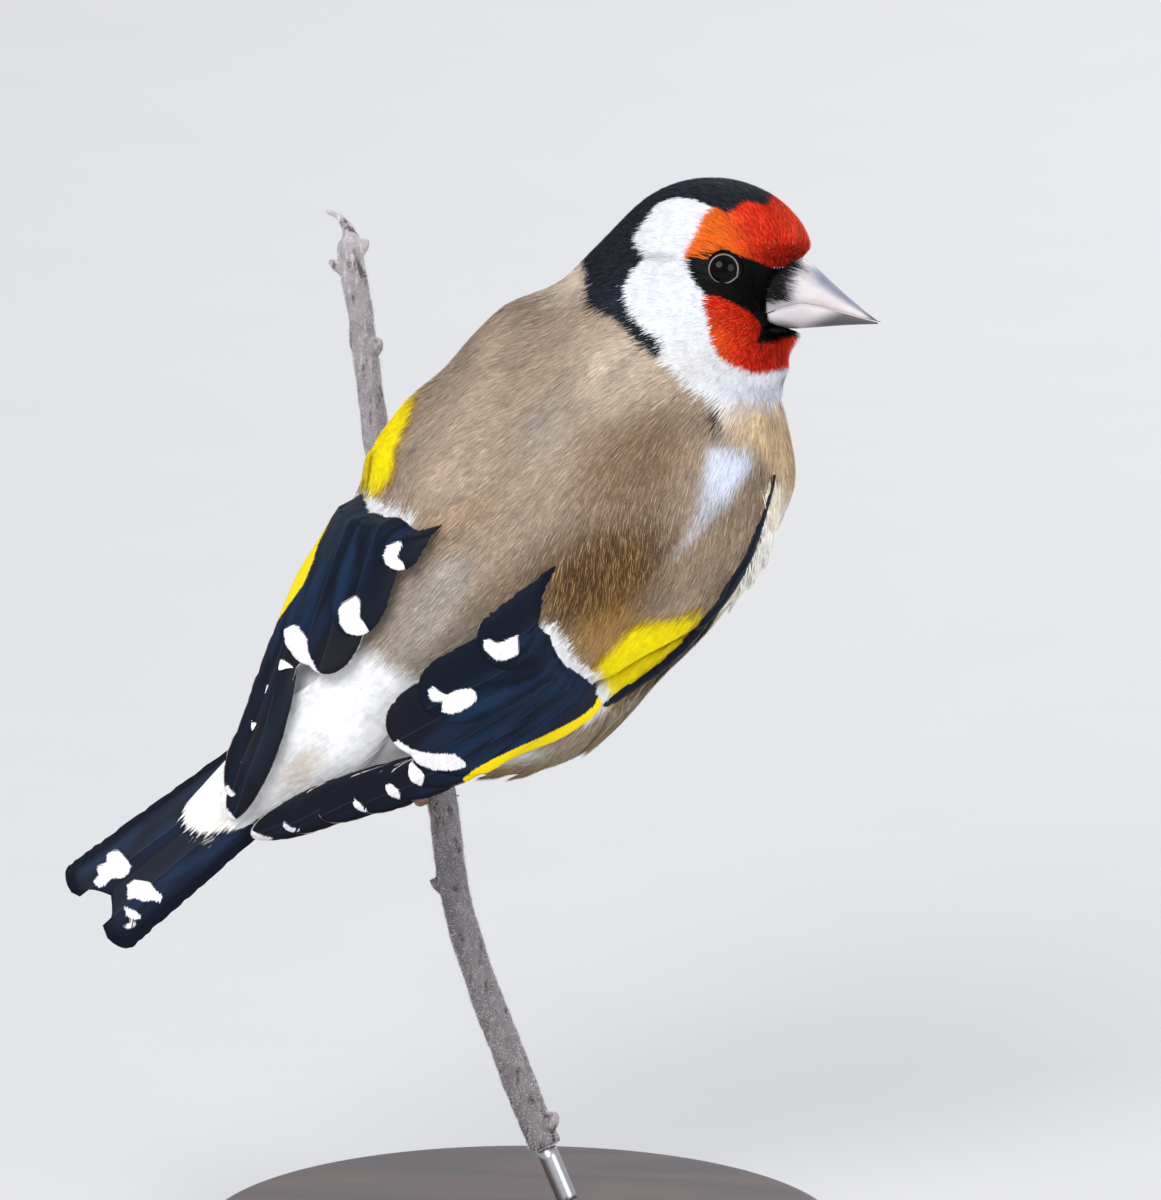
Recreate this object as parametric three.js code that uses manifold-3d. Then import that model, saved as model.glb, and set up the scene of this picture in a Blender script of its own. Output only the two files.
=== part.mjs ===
// A life-size European goldfinch that clings to a cut length of stem, on a plain round display stand.
// Lengths are millimetres and angles are degrees. The origin is the centre of the base's underside,
// +Z is up and the bill points along +X.
// The bird's own frame has x towards its head, y to its left and z out of its back.
import * as THREE from "three";
import { mergeVertices } from "three/addons/utils/BufferGeometryUtils.js";
import Module from "manifold-3d";

const wasm = await Module();
wasm.setup();

// Driving sizes
const GAP = 0.3; // left between pieces that touch in life
const VANE_THICKNESS = 0.55;
const BODY_PITCH = 45; // the back's slope, head end up
const POSE_LEAN = 14; // how far the plane of the back leans away from upright
const BODY_ROLL = 8; // the right side is turned up towards the viewer of the back
const BASE_RADIUS = 41;
const BASE_HEIGHT = 6.5;
const ROD_LENGTH = 7;
const ROD_RADIUS = 1.3;
const STEM_RADIUS = 1.85;
const TAIL_CUT_X = -40; // where the tail's node takes over from the torso

const radians = THREE.MathUtils.degToRad;
const vec = (x, y, z) => new THREE.Vector3(x, y, z);
const mix = THREE.MathUtils.lerp;
const smooth = (t) => THREE.MathUtils.smoothstep(t, 0, 1);

// The upright plane that the back lies in: right, up and outward towards the viewer of the back.
const planeRight = vec(1, 0, 0);
const planeUp = vec(0, Math.sin(radians(POSE_LEAN)), Math.cos(radians(POSE_LEAN)));
const planeOut = vec(0, -Math.cos(radians(POSE_LEAN)), Math.sin(radians(POSE_LEAN)));

function inPlane(right, up, out) {
  return vec(0, 0, 0)
    .addScaledVector(planeRight, right)
    .addScaledVector(planeUp, up)
    .addScaledVector(planeOut, out);
}

// The bird's axes in the part's frame.
const forward = inPlane(Math.cos(radians(BODY_PITCH)), Math.sin(radians(BODY_PITCH)), 0);
const rightward = inPlane(Math.sin(radians(BODY_PITCH)), -Math.cos(radians(BODY_PITCH)), 0);
const roll = radians(BODY_ROLL);
const back = planeOut.clone().multiplyScalar(Math.cos(roll)).addScaledVector(rightward, -Math.sin(roll));
const left = back.clone().cross(forward);
const birdAxes = new THREE.Matrix4().makeBasis(forward, left, back);
const toBird = birdAxes.clone().invert();

// The head is level and looks along +X, so it turns against the body.
const HEAD_CENTRE = inPlane(18.9, 29.1, 5.5).applyMatrix4(toBird);
const headAxes = new THREE.Matrix4()
  .makeBasis(planeRight, planeOut.clone().negate(), planeUp)
  .premultiply(toBird)
  .setPosition(HEAD_CENTRE);
const toHead = headAxes.clone().invert();

// Body forms: rounded masses that blend into one plump outline. Centre and half sizes.
const BLEND = 2.2;
const BODY_FORMS = [
  { at: [9, 0, -1.5], half: [19, 20.5, 18] }, // breast
  { at: [-10, -0.5, -5.5], half: [22, 20, 14.5] }, // belly
  { at: [-14, -3.6, -5], half: [18.5, 19.6, 12.5] }, // the right flank's looser feathers
  { at: [-4, 0.3, 3], half: [28, 17.5, 14.5] }, // back
  { at: [-27, 0.3, 3], half: [18, 11, 8] }, // rump
  { at: [-37, 0.5, 2.4], half: [15, 6.3, 5.2] }, // vent
  { at: [-52, 1.6, 5.2], half: [15, 4.3, 2.4] }, // tail root
  { at: [19, 1.2, 1], half: [15, 17, 15] }, // shoulders
  { at: [16.5, -3, -3.4], half: [14.6, 16.4, 13.5] }, // the crop's looser feathers, on the right
  { at: [2, -3.6, -2], half: [18, 19.6, 14] }, // the feathers under the right wing
  { at: [27.5, 5.4, 4.4], half: [10.5, 11.6, 11] }, // neck
];
// Head forms, in the head's frame: x to the bill, y to its left, z to its crown.
const HEAD_FORMS = [
  { at: [0.7, 0, 5], half: [9.9, 6.8, 7.6] }, // skull
  { at: [6.6, 0, 3.1], half: [6, 3.1, 4.8] }, // forehead
  { at: [-1.5, 0, -3.5], half: [4.7, 5.8, 5.2] }, // cheeks
  { at: [4.7, 0, -6.3], half: [5.8, 2.2, 0.9] }, // chin
  { at: [-7, 0, -4], half: [6.9, 8, 8.3] }, // nape
];
// What widens the body into the bed that the folded wings lie on, out past the rump.
const BED_FORMS = [
  { at: [-29, -0.6, 2.6], half: [17.5, 15.4, 6.4] },
  { at: [-42, -0.6, 4.6], half: [16.5, 8.4, 3.6] },
];

// Distance to an ellipsoid, near enough for blending.
function ellipsoidDistance(point, form) {
  const [x, y, z] = [0, 1, 2].map((k) => (point.getComponent(k) - form.at[k]) / form.half[k]);
  const unit = Math.hypot(x, y, z);
  if (unit < 1e-6) return -Math.min(...form.half);
  const slope = Math.hypot(x / form.half[0], y / form.half[1], z / form.half[2]);
  return (unit * (unit - 1)) / slope;
}

const blended = (sum) => -BLEND * Math.log(sum);
const formSum = (forms, point) =>
  forms.reduce((sum, form) => sum + Math.exp(-ellipsoidDistance(point, form) / BLEND), 0);

const birdSum = (point) =>
  formSum(BODY_FORMS, point) + formSum(HEAD_FORMS, point.clone().applyMatrix4(toHead));

// Distances at a point of the bird's frame: to its outline, and to the bed of the wings.
const bodyDistance = (point) => blended(birdSum(point));
const bedDistance = (point) => blended(birdSum(point) + formSum(BED_FORMS, point));

// How far an outline is from a point inside it, along a direction.
function reach(from, direction, distance = bodyDistance) {
  const STEP = 0.7;
  const FARTHEST = 60;
  const at = (r) => distance(from.clone().addScaledVector(direction, r));
  let outer = STEP;
  while (outer < FARTHEST && at(outer) < 0) outer += STEP;
  let inner = outer - STEP;
  for (let i = 0; i < 16; i++) {
    const middle = (inner + outer) / 2;
    if (at(middle) < 0) inner = middle;
    else outer = middle;
  }
  return inner;
}

// Solids

function solidOf(geometry) {
  const plain = new THREE.BufferGeometry();
  plain.setAttribute("position", geometry.getAttribute("position"));
  if (geometry.index) plain.setIndex(geometry.index);
  const merged = mergeVertices(plain, 1e-4);
  return new wasm.Manifold(
    new wasm.Mesh({
      numProp: 3,
      vertProperties: Float32Array.from(merged.attributes.position.array),
      triVerts: Uint32Array.from(merged.index.array),
    }),
  );
}

function geometryOf(solid) {
  const mesh = solid.getMesh();
  const geometry = new THREE.BufferGeometry();
  geometry.setAttribute("position", new THREE.BufferAttribute(Float32Array.from(mesh.vertProperties), 3));
  geometry.setIndex(new THREE.BufferAttribute(Uint32Array.from(mesh.triVerts), 1));
  return geometry;
}

// The largest closed surface of a solid, which fills sealed hollows and drops loose scraps.
function largestPart(solid) {
  const parts = solid.decompose().filter((part) => part.volume() > 0);
  parts.sort((a, b) => b.volume() - a.volume());
  return parts[0];
}

const unite = (solids) => largestPart(wasm.Manifold.union(solids));

// A closed skin through rings of equal length, with a fan at each end.
function ringsSolid(rings) {
  const count = rings[0].length;
  const points = rings.flat();
  const faces = [];
  for (let i = 0; i + 1 < rings.length; i++) {
    for (let j = 0; j < count; j++) {
      const a = i * count + j;
      const b = i * count + ((j + 1) % count);
      faces.push(a, b, b + count, a, b + count, a + count);
    }
  }
  const ends = [
    [0, -1],
    [(rings.length - 1) * count, 1],
  ];
  for (const [start, side] of ends) {
    const centre = vec(0, 0, 0);
    for (let j = 0; j < count; j++) centre.addScaledVector(points[start + j], 1 / count);
    points.push(centre);
    for (let j = 0; j < count; j++) {
      const a = start + j;
      const b = start + ((j + 1) % count);
      if (side > 0) faces.push(a, b, points.length - 1);
      else faces.push(b, a, points.length - 1);
    }
  }
  const geometry = new THREE.BufferGeometry().setFromPoints(points);
  geometry.setIndex(faces);
  let solid = solidOf(geometry);
  if (solid.volume() < 0) {
    for (let i = 0; i < faces.length; i += 3) [faces[i + 1], faces[i + 2]] = [faces[i + 2], faces[i + 1]];
    geometry.setIndex(faces);
    solid = solidOf(geometry);
  }
  return solid;
}

// A closed sheet between a top and a bottom grid of points, split into triangles alike on both faces.
function sheetSolid(top, bottom) {
  const rows = top.length;
  const columns = top[0].length;
  const points = [...top.flat(), ...bottom.flat()];
  const low = rows * columns;
  const faces = [];
  const at = (i, j) => i * columns + j;
  for (let i = 0; i + 1 < rows; i++) {
    for (let j = 0; j + 1 < columns; j++) {
      const [a, b, c, d] = [at(i, j), at(i, j + 1), at(i + 1, j + 1), at(i + 1, j)];
      faces.push(a, b, c, a, c, d);
      faces.push(low + a, low + c, low + b, low + a, low + d, low + c);
    }
  }
  const rim = [];
  for (let j = 0; j + 1 < columns; j++) rim.push([at(0, j), at(0, j + 1)]);
  for (let i = 0; i + 1 < rows; i++) rim.push([at(i, columns - 1), at(i + 1, columns - 1)]);
  for (let j = columns - 1; j > 0; j--) rim.push([at(rows - 1, j), at(rows - 1, j - 1)]);
  for (let i = rows - 1; i > 0; i--) rim.push([at(i, 0), at(i - 1, 0)]);
  for (const [a, b] of rim) faces.push(a, low + a, low + b, a, low + b, b);
  const geometry = new THREE.BufferGeometry().setFromPoints(points);
  geometry.setIndex(faces);
  let solid = solidOf(geometry);
  if (solid.volume() < 0) {
    for (let i = 0; i < faces.length; i += 3) [faces[i + 1], faces[i + 2]] = [faces[i + 2], faces[i + 1]];
    geometry.setIndex(faces);
    solid = solidOf(geometry);
  }
  return solid;
}

// A round bar along points, with a radius at each.
function taperedTube(path, radii, sides) {
  const rings = [];
  let side = null;
  path.forEach((point, i) => {
    const before = path[Math.max(i - 1, 0)];
    const after = path[Math.min(i + 1, path.length - 1)];
    const tangent = after.clone().sub(before).normalize();
    if (!side) side = Math.abs(tangent.x) < 0.8 ? vec(1, 0, 0) : vec(0, 1, 0);
    side.addScaledVector(tangent, -side.dot(tangent)).normalize();
    const other = tangent.clone().cross(side);
    const ring = [];
    for (let j = 0; j < sides; j++) {
      const angle = (j / sides) * 2 * Math.PI;
      ring.push(
        point
          .clone()
          .addScaledVector(side, radii[i] * Math.cos(angle))
          .addScaledVector(other, radii[i] * Math.sin(angle)),
      );
    }
    rings.push(ring);
    side = side.clone();
  });
  return ringsSolid(rings);
}

// Torso, neck and head

// The line inside the body that its slices are strung on.
function coreLine(x) {
  const back = smooth((-x - 18) / 30);
  return vec(x, mix(0, 1.7, back), mix(-1, 5.4, back));
}

// A stretch of the body between two x, as slices square to x.
function bodyStretch(x0, x1, slices, sides) {
  const rings = [];
  for (let i = 0; i <= slices; i++) {
    const centre = coreLine(mix(x0, x1, i / slices));
    const ring = [];
    for (let j = 0; j < sides; j++) {
      const angle = (j / sides) * 2 * Math.PI;
      const out = vec(0, Math.sin(angle), Math.cos(angle));
      ring.push(centre.clone().addScaledVector(out, reach(centre, out)));
    }
    rings.push(ring);
  }
  return ringsSolid(rings);
}

// The part of the body round a point that rays from it can see, as an even net of triangles.
function bodyBall(centre, detail) {
  const net = new THREE.IcosahedronGeometry(1, detail);
  const place = net.attributes.position;
  for (let i = 0; i < place.count; i++) {
    const out = vec(0, 0, 0).fromBufferAttribute(place, i).normalize();
    const spot = centre.clone().addScaledVector(out, reach(centre, out));
    place.setXYZ(i, spot.x, spot.y, spot.z);
  }
  return solidOf(net);
}

// What lies on the far side of a plane through a point, kept half a gap clear of it.
function beyond(solid, point, normal) {
  return solid.trimByPlane(normal.toArray(), normal.dot(point) + GAP / 2);
}

const NECK_CUT = { point: vec(20.5, 0, 0), normal: vec(1, 0, 0) };
const HEAD_CUT = {
  point: vec(0, 0, -9.6).applyMatrix4(headAxes),
  normal: inPlane(0.3, 1, 0).normalize().applyMatrix4(toBird),
};
const NECK_CENTRE = vec(26, 3, 3.5);
const flipped = (normal) => normal.clone().negate();

function makeTorso() {
  const PAST_CUT = 3;
  const whole = bodyStretch(TAIL_CUT_X + GAP / 2, NECK_CUT.point.x + PAST_CUT, 20, 32);
  return largestPart(beyond(whole, NECK_CUT.point, flipped(NECK_CUT.normal)));
}

function makeNeck() {
  const ahead = beyond(bodyBall(NECK_CENTRE, 9), NECK_CUT.point, NECK_CUT.normal);
  return largestPart(beyond(ahead, HEAD_CUT.point, flipped(HEAD_CUT.normal)));
}

// Bill, in the head's frame. The profile of each half, from its root to the tip.
const BILL_ROOT_X = 6.4;
const BILL_TIP = { x: 22, z: -5.1 };
const BILL_HALF_WIDTH = 3.7;
const BILL_SEAT_GAP = 0.5; // of the pocket in the face that the bill's root sits in
const CULMEN = [
  [BILL_ROOT_X, 4.4],
  [12, 3.1],
  [16, -0.2],
  [20, -3.6],
  [BILL_TIP.x, BILL_TIP.z + 0.15],
];
const GAPE = [
  [BILL_ROOT_X, -4.5],
  [9.8, -3.3],
  [12.2, -2.8],
  [17, -3.9],
  [BILL_TIP.x, BILL_TIP.z],
];
const GONYS = [
  [BILL_ROOT_X, -5.5],
  [11.5, -5.9],
  [14.3, -5.7],
  [17.7, -5.45],
  [BILL_TIP.x - 0.5, BILL_TIP.z - 0.2],
];

// Height of a profile at x, by a smooth curve through its points.
function profileHeight(profile, x) {
  const curve = new THREE.CatmullRomCurve3(profile.map(([px, pz]) => vec(px, 0, pz)));
  let low = 0;
  let high = 1;
  for (let i = 0; i < 30; i++) {
    const middle = (low + high) / 2;
    if (curve.getPoint(middle).x < x) low = middle;
    else high = middle;
  }
  return curve.getPoint(low).z;
}

// One half of the bill: a flat-cut cone between the gape and its own ridge. Side 1 is upper, -1 lower.
function billHalf(side, grow) {
  const RINGS = 9;
  const ARC_STEPS = 8;
  const start = BILL_ROOT_X - grow;
  const end = side > 0 ? BILL_TIP.x : BILL_TIP.x - 0.9;
  const cut = side * (GAP / 2 - grow);
  const rings = [];
  for (let i = 0; i <= RINGS; i++) {
    const t = i / RINGS;
    const x = mix(start, end, t);
    const shape = Math.min(Math.max(x, BILL_ROOT_X), end);
    const edge = profileHeight(GAPE, shape) + cut;
    const ridge = Math.max(side * (profileHeight(side > 0 ? CULMEN : GONYS, shape) - edge) + grow, 0.22);
    const across = (shape - BILL_ROOT_X) / (BILL_TIP.x - BILL_ROOT_X);
    const width = Math.max(BILL_HALF_WIDTH * Math.pow(1 - across, 0.85) * (side > 0 ? 1 : 0.93), 0.26) + grow;
    const ring = [];
    for (let j = 0; j <= ARC_STEPS; j++) {
      const angle = (j / ARC_STEPS) * Math.PI;
      const peak = Math.pow(Math.sin(angle), 0.8);
      ring.push(vec(x, width * Math.cos(angle), edge + side * ridge * peak));
    }
    rings.push(ring);
  }
  return ringsSolid(rings).transform(headAxes.elements);
}

// Eyes, in the head's frame
const EYE_X = 2.4;
const EYE_Z = 1.6;
const EYE_RADIUS = 2.75;
const EYE_DEPTH = 6.1; // of the eyeball's centre from the head's middle plane
const LID_RADIUS = 1.95;
const LID_THICKNESS = 0.4;

function ball(radius, centre, detail) {
  return solidOf(new THREE.IcosahedronGeometry(radius, detail).translate(centre.x, centre.y, centre.z));
}

function eyeBall(side, grow) {
  return ball(EYE_RADIUS + grow, vec(EYE_X, side * EYE_DEPTH, EYE_Z), 3).transform(headAxes.elements);
}

function lidRing(side) {
  const depth = EYE_DEPTH + Math.sqrt(EYE_RADIUS ** 2 - LID_RADIUS ** 2) + 0.05;
  const ring = new THREE.TorusGeometry(LID_RADIUS + 0.28, LID_THICKNESS, 6, 20);
  ring.rotateX(Math.PI / 2).translate(EYE_X, side * depth, EYE_Z);
  return solidOf(ring).transform(headAxes.elements);
}

// The opening in the feathers through which an eye looks out.
function eyeWindow(side) {
  const window = new THREE.CylinderGeometry(2.9, LID_RADIUS, 4, 22);
  if (side < 0) window.rotateZ(Math.PI);
  const depth = EYE_DEPTH + Math.sqrt(EYE_RADIUS ** 2 - LID_RADIUS ** 2) + 2;
  window.translate(EYE_X, side * depth, EYE_Z);
  return solidOf(window).transform(headAxes.elements);
}

function makeHead() {
  let head = beyond(bodyBall(HEAD_CENTRE, 8), HEAD_CUT.point, HEAD_CUT.normal);
  head = beyond(head, NECK_CUT.point, NECK_CUT.normal);
  for (const side of [1, -1]) {
    head = head.subtract(eyeWindow(side)).add(lidRing(side)).subtract(eyeBall(side, GAP));
  }
  for (const side of [1, -1]) head = head.subtract(billHalf(side, BILL_SEAT_GAP));
  return largestPart(head);
}

// Nostrils: shallow pits beside the culmen, near the root of the upper half.
function makeUpperBill() {
  let bill = billHalf(1, 0);
  for (const side of [1, -1]) {
    const pit = ball(0.45, vec(12.6, side * 1.95, 0.75), 1).transform(headAxes.elements);
    bill = bill.subtract(pit);
  }
  return largestPart(bill);
}

// Feathers

// A point over the bed, at x and at an angle from the back's ridge towards one side, at some height.
function overBed(x, angle, side, height) {
  const centre = bedCentre(x);
  const out = vec(0, side * Math.sin(radians(angle)), Math.cos(radians(angle)));
  return centre.addScaledVector(out, reach(centre, out, bedDistance) + height);
}

const bedCentre = (x) => vec(x, mix(0, -0.6, smooth((-x - 20) / 25)), mix(-1, 4.6, smooth((-x - 18) / 28)));

// Half width of a feather along its length: a narrow root, even sides and a rounded tip.
function vaneWidth(t, tipStart = 0.78) {
  const root = mix(0.45, 1, smooth(Math.min(t / 0.25, 1)));
  if (t <= tipStart) return root;
  const q = (t - tipStart) / (1 - tipStart);
  return root * Math.sqrt(Math.max(1 - q * q, 0.05));
}

// One flat feather over the body. from and to are [x, angle]; heights are above the body at root and tip.
function bedVane({ side, from, to, width, heights, steps = 5, bow = 0 }) {
  const top = [];
  const bottom = [];
  for (let i = 0; i <= steps; i++) {
    const t = 1 - Math.pow(1 - i / steps, 1.35);
    const x = mix(from[0], to[0], t);
    const angle = mix(from[1], to[1], t) + bow * Math.sin(Math.PI * t);
    const height = mix(heights[0], heights[1], t);
    const centre = bedCentre(x);
    const spot = overBed(x, angle, side, height);
    const radius = spot.distanceTo(centre);
    const topRow = [];
    const bottomRow = [];
    for (const across of [-1, 0, 1]) {
      const turn = THREE.MathUtils.radToDeg((across * width * vaneWidth(t)) / 2 / radius);
      const rise = height + (across === 0 ? 0.12 : 0);
      topRow.push(overBed(x, angle + turn, side, rise + VANE_THICKNESS));
      bottomRow.push(overBed(x, angle + turn, side, rise));
    }
    top.push(topRow);
    bottom.push(bottomRow);
  }
  return sheetSolid(top, bottom);
}

// Wings. Angles are measured from the back's ridge down the side of the body.
const WRIST_X = 20;
const COVERTS_END_X = -9;

// The feathered arm: a pad that carries every flight feather's root.
function wingPad(side) {
  const ROWS = 9;
  const COLUMNS = 6;
  const top = [];
  const bottom = [];
  for (let i = 0; i <= ROWS; i++) {
    const t = i / ROWS;
    const x = mix(WRIST_X, COVERTS_END_X, t);
    const inner = mix(62, 27, smooth(Math.min(t * 1.15, 1)));
    const outer = mix(88, 69, smooth(t));
    const topRow = [];
    const bottomRow = [];
    for (let j = 0; j <= COLUMNS; j++) {
      const across = j / COLUMNS;
      const swell = Math.pow(Math.sin(Math.PI * mix(0.06, 0.94, across)), 0.5);
      const ends = Math.pow(Math.sin(Math.PI * mix(0.08, 0.8, t)), 0.5);
      const angle = mix(inner, outer, across);
      topRow.push(overBed(x, angle, side, 0.95 + 1.7 * swell * ends));
      bottomRow.push(overBed(x, angle, side, 0.35));
    }
    top.push(topRow);
    bottom.push(bottomRow);
  }
  return sheetSolid(top, bottom);
}

// One row of feathers, each laid from the first to the last by even steps.
function vaneRow(side, count, first, last, common = {}) {
  const made = [];
  for (let i = 0; i < count; i++) {
    const t = count > 1 ? i / (count - 1) : 0;
    const between = (key) => first[key].map((v, k) => mix(v, last[key][k], t));
    made.push(
      bedVane({
        side,
        from: between("from"),
        to: between("to"),
        heights: between("heights"),
        width: mix(first.width, last.width, t),
        ...common,
      }),
    );
  }
  return made;
}

// The left wing lies nearer the back's ridge. The tips cross over the tail, the right one on top.
const WING_POSES = {
  1: { tip: 12, lift: 0, tertials: 27, shortest: 20 },
  [-1]: { tip: 32, lift: 1.1, tertials: 40, shortest: 27 },
};

function makeWing(side) {
  const { tip, lift, tertials: inner, shortest } = WING_POSES[side];
  const outerPrimaries = vaneRow(
    side,
    5,
    { from: [2, 54], to: [-46, tip + 12], heights: [1, 1.4 + lift], width: 6.4 },
    { from: [3, 72], to: [-54.6, tip], heights: [0.95, 0.8 + lift], width: 5.4 },
    { bow: side > 0 ? 30 : 18 },
  );
  const innerPrimaries = vaneRow(
    side,
    4,
    { from: [-1, 46], to: [-36, inner + 16], heights: [1.3, 1.7 + lift], width: 7 },
    { from: [0, 54], to: [-43, inner + 4], heights: [1.1, 1.5 + lift], width: 6.6 },
    { bow: 6 },
  );
  const secondaries = vaneRow(
    side,
    4,
    { from: [-2, 40], to: [-30.5, inner + 3], heights: [1.6, 2 + lift], width: 7.6 },
    { from: [-2, 54], to: [-33, 60], heights: [1.3, 1.4 + lift], width: 7 },
  );
  const tertials = vaneRow(
    side,
    3,
    { from: [0, 36], to: [-32, inner], heights: [1.7, 2.5 + lift], width: 8.4 },
    { from: [4, 29], to: [-17, shortest], heights: [2.1, 3.1], width: 7.4 },
    { bow: 3 },
  );
  const greaterCoverts = vaneRow(
    side,
    5,
    { from: [4, 36], to: [-8.5, 36], heights: [1.7, 2.8], width: 5.6 },
    { from: [4, 58], to: [-11.5, 60], heights: [1.3, 2.1], width: 5 },
    { steps: 4 },
  );
  const primaryCoverts = vaneRow(
    side,
    4,
    { from: [8, 64], to: [-14, 65], heights: [1.1, 1.6], width: 4 },
    { from: [12, 78], to: [-6, 74], heights: [0.9, 1.3], width: 3.4 },
    { steps: 4 },
  );
  return unite([
    wingPad(side),
    ...outerPrimaries,
    ...innerPrimaries,
    ...secondaries,
    ...tertials,
    ...greaterCoverts,
    ...primaryCoverts,
  ]);
}

// Tail: a rump core, six pairs of tail feathers and two tiers of coverts.
const TAIL_YAW = 6.5;
const CORE_END_X = -58;
const TAIL_FEATHER_LENGTH = 34.6;
const TAIL_ROOT = vec(-42.5, 1.1, 5.6);

function tailVane({ across, level, length, width, splay, rootShift = 0, steps = 6, droop = 0 }) {
  const heading = vec(-Math.cos(radians(TAIL_YAW + splay)), Math.sin(radians(TAIL_YAW + splay)), 0);
  const sideways = vec(heading.y, -heading.x, 0);
  const root = TAIL_ROOT.clone().addScaledVector(heading, rootShift);
  const top = [];
  const bottom = [];
  for (let i = 0; i <= steps; i++) {
    const t = 1 - Math.pow(1 - i / steps, 1.35);
    const middle = root.clone().addScaledVector(heading, length * t);
    middle.addScaledVector(sideways, across);
    middle.z += level * smooth(Math.min(t * 2, 1)) - droop * t * t;
    const topRow = [];
    const bottomRow = [];
    for (const k of [-1, 0, 1]) {
      const point = middle.clone().addScaledVector(sideways, (k * width * vaneWidth(t, 0.86)) / 2);
      point.z += k === 0 ? 0.14 : 0;
      topRow.push(point.clone().setZ(point.z + VANE_THICKNESS));
      bottomRow.push(point);
    }
    top.push(topRow);
    bottom.push(bottomRow);
  }
  return sheetSolid(top, bottom);
}

function makeTail() {
  const core = bodyStretch(CORE_END_X, TAIL_CUT_X - GAP / 2, 6, 20);
  const feathers = [];
  const PAIRS = 6;
  for (let pair = 0; pair < PAIRS; pair++) {
    for (const side of [1, -1]) {
      feathers.push(
        tailVane({
          across: side * (0.35 + 0.32 * pair),
          level: 0.7 - 0.33 * pair - (side > 0 ? 0.12 : 0),
          length: TAIL_FEATHER_LENGTH - 4.6 + 0.85 * pair,
          width: 4.6,
          splay: side * (0.2 + 0.56 * pair),
        }),
      );
    }
  }
  const coverts = [];
  for (const [level, droop] of [
    [1.5, 0.6],
    [-2.6, -0.8],
  ]) {
    for (const across of [-2.2, 0, 2.2]) {
      coverts.push(
        tailVane({
          across,
          level,
          length: 16 - Math.abs(across),
          width: 4.6,
          splay: -across,
          rootShift: 1.5,
          steps: 4,
          droop,
        }),
      );
    }
  }
  return unite([core, ...feathers, ...coverts]);
}

// Stem, in the upright plane: right and up of the body's centre, and out of the plane.
const STEM_OUT = -31;
const STEM_POINTS = [
  [-1, -79.6],
  [-2.8, -75.3],
  [-5.4, -68.5],
  [-8, -61.9],
  [-10.3, -55.1],
  [-12.3, -48.5],
  [-13.3, -41.8],
  [-14.1, -35],
  [-17.4, -14],
  [-21.4, 4],
  [-23.3, 17.6],
  [-24.4, 25.9],
  [-25.7, 33.1],
].map(([right, up]) => inPlane(right, up, STEM_OUT));
const stemCurve = new THREE.CatmullRomCurve3(STEM_POINTS);
stemCurve.arcLengthDivisions = 400;

// The stem's radius along its length: slightly thinner towards the top.
const stemRadius = (u) => mix(STEM_RADIUS * 1.1, STEM_RADIUS * 0.86, u);

function stemPoint(u) {
  return { at: stemCurve.getPointAt(u), along: stemCurve.getTangentAt(u), radius: stemRadius(u) };
}

// Where along the stem, from 0 to 1, it reaches a height in the upright plane.
function stemAtUp(up) {
  let low = 0;
  let high = 1;
  for (let i = 0; i < 40; i++) {
    const middle = (low + high) / 2;
    if (stemCurve.getPointAt(middle).dot(planeUp) < up) low = middle;
    else high = middle;
  }
  return low;
}

// A bud or leaf scar: a small blunt spur that leans up the stem.
function stemSpur(up, out, right, length, radius) {
  const { at, along, radius: stem } = stemPoint(stemAtUp(up));
  const outward = planeOut.clone().multiplyScalar(out).addScaledVector(planeRight, right).normalize();
  const root = at.clone().addScaledVector(outward, stem * 0.4);
  const lean = outward.clone().addScaledVector(along, 0.8).normalize();
  const path = [0, 0.4, 0.75, 1].map((t) => root.clone().addScaledVector(lean, t * length));
  return taperedTube(path, [radius, radius * 0.95, radius * 0.75, radius * 0.3], 8);
}

function makeStem() {
  const STEPS = 30;
  const path = [];
  const radii = [];
  for (let i = 0; i <= STEPS; i++) {
    const u = i / STEPS;
    path.push(stemCurve.getPointAt(u));
    radii.push(stemRadius(u));
  }
  // The dried tip: a swollen last joint that ends in a thin curled wisp.
  const top = path[STEPS];
  const tip = [
    [[0.1, 1.2], 1.5],
    [[0.1, 2.2], 0.95],
    [[-0.4, 3.4], 0.7],
    [[-1.5, 4.7], 0.45],
    [[-3, 5.3], 0.26],
  ];
  for (const [[right, up], radius] of tip) {
    path.push(top.clone().addScaledVector(planeRight, right).addScaledVector(planeUp, up));
    radii.push(radius);
  }
  return unite([
    taperedTube(path, radii, 12),
    stemSpur(34.5, 0, 1, 2.4, 1),
    stemSpur(30.5, 0, -1, 2.9, 0.8),
    stemSpur(20.5, 0.6, 0.75, 2.6, 1.25),
    stemSpur(-47.5, 0, -1, 2.8, 0.85),
    stemSpur(-77.5, 0.5, 0.8, 3, 1.3),
  ]);
}

// Legs and feet. Each grips the stem at its own height, with three toes one way and one the other.
const TOE_RADIUS = 0.62;
const CLAW_LENGTH = 3.4;
const FEET = {
  left: { up: -17.5, hip: [-15, 5, -13], facing: 22 },
  right: { up: -32.6, hip: [-17, -7, -13], facing: -8 },
};
// How far round the stem each toe goes, and how far along the stem it spreads.
const TOES = [
  { round: 150, spread: 3.5 },
  { round: 162, spread: 0.1 },
  { round: 145, spread: -3.1 },
  { round: -112, spread: 1.8 },
];
const JOINT_RADIUS = 1.15;

// The stem's frame at a foot: along it, out to the sole, and round it.
function footFrame(foot) {
  const { at, along, radius } = stemPoint(stemAtUp(foot.up));
  const out = planeOut.clone().addScaledVector(planeRight, Math.tan(radians(foot.facing)));
  out.addScaledVector(along, -out.dot(along)).normalize();
  const round = along.clone().cross(out).negate();
  return { at, along, out, round, radius };
}

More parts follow.
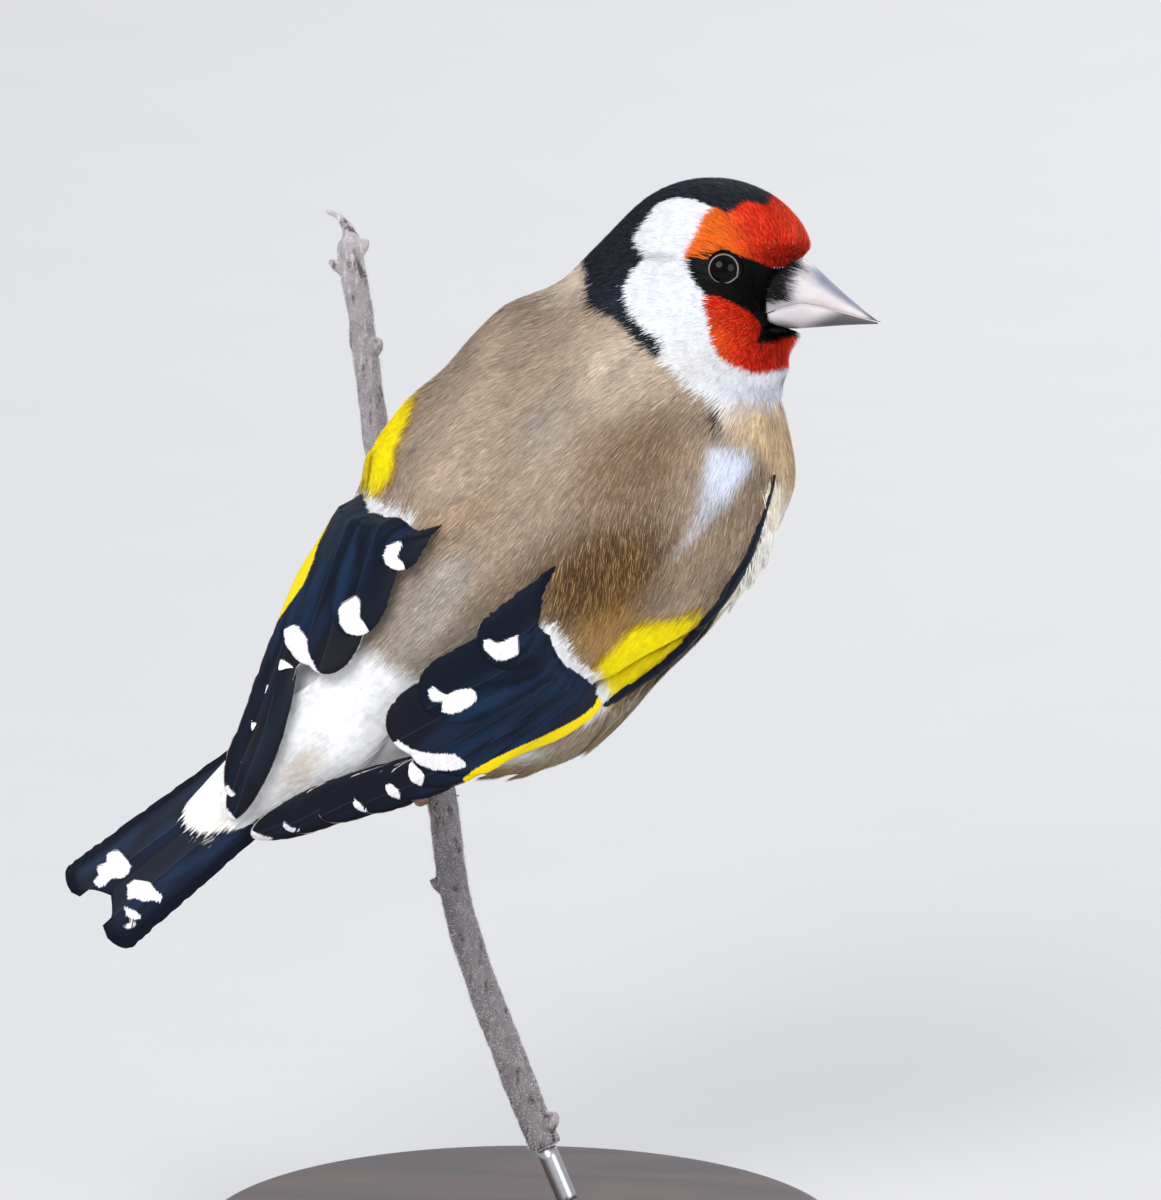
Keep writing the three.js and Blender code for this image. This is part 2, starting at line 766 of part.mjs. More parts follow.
function aroundStem(frame, angle, rise, distance) {
  return frame.at
    .clone()
    .addScaledVector(frame.out, Math.cos(radians(angle)) * distance)
    .addScaledVector(frame.round, Math.sin(radians(angle)) * distance)
    .addScaledVector(frame.along, rise);
}

// A toe's path round the stem, with its knuckles standing a little clear.
function toePath(frame, toe, steps) {
  const clear = frame.radius + GAP + TOE_RADIUS + 0.25;
  const path = [];
  for (let i = 0; i <= steps; i++) {
    const t = i / steps;
    const knuckle = 0.16 * Math.sin(t * Math.PI * 3) ** 2;
    const lift = 0.9 * (1 - smooth(Math.min(t * 3, 1)));
    path.push(aroundStem(frame, toe.round * t, toe.spread * smooth(Math.min(t * 2.4, 1)), clear + knuckle + lift));
  }
  return path;
}

function makeFoot(foot) {
  const frame = footFrame(foot);
  const STEPS = 8;
  const SIDES = 6;
  const pieces = TOES.map((toe) => {
    const path = toePath(frame, toe, STEPS);
    const radii = path.map((_, i) => TOE_RADIUS * mix(1.15, 0.8, i / STEPS));
    return taperedTube(path, radii, SIDES);
  });
  pieces.push(ball(JOINT_RADIUS, footJoint(frame), 1));
  return unite(pieces);
}

const footJoint = (frame) => aroundStem(frame, 0, 0, frame.radius + 2.1);

// A claw carries on from its toe's end and hooks in towards the stem.
function makeClaw(foot, toe) {
  const frame = footFrame(foot);
  const clear = frame.radius + GAP + TOE_RADIUS + 0.25;
  const turn = THREE.MathUtils.radToDeg(1 / clear) * Math.sign(toe.round);
  const STEPS = 5;
  const path = [];
  const radii = [];
  for (let i = 0; i <= STEPS; i++) {
    const t = i / STEPS;
    const along = GAP + 0.15 + CLAW_LENGTH * t;
    path.push(aroundStem(frame, toe.round + turn * along, toe.spread, clear + 0.55 * Math.sin(t * 2.2)));
    radii.push(mix(0.5, 0.14, t));
  }
  return taperedTube(path, radii, 6);
}

// A leg: the feathered thigh out of the belly, the heel and the bare shank down to the foot.
function makeLeg(foot) {
  const frame = footFrame(foot);
  const joint = footJoint(frame);
  const sole = joint.clone().addScaledVector(frame.out, JOINT_RADIUS * 0.8);
  const hip = vec(...foot.hip).applyMatrix4(birdAxes);
  const heel = hip.clone().lerp(sole, 0.5).addScaledVector(planeUp, 1.5).addScaledVector(frame.out, 0.5);
  const curve = new THREE.QuadraticBezierCurve3(hip, heel, sole);
  const STEPS = 10;
  const THIGH = 0.55;
  const path = [];
  const radii = [];
  for (let i = 0; i <= STEPS; i++) {
    const t = i / STEPS;
    path.push(curve.getPoint(t));
    radii.push(t < THIGH ? mix(3.8, 1, smooth(t / THIGH)) : mix(1, 0.85, (t - THIGH) / (1 - THIGH)));
  }
  const body = bodyStretch(TAIL_CUT_X, 0, 12, 32);
  const clearOfBody = body.scale([1.02, 1.02, 1.03]).transform(birdAxes.elements);
  const clearOfFoot = ball(JOINT_RADIUS + GAP, joint, 3);
  return largestPart(taperedTube(path, radii, 12).subtract(clearOfBody).subtract(clearOfFoot));
}

// Stand: a round base and a short rod that carries on from the stem's cut end.
const { at: stemFoot, along: stemRise } = stemPoint(0);
const BASE_SHIFT = vec(-3, -13, 0); // from the stem's foot to the middle, which lies under the bird
const BASE_CENTRE = stemFoot.clone().add(BASE_SHIFT).sub(vec(0, 0, ROD_LENGTH + BASE_HEIGHT));

function makeBase() {
  const EDGE = 1.2;
  const FOOT_EDGE = 0.5;
  const profile = [
    [0, 0],
    [BASE_RADIUS - FOOT_EDGE, 0],
    [BASE_RADIUS, FOOT_EDGE],
    [BASE_RADIUS, BASE_HEIGHT - EDGE],
    [BASE_RADIUS - EDGE * 0.3, BASE_HEIGHT - EDGE * 0.3],
    [BASE_RADIUS - EDGE, BASE_HEIGHT],
    [0, BASE_HEIGHT],
  ].map(([x, y]) => new THREE.Vector2(x, y));
  const disc = new THREE.LatheGeometry(profile, 44).rotateX(Math.PI / 2);
  return solidOf(disc).translate(BASE_CENTRE.toArray());
}

function makeRod() {
  const top = stemFoot.clone().addScaledVector(stemRise, -GAP);
  const bottom = top.clone().addScaledVector(stemRise, -ROD_LENGTH * 1.4);
  const rod = taperedTube([top, bottom], [ROD_RADIUS, ROD_RADIUS], 18);
  return rod.trimByPlane([0, 0, 1], BASE_CENTRE.z + BASE_HEIGHT + GAP);
}

// The parts and their finishes
const finish = (color, roughness, metalness = 0) =>
  new THREE.MeshStandardMaterial({ color, roughness, metalness, flatShading: true });
const FINISHES = {
  headFeathers: finish(0xb8221a, 0.8),
  bodyFeathers: finish(0xa8896a, 0.85),
  flightFeathers: finish(0x16202c, 0.5),
  bill: finish(0xd9c4bd, 0.45),
  eye: finish(0x0b0a0a, 0.08),
  leg: finish(0x8c6a5e, 0.6),
  claw: finish(0x3b2c28, 0.4),
  bark: finish(0x857a80, 0.9),
  base: finish(0x2e2a28, 0.5),
  rod: finish(0x9a9a98, 0.35, 0.9),
};

const model = new THREE.Group();
model.position.copy(BASE_CENTRE).negate();
const bird = new THREE.Group();
bird.quaternion.setFromRotationMatrix(birdAxes);
model.add(bird);

function addPart(name, solid, material, parent = model) {
  const mesh = new THREE.Mesh(geometryOf(solid), material);
  mesh.name = name;
  parent.add(mesh);
}

addPart("torso", makeTorso(), FINISHES.bodyFeathers, bird);
addPart("neck", makeNeck(), FINISHES.bodyFeathers, bird);
addPart("head", makeHead(), FINISHES.headFeathers, bird);
addPart("bill_upper", makeUpperBill(), FINISHES.bill, bird);
addPart("bill_lower", billHalf(-1, 0), FINISHES.bill, bird);
addPart("tail", makeTail(), FINISHES.flightFeathers, bird);
for (const [name, side] of [
  ["left", 1],
  ["right", -1],
]) {
  addPart(`eye_${name}`, eyeBall(side, 0), FINISHES.eye, bird);
  addPart(`wing_${name}`, makeWing(side), FINISHES.flightFeathers, bird);
  addPart(`leg_${name}`, makeLeg(FEET[name]), FINISHES.leg);
  addPart(`foot_${name}`, makeFoot(FEET[name]), FINISHES.leg);
  TOES.forEach((toe, i) => addPart(`claw_${name}_${i + 1}`, makeClaw(FEET[name], toe), FINISHES.claw));
}
addPart("perch_stem", makeStem(), FINISHES.bark);
addPart("stand_base", makeBase(), FINISHES.base);
addPart("stand_rod", makeRod(), FINISHES.rod);

export default model;
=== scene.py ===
"""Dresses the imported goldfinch: a feathered skin, laid flight feathers, bill, eyes, feet, stem and stand.

Shapes are worked out in millimetres. The bird's own frame has x towards its head, y to its left and z out
of its back, and the head's has x to the bill, y to its left and z to its crown. Points become metres of
the part's frame when a mesh is made.
"""
import logging
import math
from collections.abc import Callable
from dataclasses import dataclass, field
from enum import Enum

import bmesh
import bpy
import numpy as np
from mathutils import Matrix, Vector
from mathutils.kdtree import KDTree


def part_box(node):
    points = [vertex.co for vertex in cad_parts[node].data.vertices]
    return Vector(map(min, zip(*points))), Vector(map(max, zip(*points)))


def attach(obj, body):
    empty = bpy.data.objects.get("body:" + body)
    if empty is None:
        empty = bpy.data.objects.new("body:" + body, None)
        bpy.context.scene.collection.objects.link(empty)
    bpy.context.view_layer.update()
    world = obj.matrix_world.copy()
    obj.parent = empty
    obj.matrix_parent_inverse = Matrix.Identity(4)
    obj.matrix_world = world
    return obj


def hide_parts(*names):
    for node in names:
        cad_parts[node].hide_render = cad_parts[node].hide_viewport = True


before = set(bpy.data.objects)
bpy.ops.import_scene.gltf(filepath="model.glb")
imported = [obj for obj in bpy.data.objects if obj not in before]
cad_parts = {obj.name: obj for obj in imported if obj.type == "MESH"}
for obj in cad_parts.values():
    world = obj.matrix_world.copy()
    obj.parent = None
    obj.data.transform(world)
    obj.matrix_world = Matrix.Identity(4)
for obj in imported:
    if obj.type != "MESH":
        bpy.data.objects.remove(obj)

MM = 0.001
SEED = 5
Array = np.ndarray
log = logging.getLogger("goldfinch")


class Slot(Enum):
    """The record's material slots."""

    BODY = "body_feathers"
    HEAD = "head_feathers"
    FLIGHT = "flight_feathers"
    BILL = "bill"
    EYE = "eye"
    LEG = "leg"
    CLAW = "claw"
    BARK = "bark"
    WOOD = "stand_wood"
    METAL = "stand_metal"


class Side(Enum):
    """A side of the bird, by the sign of its y."""

    LEFT = 1
    RIGHT = -1


# Small helpers


def ramp(value: Array, start: float, end: float) -> Array:
    """A smooth step from 0 at start to 1 at end."""
    t = np.clip((np.asarray(value, float) - start) / (end - start), 0.0, 1.0)
    return t * t * (3.0 - 2.0 * t)


def unit(vectors: Array) -> Array:
    """Vectors of length one."""
    return vectors / np.maximum(np.linalg.norm(vectors, axis=-1, keepdims=True), 1e-12)


def dot(a: Array, b: Array) -> Array:
    """Row by row dot product, kept as a column."""
    return np.sum(a * b, axis=-1, keepdims=True)


def mix(a: Array, b: Array, share: Array) -> Array:
    """Rows of a blended towards b by a share for each row."""
    share = np.asarray(share, float)[..., None]
    return a * (1.0 - share) + b * share


def tone(red: int, green: int, blue: int) -> Array:
    """A linear colour from its screen values, 0 to 255."""
    c = np.array([red, green, blue], float) / 255.0
    return np.where(c <= 0.04045, c / 12.92, ((c + 0.055) / 1.055) ** 2.4)


def brightness(colours: Array) -> Array:
    """How bright linear colours look."""
    return colours @ np.array([0.3, 0.6, 0.1])


def inside(outline: list[tuple[float, float]], u: Array, v: Array) -> Array:
    """Tells which points lie inside a closed outline.

    Args:
        outline: its corners.
        u, v: the points' coordinates.

    Returns:
        True for each point inside.
    """
    hits = np.zeros(np.shape(u), bool)
    for (u0, v0), (u1, v1) in zip(outline, outline[1:] + outline[:1]):
        if v0 == v1:
            continue
        crossing = (v0 > v) != (v1 > v)
        hits ^= crossing & (u < (u1 - u0) * (v - v0) / (v1 - v0) + u0)
    return hits


def edge_gap(outline: list[tuple[float, float]], u: Array, v: Array) -> Array:
    """Distance of points from a closed outline's edge, above zero inside it."""
    nearest = np.full(np.shape(u), np.inf)
    for (u0, v0), (u1, v1) in zip(outline, outline[1:] + outline[:1]):
        du, dv = u1 - u0, v1 - v0
        t = np.clip(((u - u0) * du + (v - v0) * dv) / max(du * du + dv * dv, 1e-9), 0, 1)
        nearest = np.minimum(nearest, (u - u0 - t * du) ** 2 + (v - v0 - t * dv) ** 2)
    return np.sqrt(nearest) * np.where(inside(outline, u, v), 1.0, -1.0)


def waves(points: Array, size: float, seed: int) -> Array:
    """Smooth random values over space, as a sum of plane waves.

    Args:
        points: places, one a row.
        size: rough width of a bump.
        seed: fixes the pattern.

    Returns:
        Values of about -1 to 1.
    """
    rng = np.random.default_rng(seed)
    total = np.zeros(len(points))
    count = 7
    for _ in range(count):
        direction = unit(rng.normal(size=3)) * rng.uniform(0.6, 1.5) * math.pi / size
        total += np.sin(points @ direction + rng.uniform(0, 2 * math.pi))
    return total / math.sqrt(count)


# Frames


@dataclass(frozen=True)
class Pose:
    """How the bird sits: angles in degrees, places in millimetres."""

    lean: float = 14.0
    pitch: float = 45.0
    roll: float = 8.0
    head_right: float = 18.9
    head_up: float = 29.1
    head_out: float = 5.5
    eye_x: float = 2.4
    eye_z: float = 1.6


class BirdSpace:
    """Turns points between the part's frame, the bird's and the head's."""

    def __init__(self, pose: Pose) -> None:
        """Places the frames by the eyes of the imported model."""
        lean, pitch, roll = (math.radians(v) for v in (pose.lean, pose.pitch, pose.roll))
        self.right = np.array([1.0, 0.0, 0.0])
        self.up = np.array([0.0, math.sin(lean), math.cos(lean)])
        self.out = np.array([0.0, -math.cos(lean), math.sin(lean)])
        forward = self.right * math.cos(pitch) + self.up * math.sin(pitch)
        rightward = self.right * math.sin(pitch) - self.up * math.cos(pitch)
        back = self.out * math.cos(roll) - rightward * math.sin(roll)
        self.roll = roll
        self.eye_place = np.array([pose.eye_x, pose.eye_z])
        self.bird_axes = np.stack([forward, np.cross(back, forward), back])
        self.head_axes = np.stack([self.right, -self.out, self.up])
        eyes = [np.array(corner) for name in ("eye_left", "eye_right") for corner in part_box(name)]
        eye_middle = np.mean(eyes, axis=0) / MM
        head = eye_middle - np.array([pose.eye_x, 0.0, pose.eye_z]) @ self.head_axes
        self.centre = head - self.plane(pose.head_right, pose.head_up, pose.head_out)
        self.head_centre = self.to_bird(head)
        self.head_in_bird = self.head_axes @ self.bird_axes.T

    def plane(self, right: float, up: float, out: float) -> Array:
        """A step along the upright plane that the back lies in."""
        return self.right * right + self.up * up + self.out * out

    def to_part(self, points: Array) -> Array:
        """Points of the bird's frame in the part's."""
        return np.asarray(points) @ self.bird_axes + self.centre

    def to_bird(self, points: Array) -> Array:
        """Points of the part's frame in the bird's."""
        return (np.asarray(points) - self.centre) @ self.bird_axes.T

    def to_head(self, points: Array) -> Array:
        """Points of the bird's frame in the head's."""
        return (np.asarray(points) - self.head_centre) @ self.head_in_bird.T

    def from_head(self, points: Array) -> Array:
        """Points of the head's frame in the bird's."""
        return np.asarray(points) @ self.head_in_bird + self.head_centre

    def across_back(self, points: Array) -> Array:
        """How far points lie to the bird's right as the back is seen square on."""
        return -points[..., 1] * math.cos(self.roll) - points[..., 2] * math.sin(self.roll)


# The bird's outline


@dataclass(frozen=True)
class Mass:
    """One rounded mass of the body: its centre and half sizes."""

    at: tuple[float, float, float]
    half: tuple[float, float, float]

    def distance(self, points: Array) -> Array:
        """Distance to the mass's surface, near enough for blending."""
        half = np.array(self.half)
        scaled = (points - np.array(self.at)) / half
        reach = np.sqrt(np.sum(scaled * scaled, axis=-1))
        slope = np.sqrt(np.sum((scaled / half) ** 2, axis=-1))
        return reach * (reach - 1.0) / np.maximum(slope, 1e-9)


BODY_MASSES = (
    Mass((9, 0, -1.5), (19, 20.5, 18)),  # breast
    Mass((-10, -0.5, -5.5), (22, 20, 14.5)),  # belly
    Mass((-14, -3.6, -5), (18.5, 19.6, 12.5)),  # right flank
    Mass((-4, 0.3, 3), (28, 17.5, 14.5)),  # back
    Mass((-27, 0.3, 3), (18, 11, 8)),  # rump
    Mass((-37, 0.5, 2.4), (15, 6.3, 5.2)),  # vent
    Mass((-52, 1.6, 5.2), (15, 4.3, 2.4)),  # tail root
    Mass((19, 1.2, 1), (15, 17, 15)),  # shoulders
    Mass((16.5, -3, -3.4), (14.6, 16.4, 13.5)),  # crop
    Mass((2, -3.6, -2), (18, 19.6, 14)),  # under the right wing
    Mass((27.5, 5.4, 4.4), (10.5, 11.6, 11)),  # neck
)
HEAD_MASSES = (
    Mass((0.7, 0, 5), (9.9, 6.8, 7.6)),  # skull
    Mass((6.6, 0, 3.1), (6, 3.1, 4.8)),  # forehead
    Mass((-1.5, 0, -3.5), (4.7, 5.8, 5.2)),  # cheeks
    Mass((4.7, 0, -6.3), (5.8, 2.2, 0.9)),  # chin
    Mass((-7, 0, -4), (6.9, 8, 8.3)),  # nape
)
BED_MASSES = (
    Mass((-29, -0.6, 2.6), (17.5, 15.4, 6.4)),
    Mass((-42, -0.6, 4.6), (16.5, 8.4, 3.6)),
)


class Surface(Enum):
    """Which outline a distance is measured to."""

    FEATHERED = "body, head and the coverts over the folded wings"
    BED = "what the folded wings' feathers lie on"


class BirdShape:
    """The bird's blended outline, and the places on it."""

    blend = 2.2
    wrist_x = 20.0
    coverts_end_x = -9.0
    covert_depth = 2.0
    wrist_bulge = 1.05
    squeeze_x = -50.0
    squeeze = 0.42

    def __init__(self, space: BirdSpace) -> None:
        """Keeps the frames that the masses stand in."""
        self.space = space

    def bed_centre(self, x: Array) -> Array:
        """The line inside the body that angles are measured round."""
        x = np.asarray(x, float)
        y = -0.6 * ramp(-x, 20, 45)
        z = -1.0 + 5.6 * ramp(-x, 18, 46)
        return np.stack([x, y, z], axis=-1)

    def ridge_angle(self, points: Array) -> Array:
        """Degrees round the body from the back's ridge, 0 to 180, on either side."""
        centre = self.bed_centre(points[..., 0])
        away = points - centre
        return np.degrees(np.arctan2(np.abs(away[..., 1]), away[..., 2]))

    def coverts(self, points: Array) -> Array:
        """Height that the feathered arm of a folded wing adds over the body."""
        x = points[..., 0]
        angle = self.ridge_angle(points)
        along = (self.wrist_x - x) / (self.wrist_x - self.coverts_end_x)
        inner = 62 - 35 * ramp(along * 1.15, 0, 1)
        outer = 88 - 19 * ramp(along, 0, 1)
        across = ramp(angle - inner, -12, 10) * (1 - ramp(angle - outer, -4, 6))
        length = ramp(x, -13.5, -8.5) * (1 - ramp(x, 13, 22))
        wrist = ramp(angle, 52, 72) * (1 - ramp(angle, 90, 108)) * ramp(points[..., 1], 2, 8)
        wrist = wrist * ramp(x, -15.5, -11) * (1 - ramp(x, -5, 5))
        return self.covert_depth * (across * length + self.wrist_bulge * wrist)

    def bill_recess(self, places: Array) -> Array:
        """Depth by which face and throat give way at the bill's base, at places of the head's frame."""
        x, z = places[..., 0], places[..., 2]
        face = 1.25 * ramp(x, 5.8, 8.6) * ramp(z, 4.6, 2.6) * ramp(z, -6.8, -5.6)
        return face + 1.3 * ramp(x, 4, 8) * ramp(z, -11.2, -13.4) * ramp(z, -26, -17)

    def distance(self, points: Array, surface: Surface = Surface.FEATHERED) -> Array:
        """Signed distance from points to an outline, below zero inside.

        Args:
            points: places in the bird's frame.
            surface: the outline.

        Returns:
            A distance for each point.
        """
        given = points
        x = given[..., 0]
        points = given.copy()
        points[..., 0] = np.where(x < self.squeeze_x, self.squeeze_x + (x - self.squeeze_x) / self.squeeze, x)
        total = sum(np.exp(-mass.distance(points) / self.blend) for mass in BODY_MASSES)
        in_head = self.space.to_head(given)
        total = total + sum(np.exp(-mass.distance(in_head) / self.blend) for mass in HEAD_MASSES)
        if surface is Surface.BED:
            total = total + sum(np.exp(-mass.distance(points) / self.blend) for mass in BED_MASSES)
            return -self.blend * np.log(total)
        return -self.blend * np.log(total) - self.coverts(given) + self.bill_recess(in_head)

    def slope(self, points: Array) -> Array:
        """The feathered outline's gradient at points."""
        step = 0.05
        corners = np.array([[1, -1, -1], [-1, -1, 1], [-1, 1, -1], [1, 1, 1]], float)
        total = np.zeros_like(points)
        for corner in corners:
            total += corner * self.distance(points + corner * step)[..., None]
        return total / (4 * step)

    def settle(self, points: Array, level: float | Array, rounds: int = 3) -> tuple[Array, Array]:
        """Moves points to a level of the feathered outline.

        Args:
            points: places near it.
            level: signed distance to end at.
            rounds: how often to correct.

        Returns:
            The moved points and the outward normals there.
        """
        for _ in range(rounds):
            gradient = self.slope(points)
            steepness = np.sum(gradient**2, axis=-1)
            points = points - gradient * ((self.distance(points) - level) / steepness)[..., None]
        return points, unit(self.slope(points))

    def seen(self, x: Array, across: Array) -> Array:
        """Points of the feathered outline at stations and distances across, as the back is seen.

        Args:
            x: stations along the body.
            across: distances to the bird's right.

        Returns:
            The points, and where the outline is missed, those that pass it nearest.
        """
        c, s = math.cos(self.space.roll), math.sin(self.space.roll)
        height = np.linspace(30, -26, 113)[None, :]
        x, across = x[:, None] + 0 * height, across[:, None] + 0 * height
        points = np.stack([x, -across * c - height * s, -across * s + height * c], axis=-1)
        level = self.distance(points)
        chosen = np.where((level < 0).any(axis=1), np.argmax(level < 0, axis=1), np.argmin(level, axis=1))
        return points[np.arange(len(points)), chosen]

    def on_bed(self, x: Array, angle: Array, side: Side, height: Array) -> Array:
        """Points over the wings' bed.

        Args:
            x: stations along the body.
            angle: degrees from the back's ridge.
            side: the bird's side.
            height: height over the bed.

        Returns:
            The points.
        """
        x, angle, height = np.broadcast_arrays(x, angle, height)
        centre = self.bed_centre(x)
        turn = np.radians(angle)
        out = np.stack([np.zeros_like(turn), side.value * np.sin(turn), np.cos(turn)], axis=-1)
        low, high = np.zeros(x.shape), np.full(x.shape, 34.0)
        for _ in range(18):
            middle = (low + high) / 2
            within = self.distance(centre + out * middle[..., None], Surface.BED) < 0
            low, high = np.where(within, middle, low), np.where(within, high, middle)
        return centre + out * (low + height)[..., None]

    def bed_angle(self, x: float, across: float, side: Side) -> float:
        """The ridge angle on the bed at a station and a distance across the back as it is seen."""
        angles = np.linspace(0, 92, 60)
        seen = self.space.across_back(self.on_bed(x, angles, side, 1.5)) * -side.value
        peak = int(np.argmax(seen)) + 1
        return float(np.interp(across * -side.value, seen[:peak], angles[:peak]))


# Markings


MANTLE = tone(168, 148, 128)
CREAM = tone(226, 212, 190)
LOWER_BACK = tone(150, 143, 134)
GREY_WHITE = tone(186, 188, 194)
WHITE = tone(251, 252, 254)
HEAD_WHITE = tone(236, 238, 243)
OFF_WHITE = tone(230, 224, 212)
BLACK = tone(13, 15, 21)
BLUE_GREY_SHEEN = tone(66, 80, 104)
LORE_BLACK = tone(7, 7, 7)
RED = tone(214, 34, 10)
DARK_RED = tone(168, 16, 6)
ORANGE = tone(236, 112, 14)
SALMON_HIGHLIGHT = tone(252, 98, 66)
YELLOW = tone(255, 236, 0)
GOLD_BROWN = tone(160, 116, 14)
FLANK = tone(158, 144, 122)
BREAST_BUFF = tone(220, 194, 158)
BREAST_CREAM = tone(240, 233, 218)
BREAST_BROWN = tone(148, 126, 104)
CREASE_SHADE = tone(64, 54, 46)
GOLDEN = tone(206, 164, 104)
SMUDGE = tone(150, 150, 152)
CHEEK_GREY = tone(224, 220, 214)
RUMP_BUFF = tone(190, 172, 150)
VENT_BUFF = tone(186, 170, 150)
COVERT_BUFF = tone(214, 202, 186)
SIDE_WHITE = tone(232, 238, 250)
FLAME = tone(255, 120, 60)
DEEP_RED = tone(120, 8, 4)

# Outlines in the head's x and z, and alike on both sides of the head.
HEAD_OUTLINE = [
    (-14.1, 1.6), (-13.4, -3), (-10, -4.8), (-8.5, -6.6), (-5.5, -9.3), (-3.5, -10.8), (-2, -12.5),
    (1.2, -14.6), (9.5, -15), (20, -15), (20, 18), (-15, 18), (-14.4, 5.2),
]
CROWN_BLACK = [
    (9.9, 9.6), (8.4, 9.6), (8, 8.8), (6, 9.3), (5, 9.1), (4, 8.2), (3.2, 7.9), (2.2, 8.7), (1, 9),
    (-1, 10), (-3, 10.2), (-5, 9.6), (-7, 7), (-8, 5.5), (-7.6, 4), (-6.6, 2.6), (-8, 1.6), (-9.4, -0.7),
    (-9, -3), (-8.3, -4.5), (-6.3, -6.4), (-5, -7.6), (-4.6, -9.4), (-5.5, -9.4), (-8.5, -6.6), (-10, -4.8),
    (-13.4, -3), (-14.1, 1.6), (-14.4, 5.2), (-15, 18), (12, 18), (11.2, 10.5),
]
UPPER_RED = [
    (-2, 2.4), (-1.3, 4.2), (-0.3, 6), (0.6, 7.8), (1.5, 8.8), (2.2, 8.7), (3.2, 7.9), (4, 8.2), (5, 9.1),
    (6, 9.3), (8, 8.8), (8.4, 9.6), (10.4, 9.9), (15, 9), (15, 2.3), (12, 3.3), (10.5, 1.8), (8, 1.6),
    (6, 2.4), (4, 3.2), (1.5, 3.9), (0, 3),
]
LOWER_RED = [
    (0.8, -1.4), (3, -2), (5.6, -3.4), (7, -5), (14, -5), (14, -8), (10.4, -9.8), (8.5, -10.6),
    (6.8, -11.1), (5.5, -11), (4.3, -10.4), (3, -10.1), (2.2, -9.3), (1.3, -8), (0.9, -6), (0.6, -4),
    (0, -3),
]
LORES = [
    (-1.9, 2.3), (0.5, 3.6), (2, 4), (4, 3.2), (6, 2.4), (8, 1.6), (9.5, 1.6), (11.3, 2.6), (13.5, 3.4),
    (13.5, -6.9), (10, -7.2), (8, -7.6), (6.4, -7.6), (7, -6), (6.6, -5), (5.6, -3.9), (4, -3), (2, -2.1),
    (0.4, -1.9), (-0.5, -0.8), (-1.2, 0.7),
]

# Outlines over the back, in the bird's x and the distance across to its right.
RIGHT_YELLOW = [
    (-9.6, 16.6), (-7, 15.8), (-4.6, 16.2), (-2.4, 15.9), (-0.1, 16.9), (1.8, 18.4), (4.4, 19.9), (5.8, 20.9),
    (5.4, 22), (3, 22.3), (-0.7, 22.8), (-4.6, 22.2), (-11.4, 21.2), (-10, 18.6),
]
LEFT_YELLOW = [
    (0.6, -22.6), (-1.2, -21), (-5.6, -19.3), (-9.1, -17.6), (-11.4, -17), (-13.2, -17.2), (-14.6, -20.5),
    (-15, -27), (2, -27),
]
RIGHT_FRINGE = [
    (-9.6, 8.7), (-9.2, 10), (-9.3, 11.3), (-9.9, 13.2), (-10.2, 15.1), (-10, 16.4), (-9.3, 18.2),
    (-9.6, 19.8), (-10.2, 20.6), (-15, 21), (-15, 8.8),
]
LEFT_FRINGE = [
    (-14.6, -20.7), (-13.9, -18.2), (-13.2, -16.5), (-12.2, -14), (-11.5, -11.8), (-14, -10.4),
    (-19, -13), (-19, -21),
]
RIGHT_GREY = [
    (20.6, 7.2), (23.4, 10.4), (22.6, 12.4), (18.4, 13.2), (13.2, 13.6), (8.4, 14), (7, 13.4), (9.6, 12.6),
    (14, 11.6), (17, 9.6),
]
# Where painted shade fills the dark gap between the throat and the mantle.
THROAT_CREASE = [(24.6, 4.1), (24, 5.6), (22.6, 7.4), (21.8, 6.9), (22.7, 5.1), (23.7, 3.9)]
# The dark leading edge of the folded wing, and what shows of the flight feathers. No coat grows there.
WING_LINE = [(-12, 21.4), (-4, 23), (3, 23), (6.2, 22.1), (16.9, 19.8), (20.5, 18.1), (23, 15.8), (25, 13)]
RIGHT_EDGE = [
    (23, 15.3), (20.6, 17.6), (16.9, 19.3), (6.2, 21.6), (3, 22.2), (-0.7, 22.7), (-7.3, 21.6), (-11.2, 20.8),
    (-11.6, 21.3), (-8.1, 22.4), (-3.6, 23.2), (0.6, 24), (3.6, 24), (6.6, 22.8), (17, 20.4),
    (21, 18.5), (23.4, 16),
]
RIGHT_BARE = [
    (-4.4, 5.6), (-5.8, 5.9), (-7.5, 6.5), (-9.9, 8.1), (-10.9, 8.6), (-11.2, 10), (-10.9, 10.9),
    (-11.8, 13.2), (-12.1, 15.1), (-11.8, 16.4), (-11, 18.2), (-10.7, 19.8), (-10.9, 20.4), (-14.7, 20),
    (-18, 19.3), (-24.6, 17.3), (-31, 14.5), (-37.4, 11.8), (-42.9, 8.7), (-48.4, 5.6), (-53, 3.2),
    (-54, 1.5), (-50, 0.9), (-46.7, 1.6), (-42.7, 3.3), (-39, 4.5), (-36.7, 5.4), (-32.5, 4.8), (-30, 4.3),
    (-21, 4.8), (-12, 5.7),
]
LEFT_BARE = [
    (-10.8, -9.9), (-12.6, -11.1), (-13.3, -12), (-13.6, -14.7), (-14.7, -15.9), (-15.2, -17.3), (-16, -18.1),
    (-15.4, -20), (-16.6, -19.9), (-20.4, -19.4), (-25, -17.6), (-30, -15.6), (-35.2, -13.6), (-38.3, -12.3),
    (-41.7, -9.9), (-46.4, -7.6), (-53, -3.6), (-54, -1.5), (-46.9, -1.8), (-43.1, -3.7), (-39.2, -5.6),
    (-36.4, -6.2), (-32, -5.3), (-27.3, -6), (-23.3, -7), (-19.1, -8.1), (-15.6, -9.3),
]


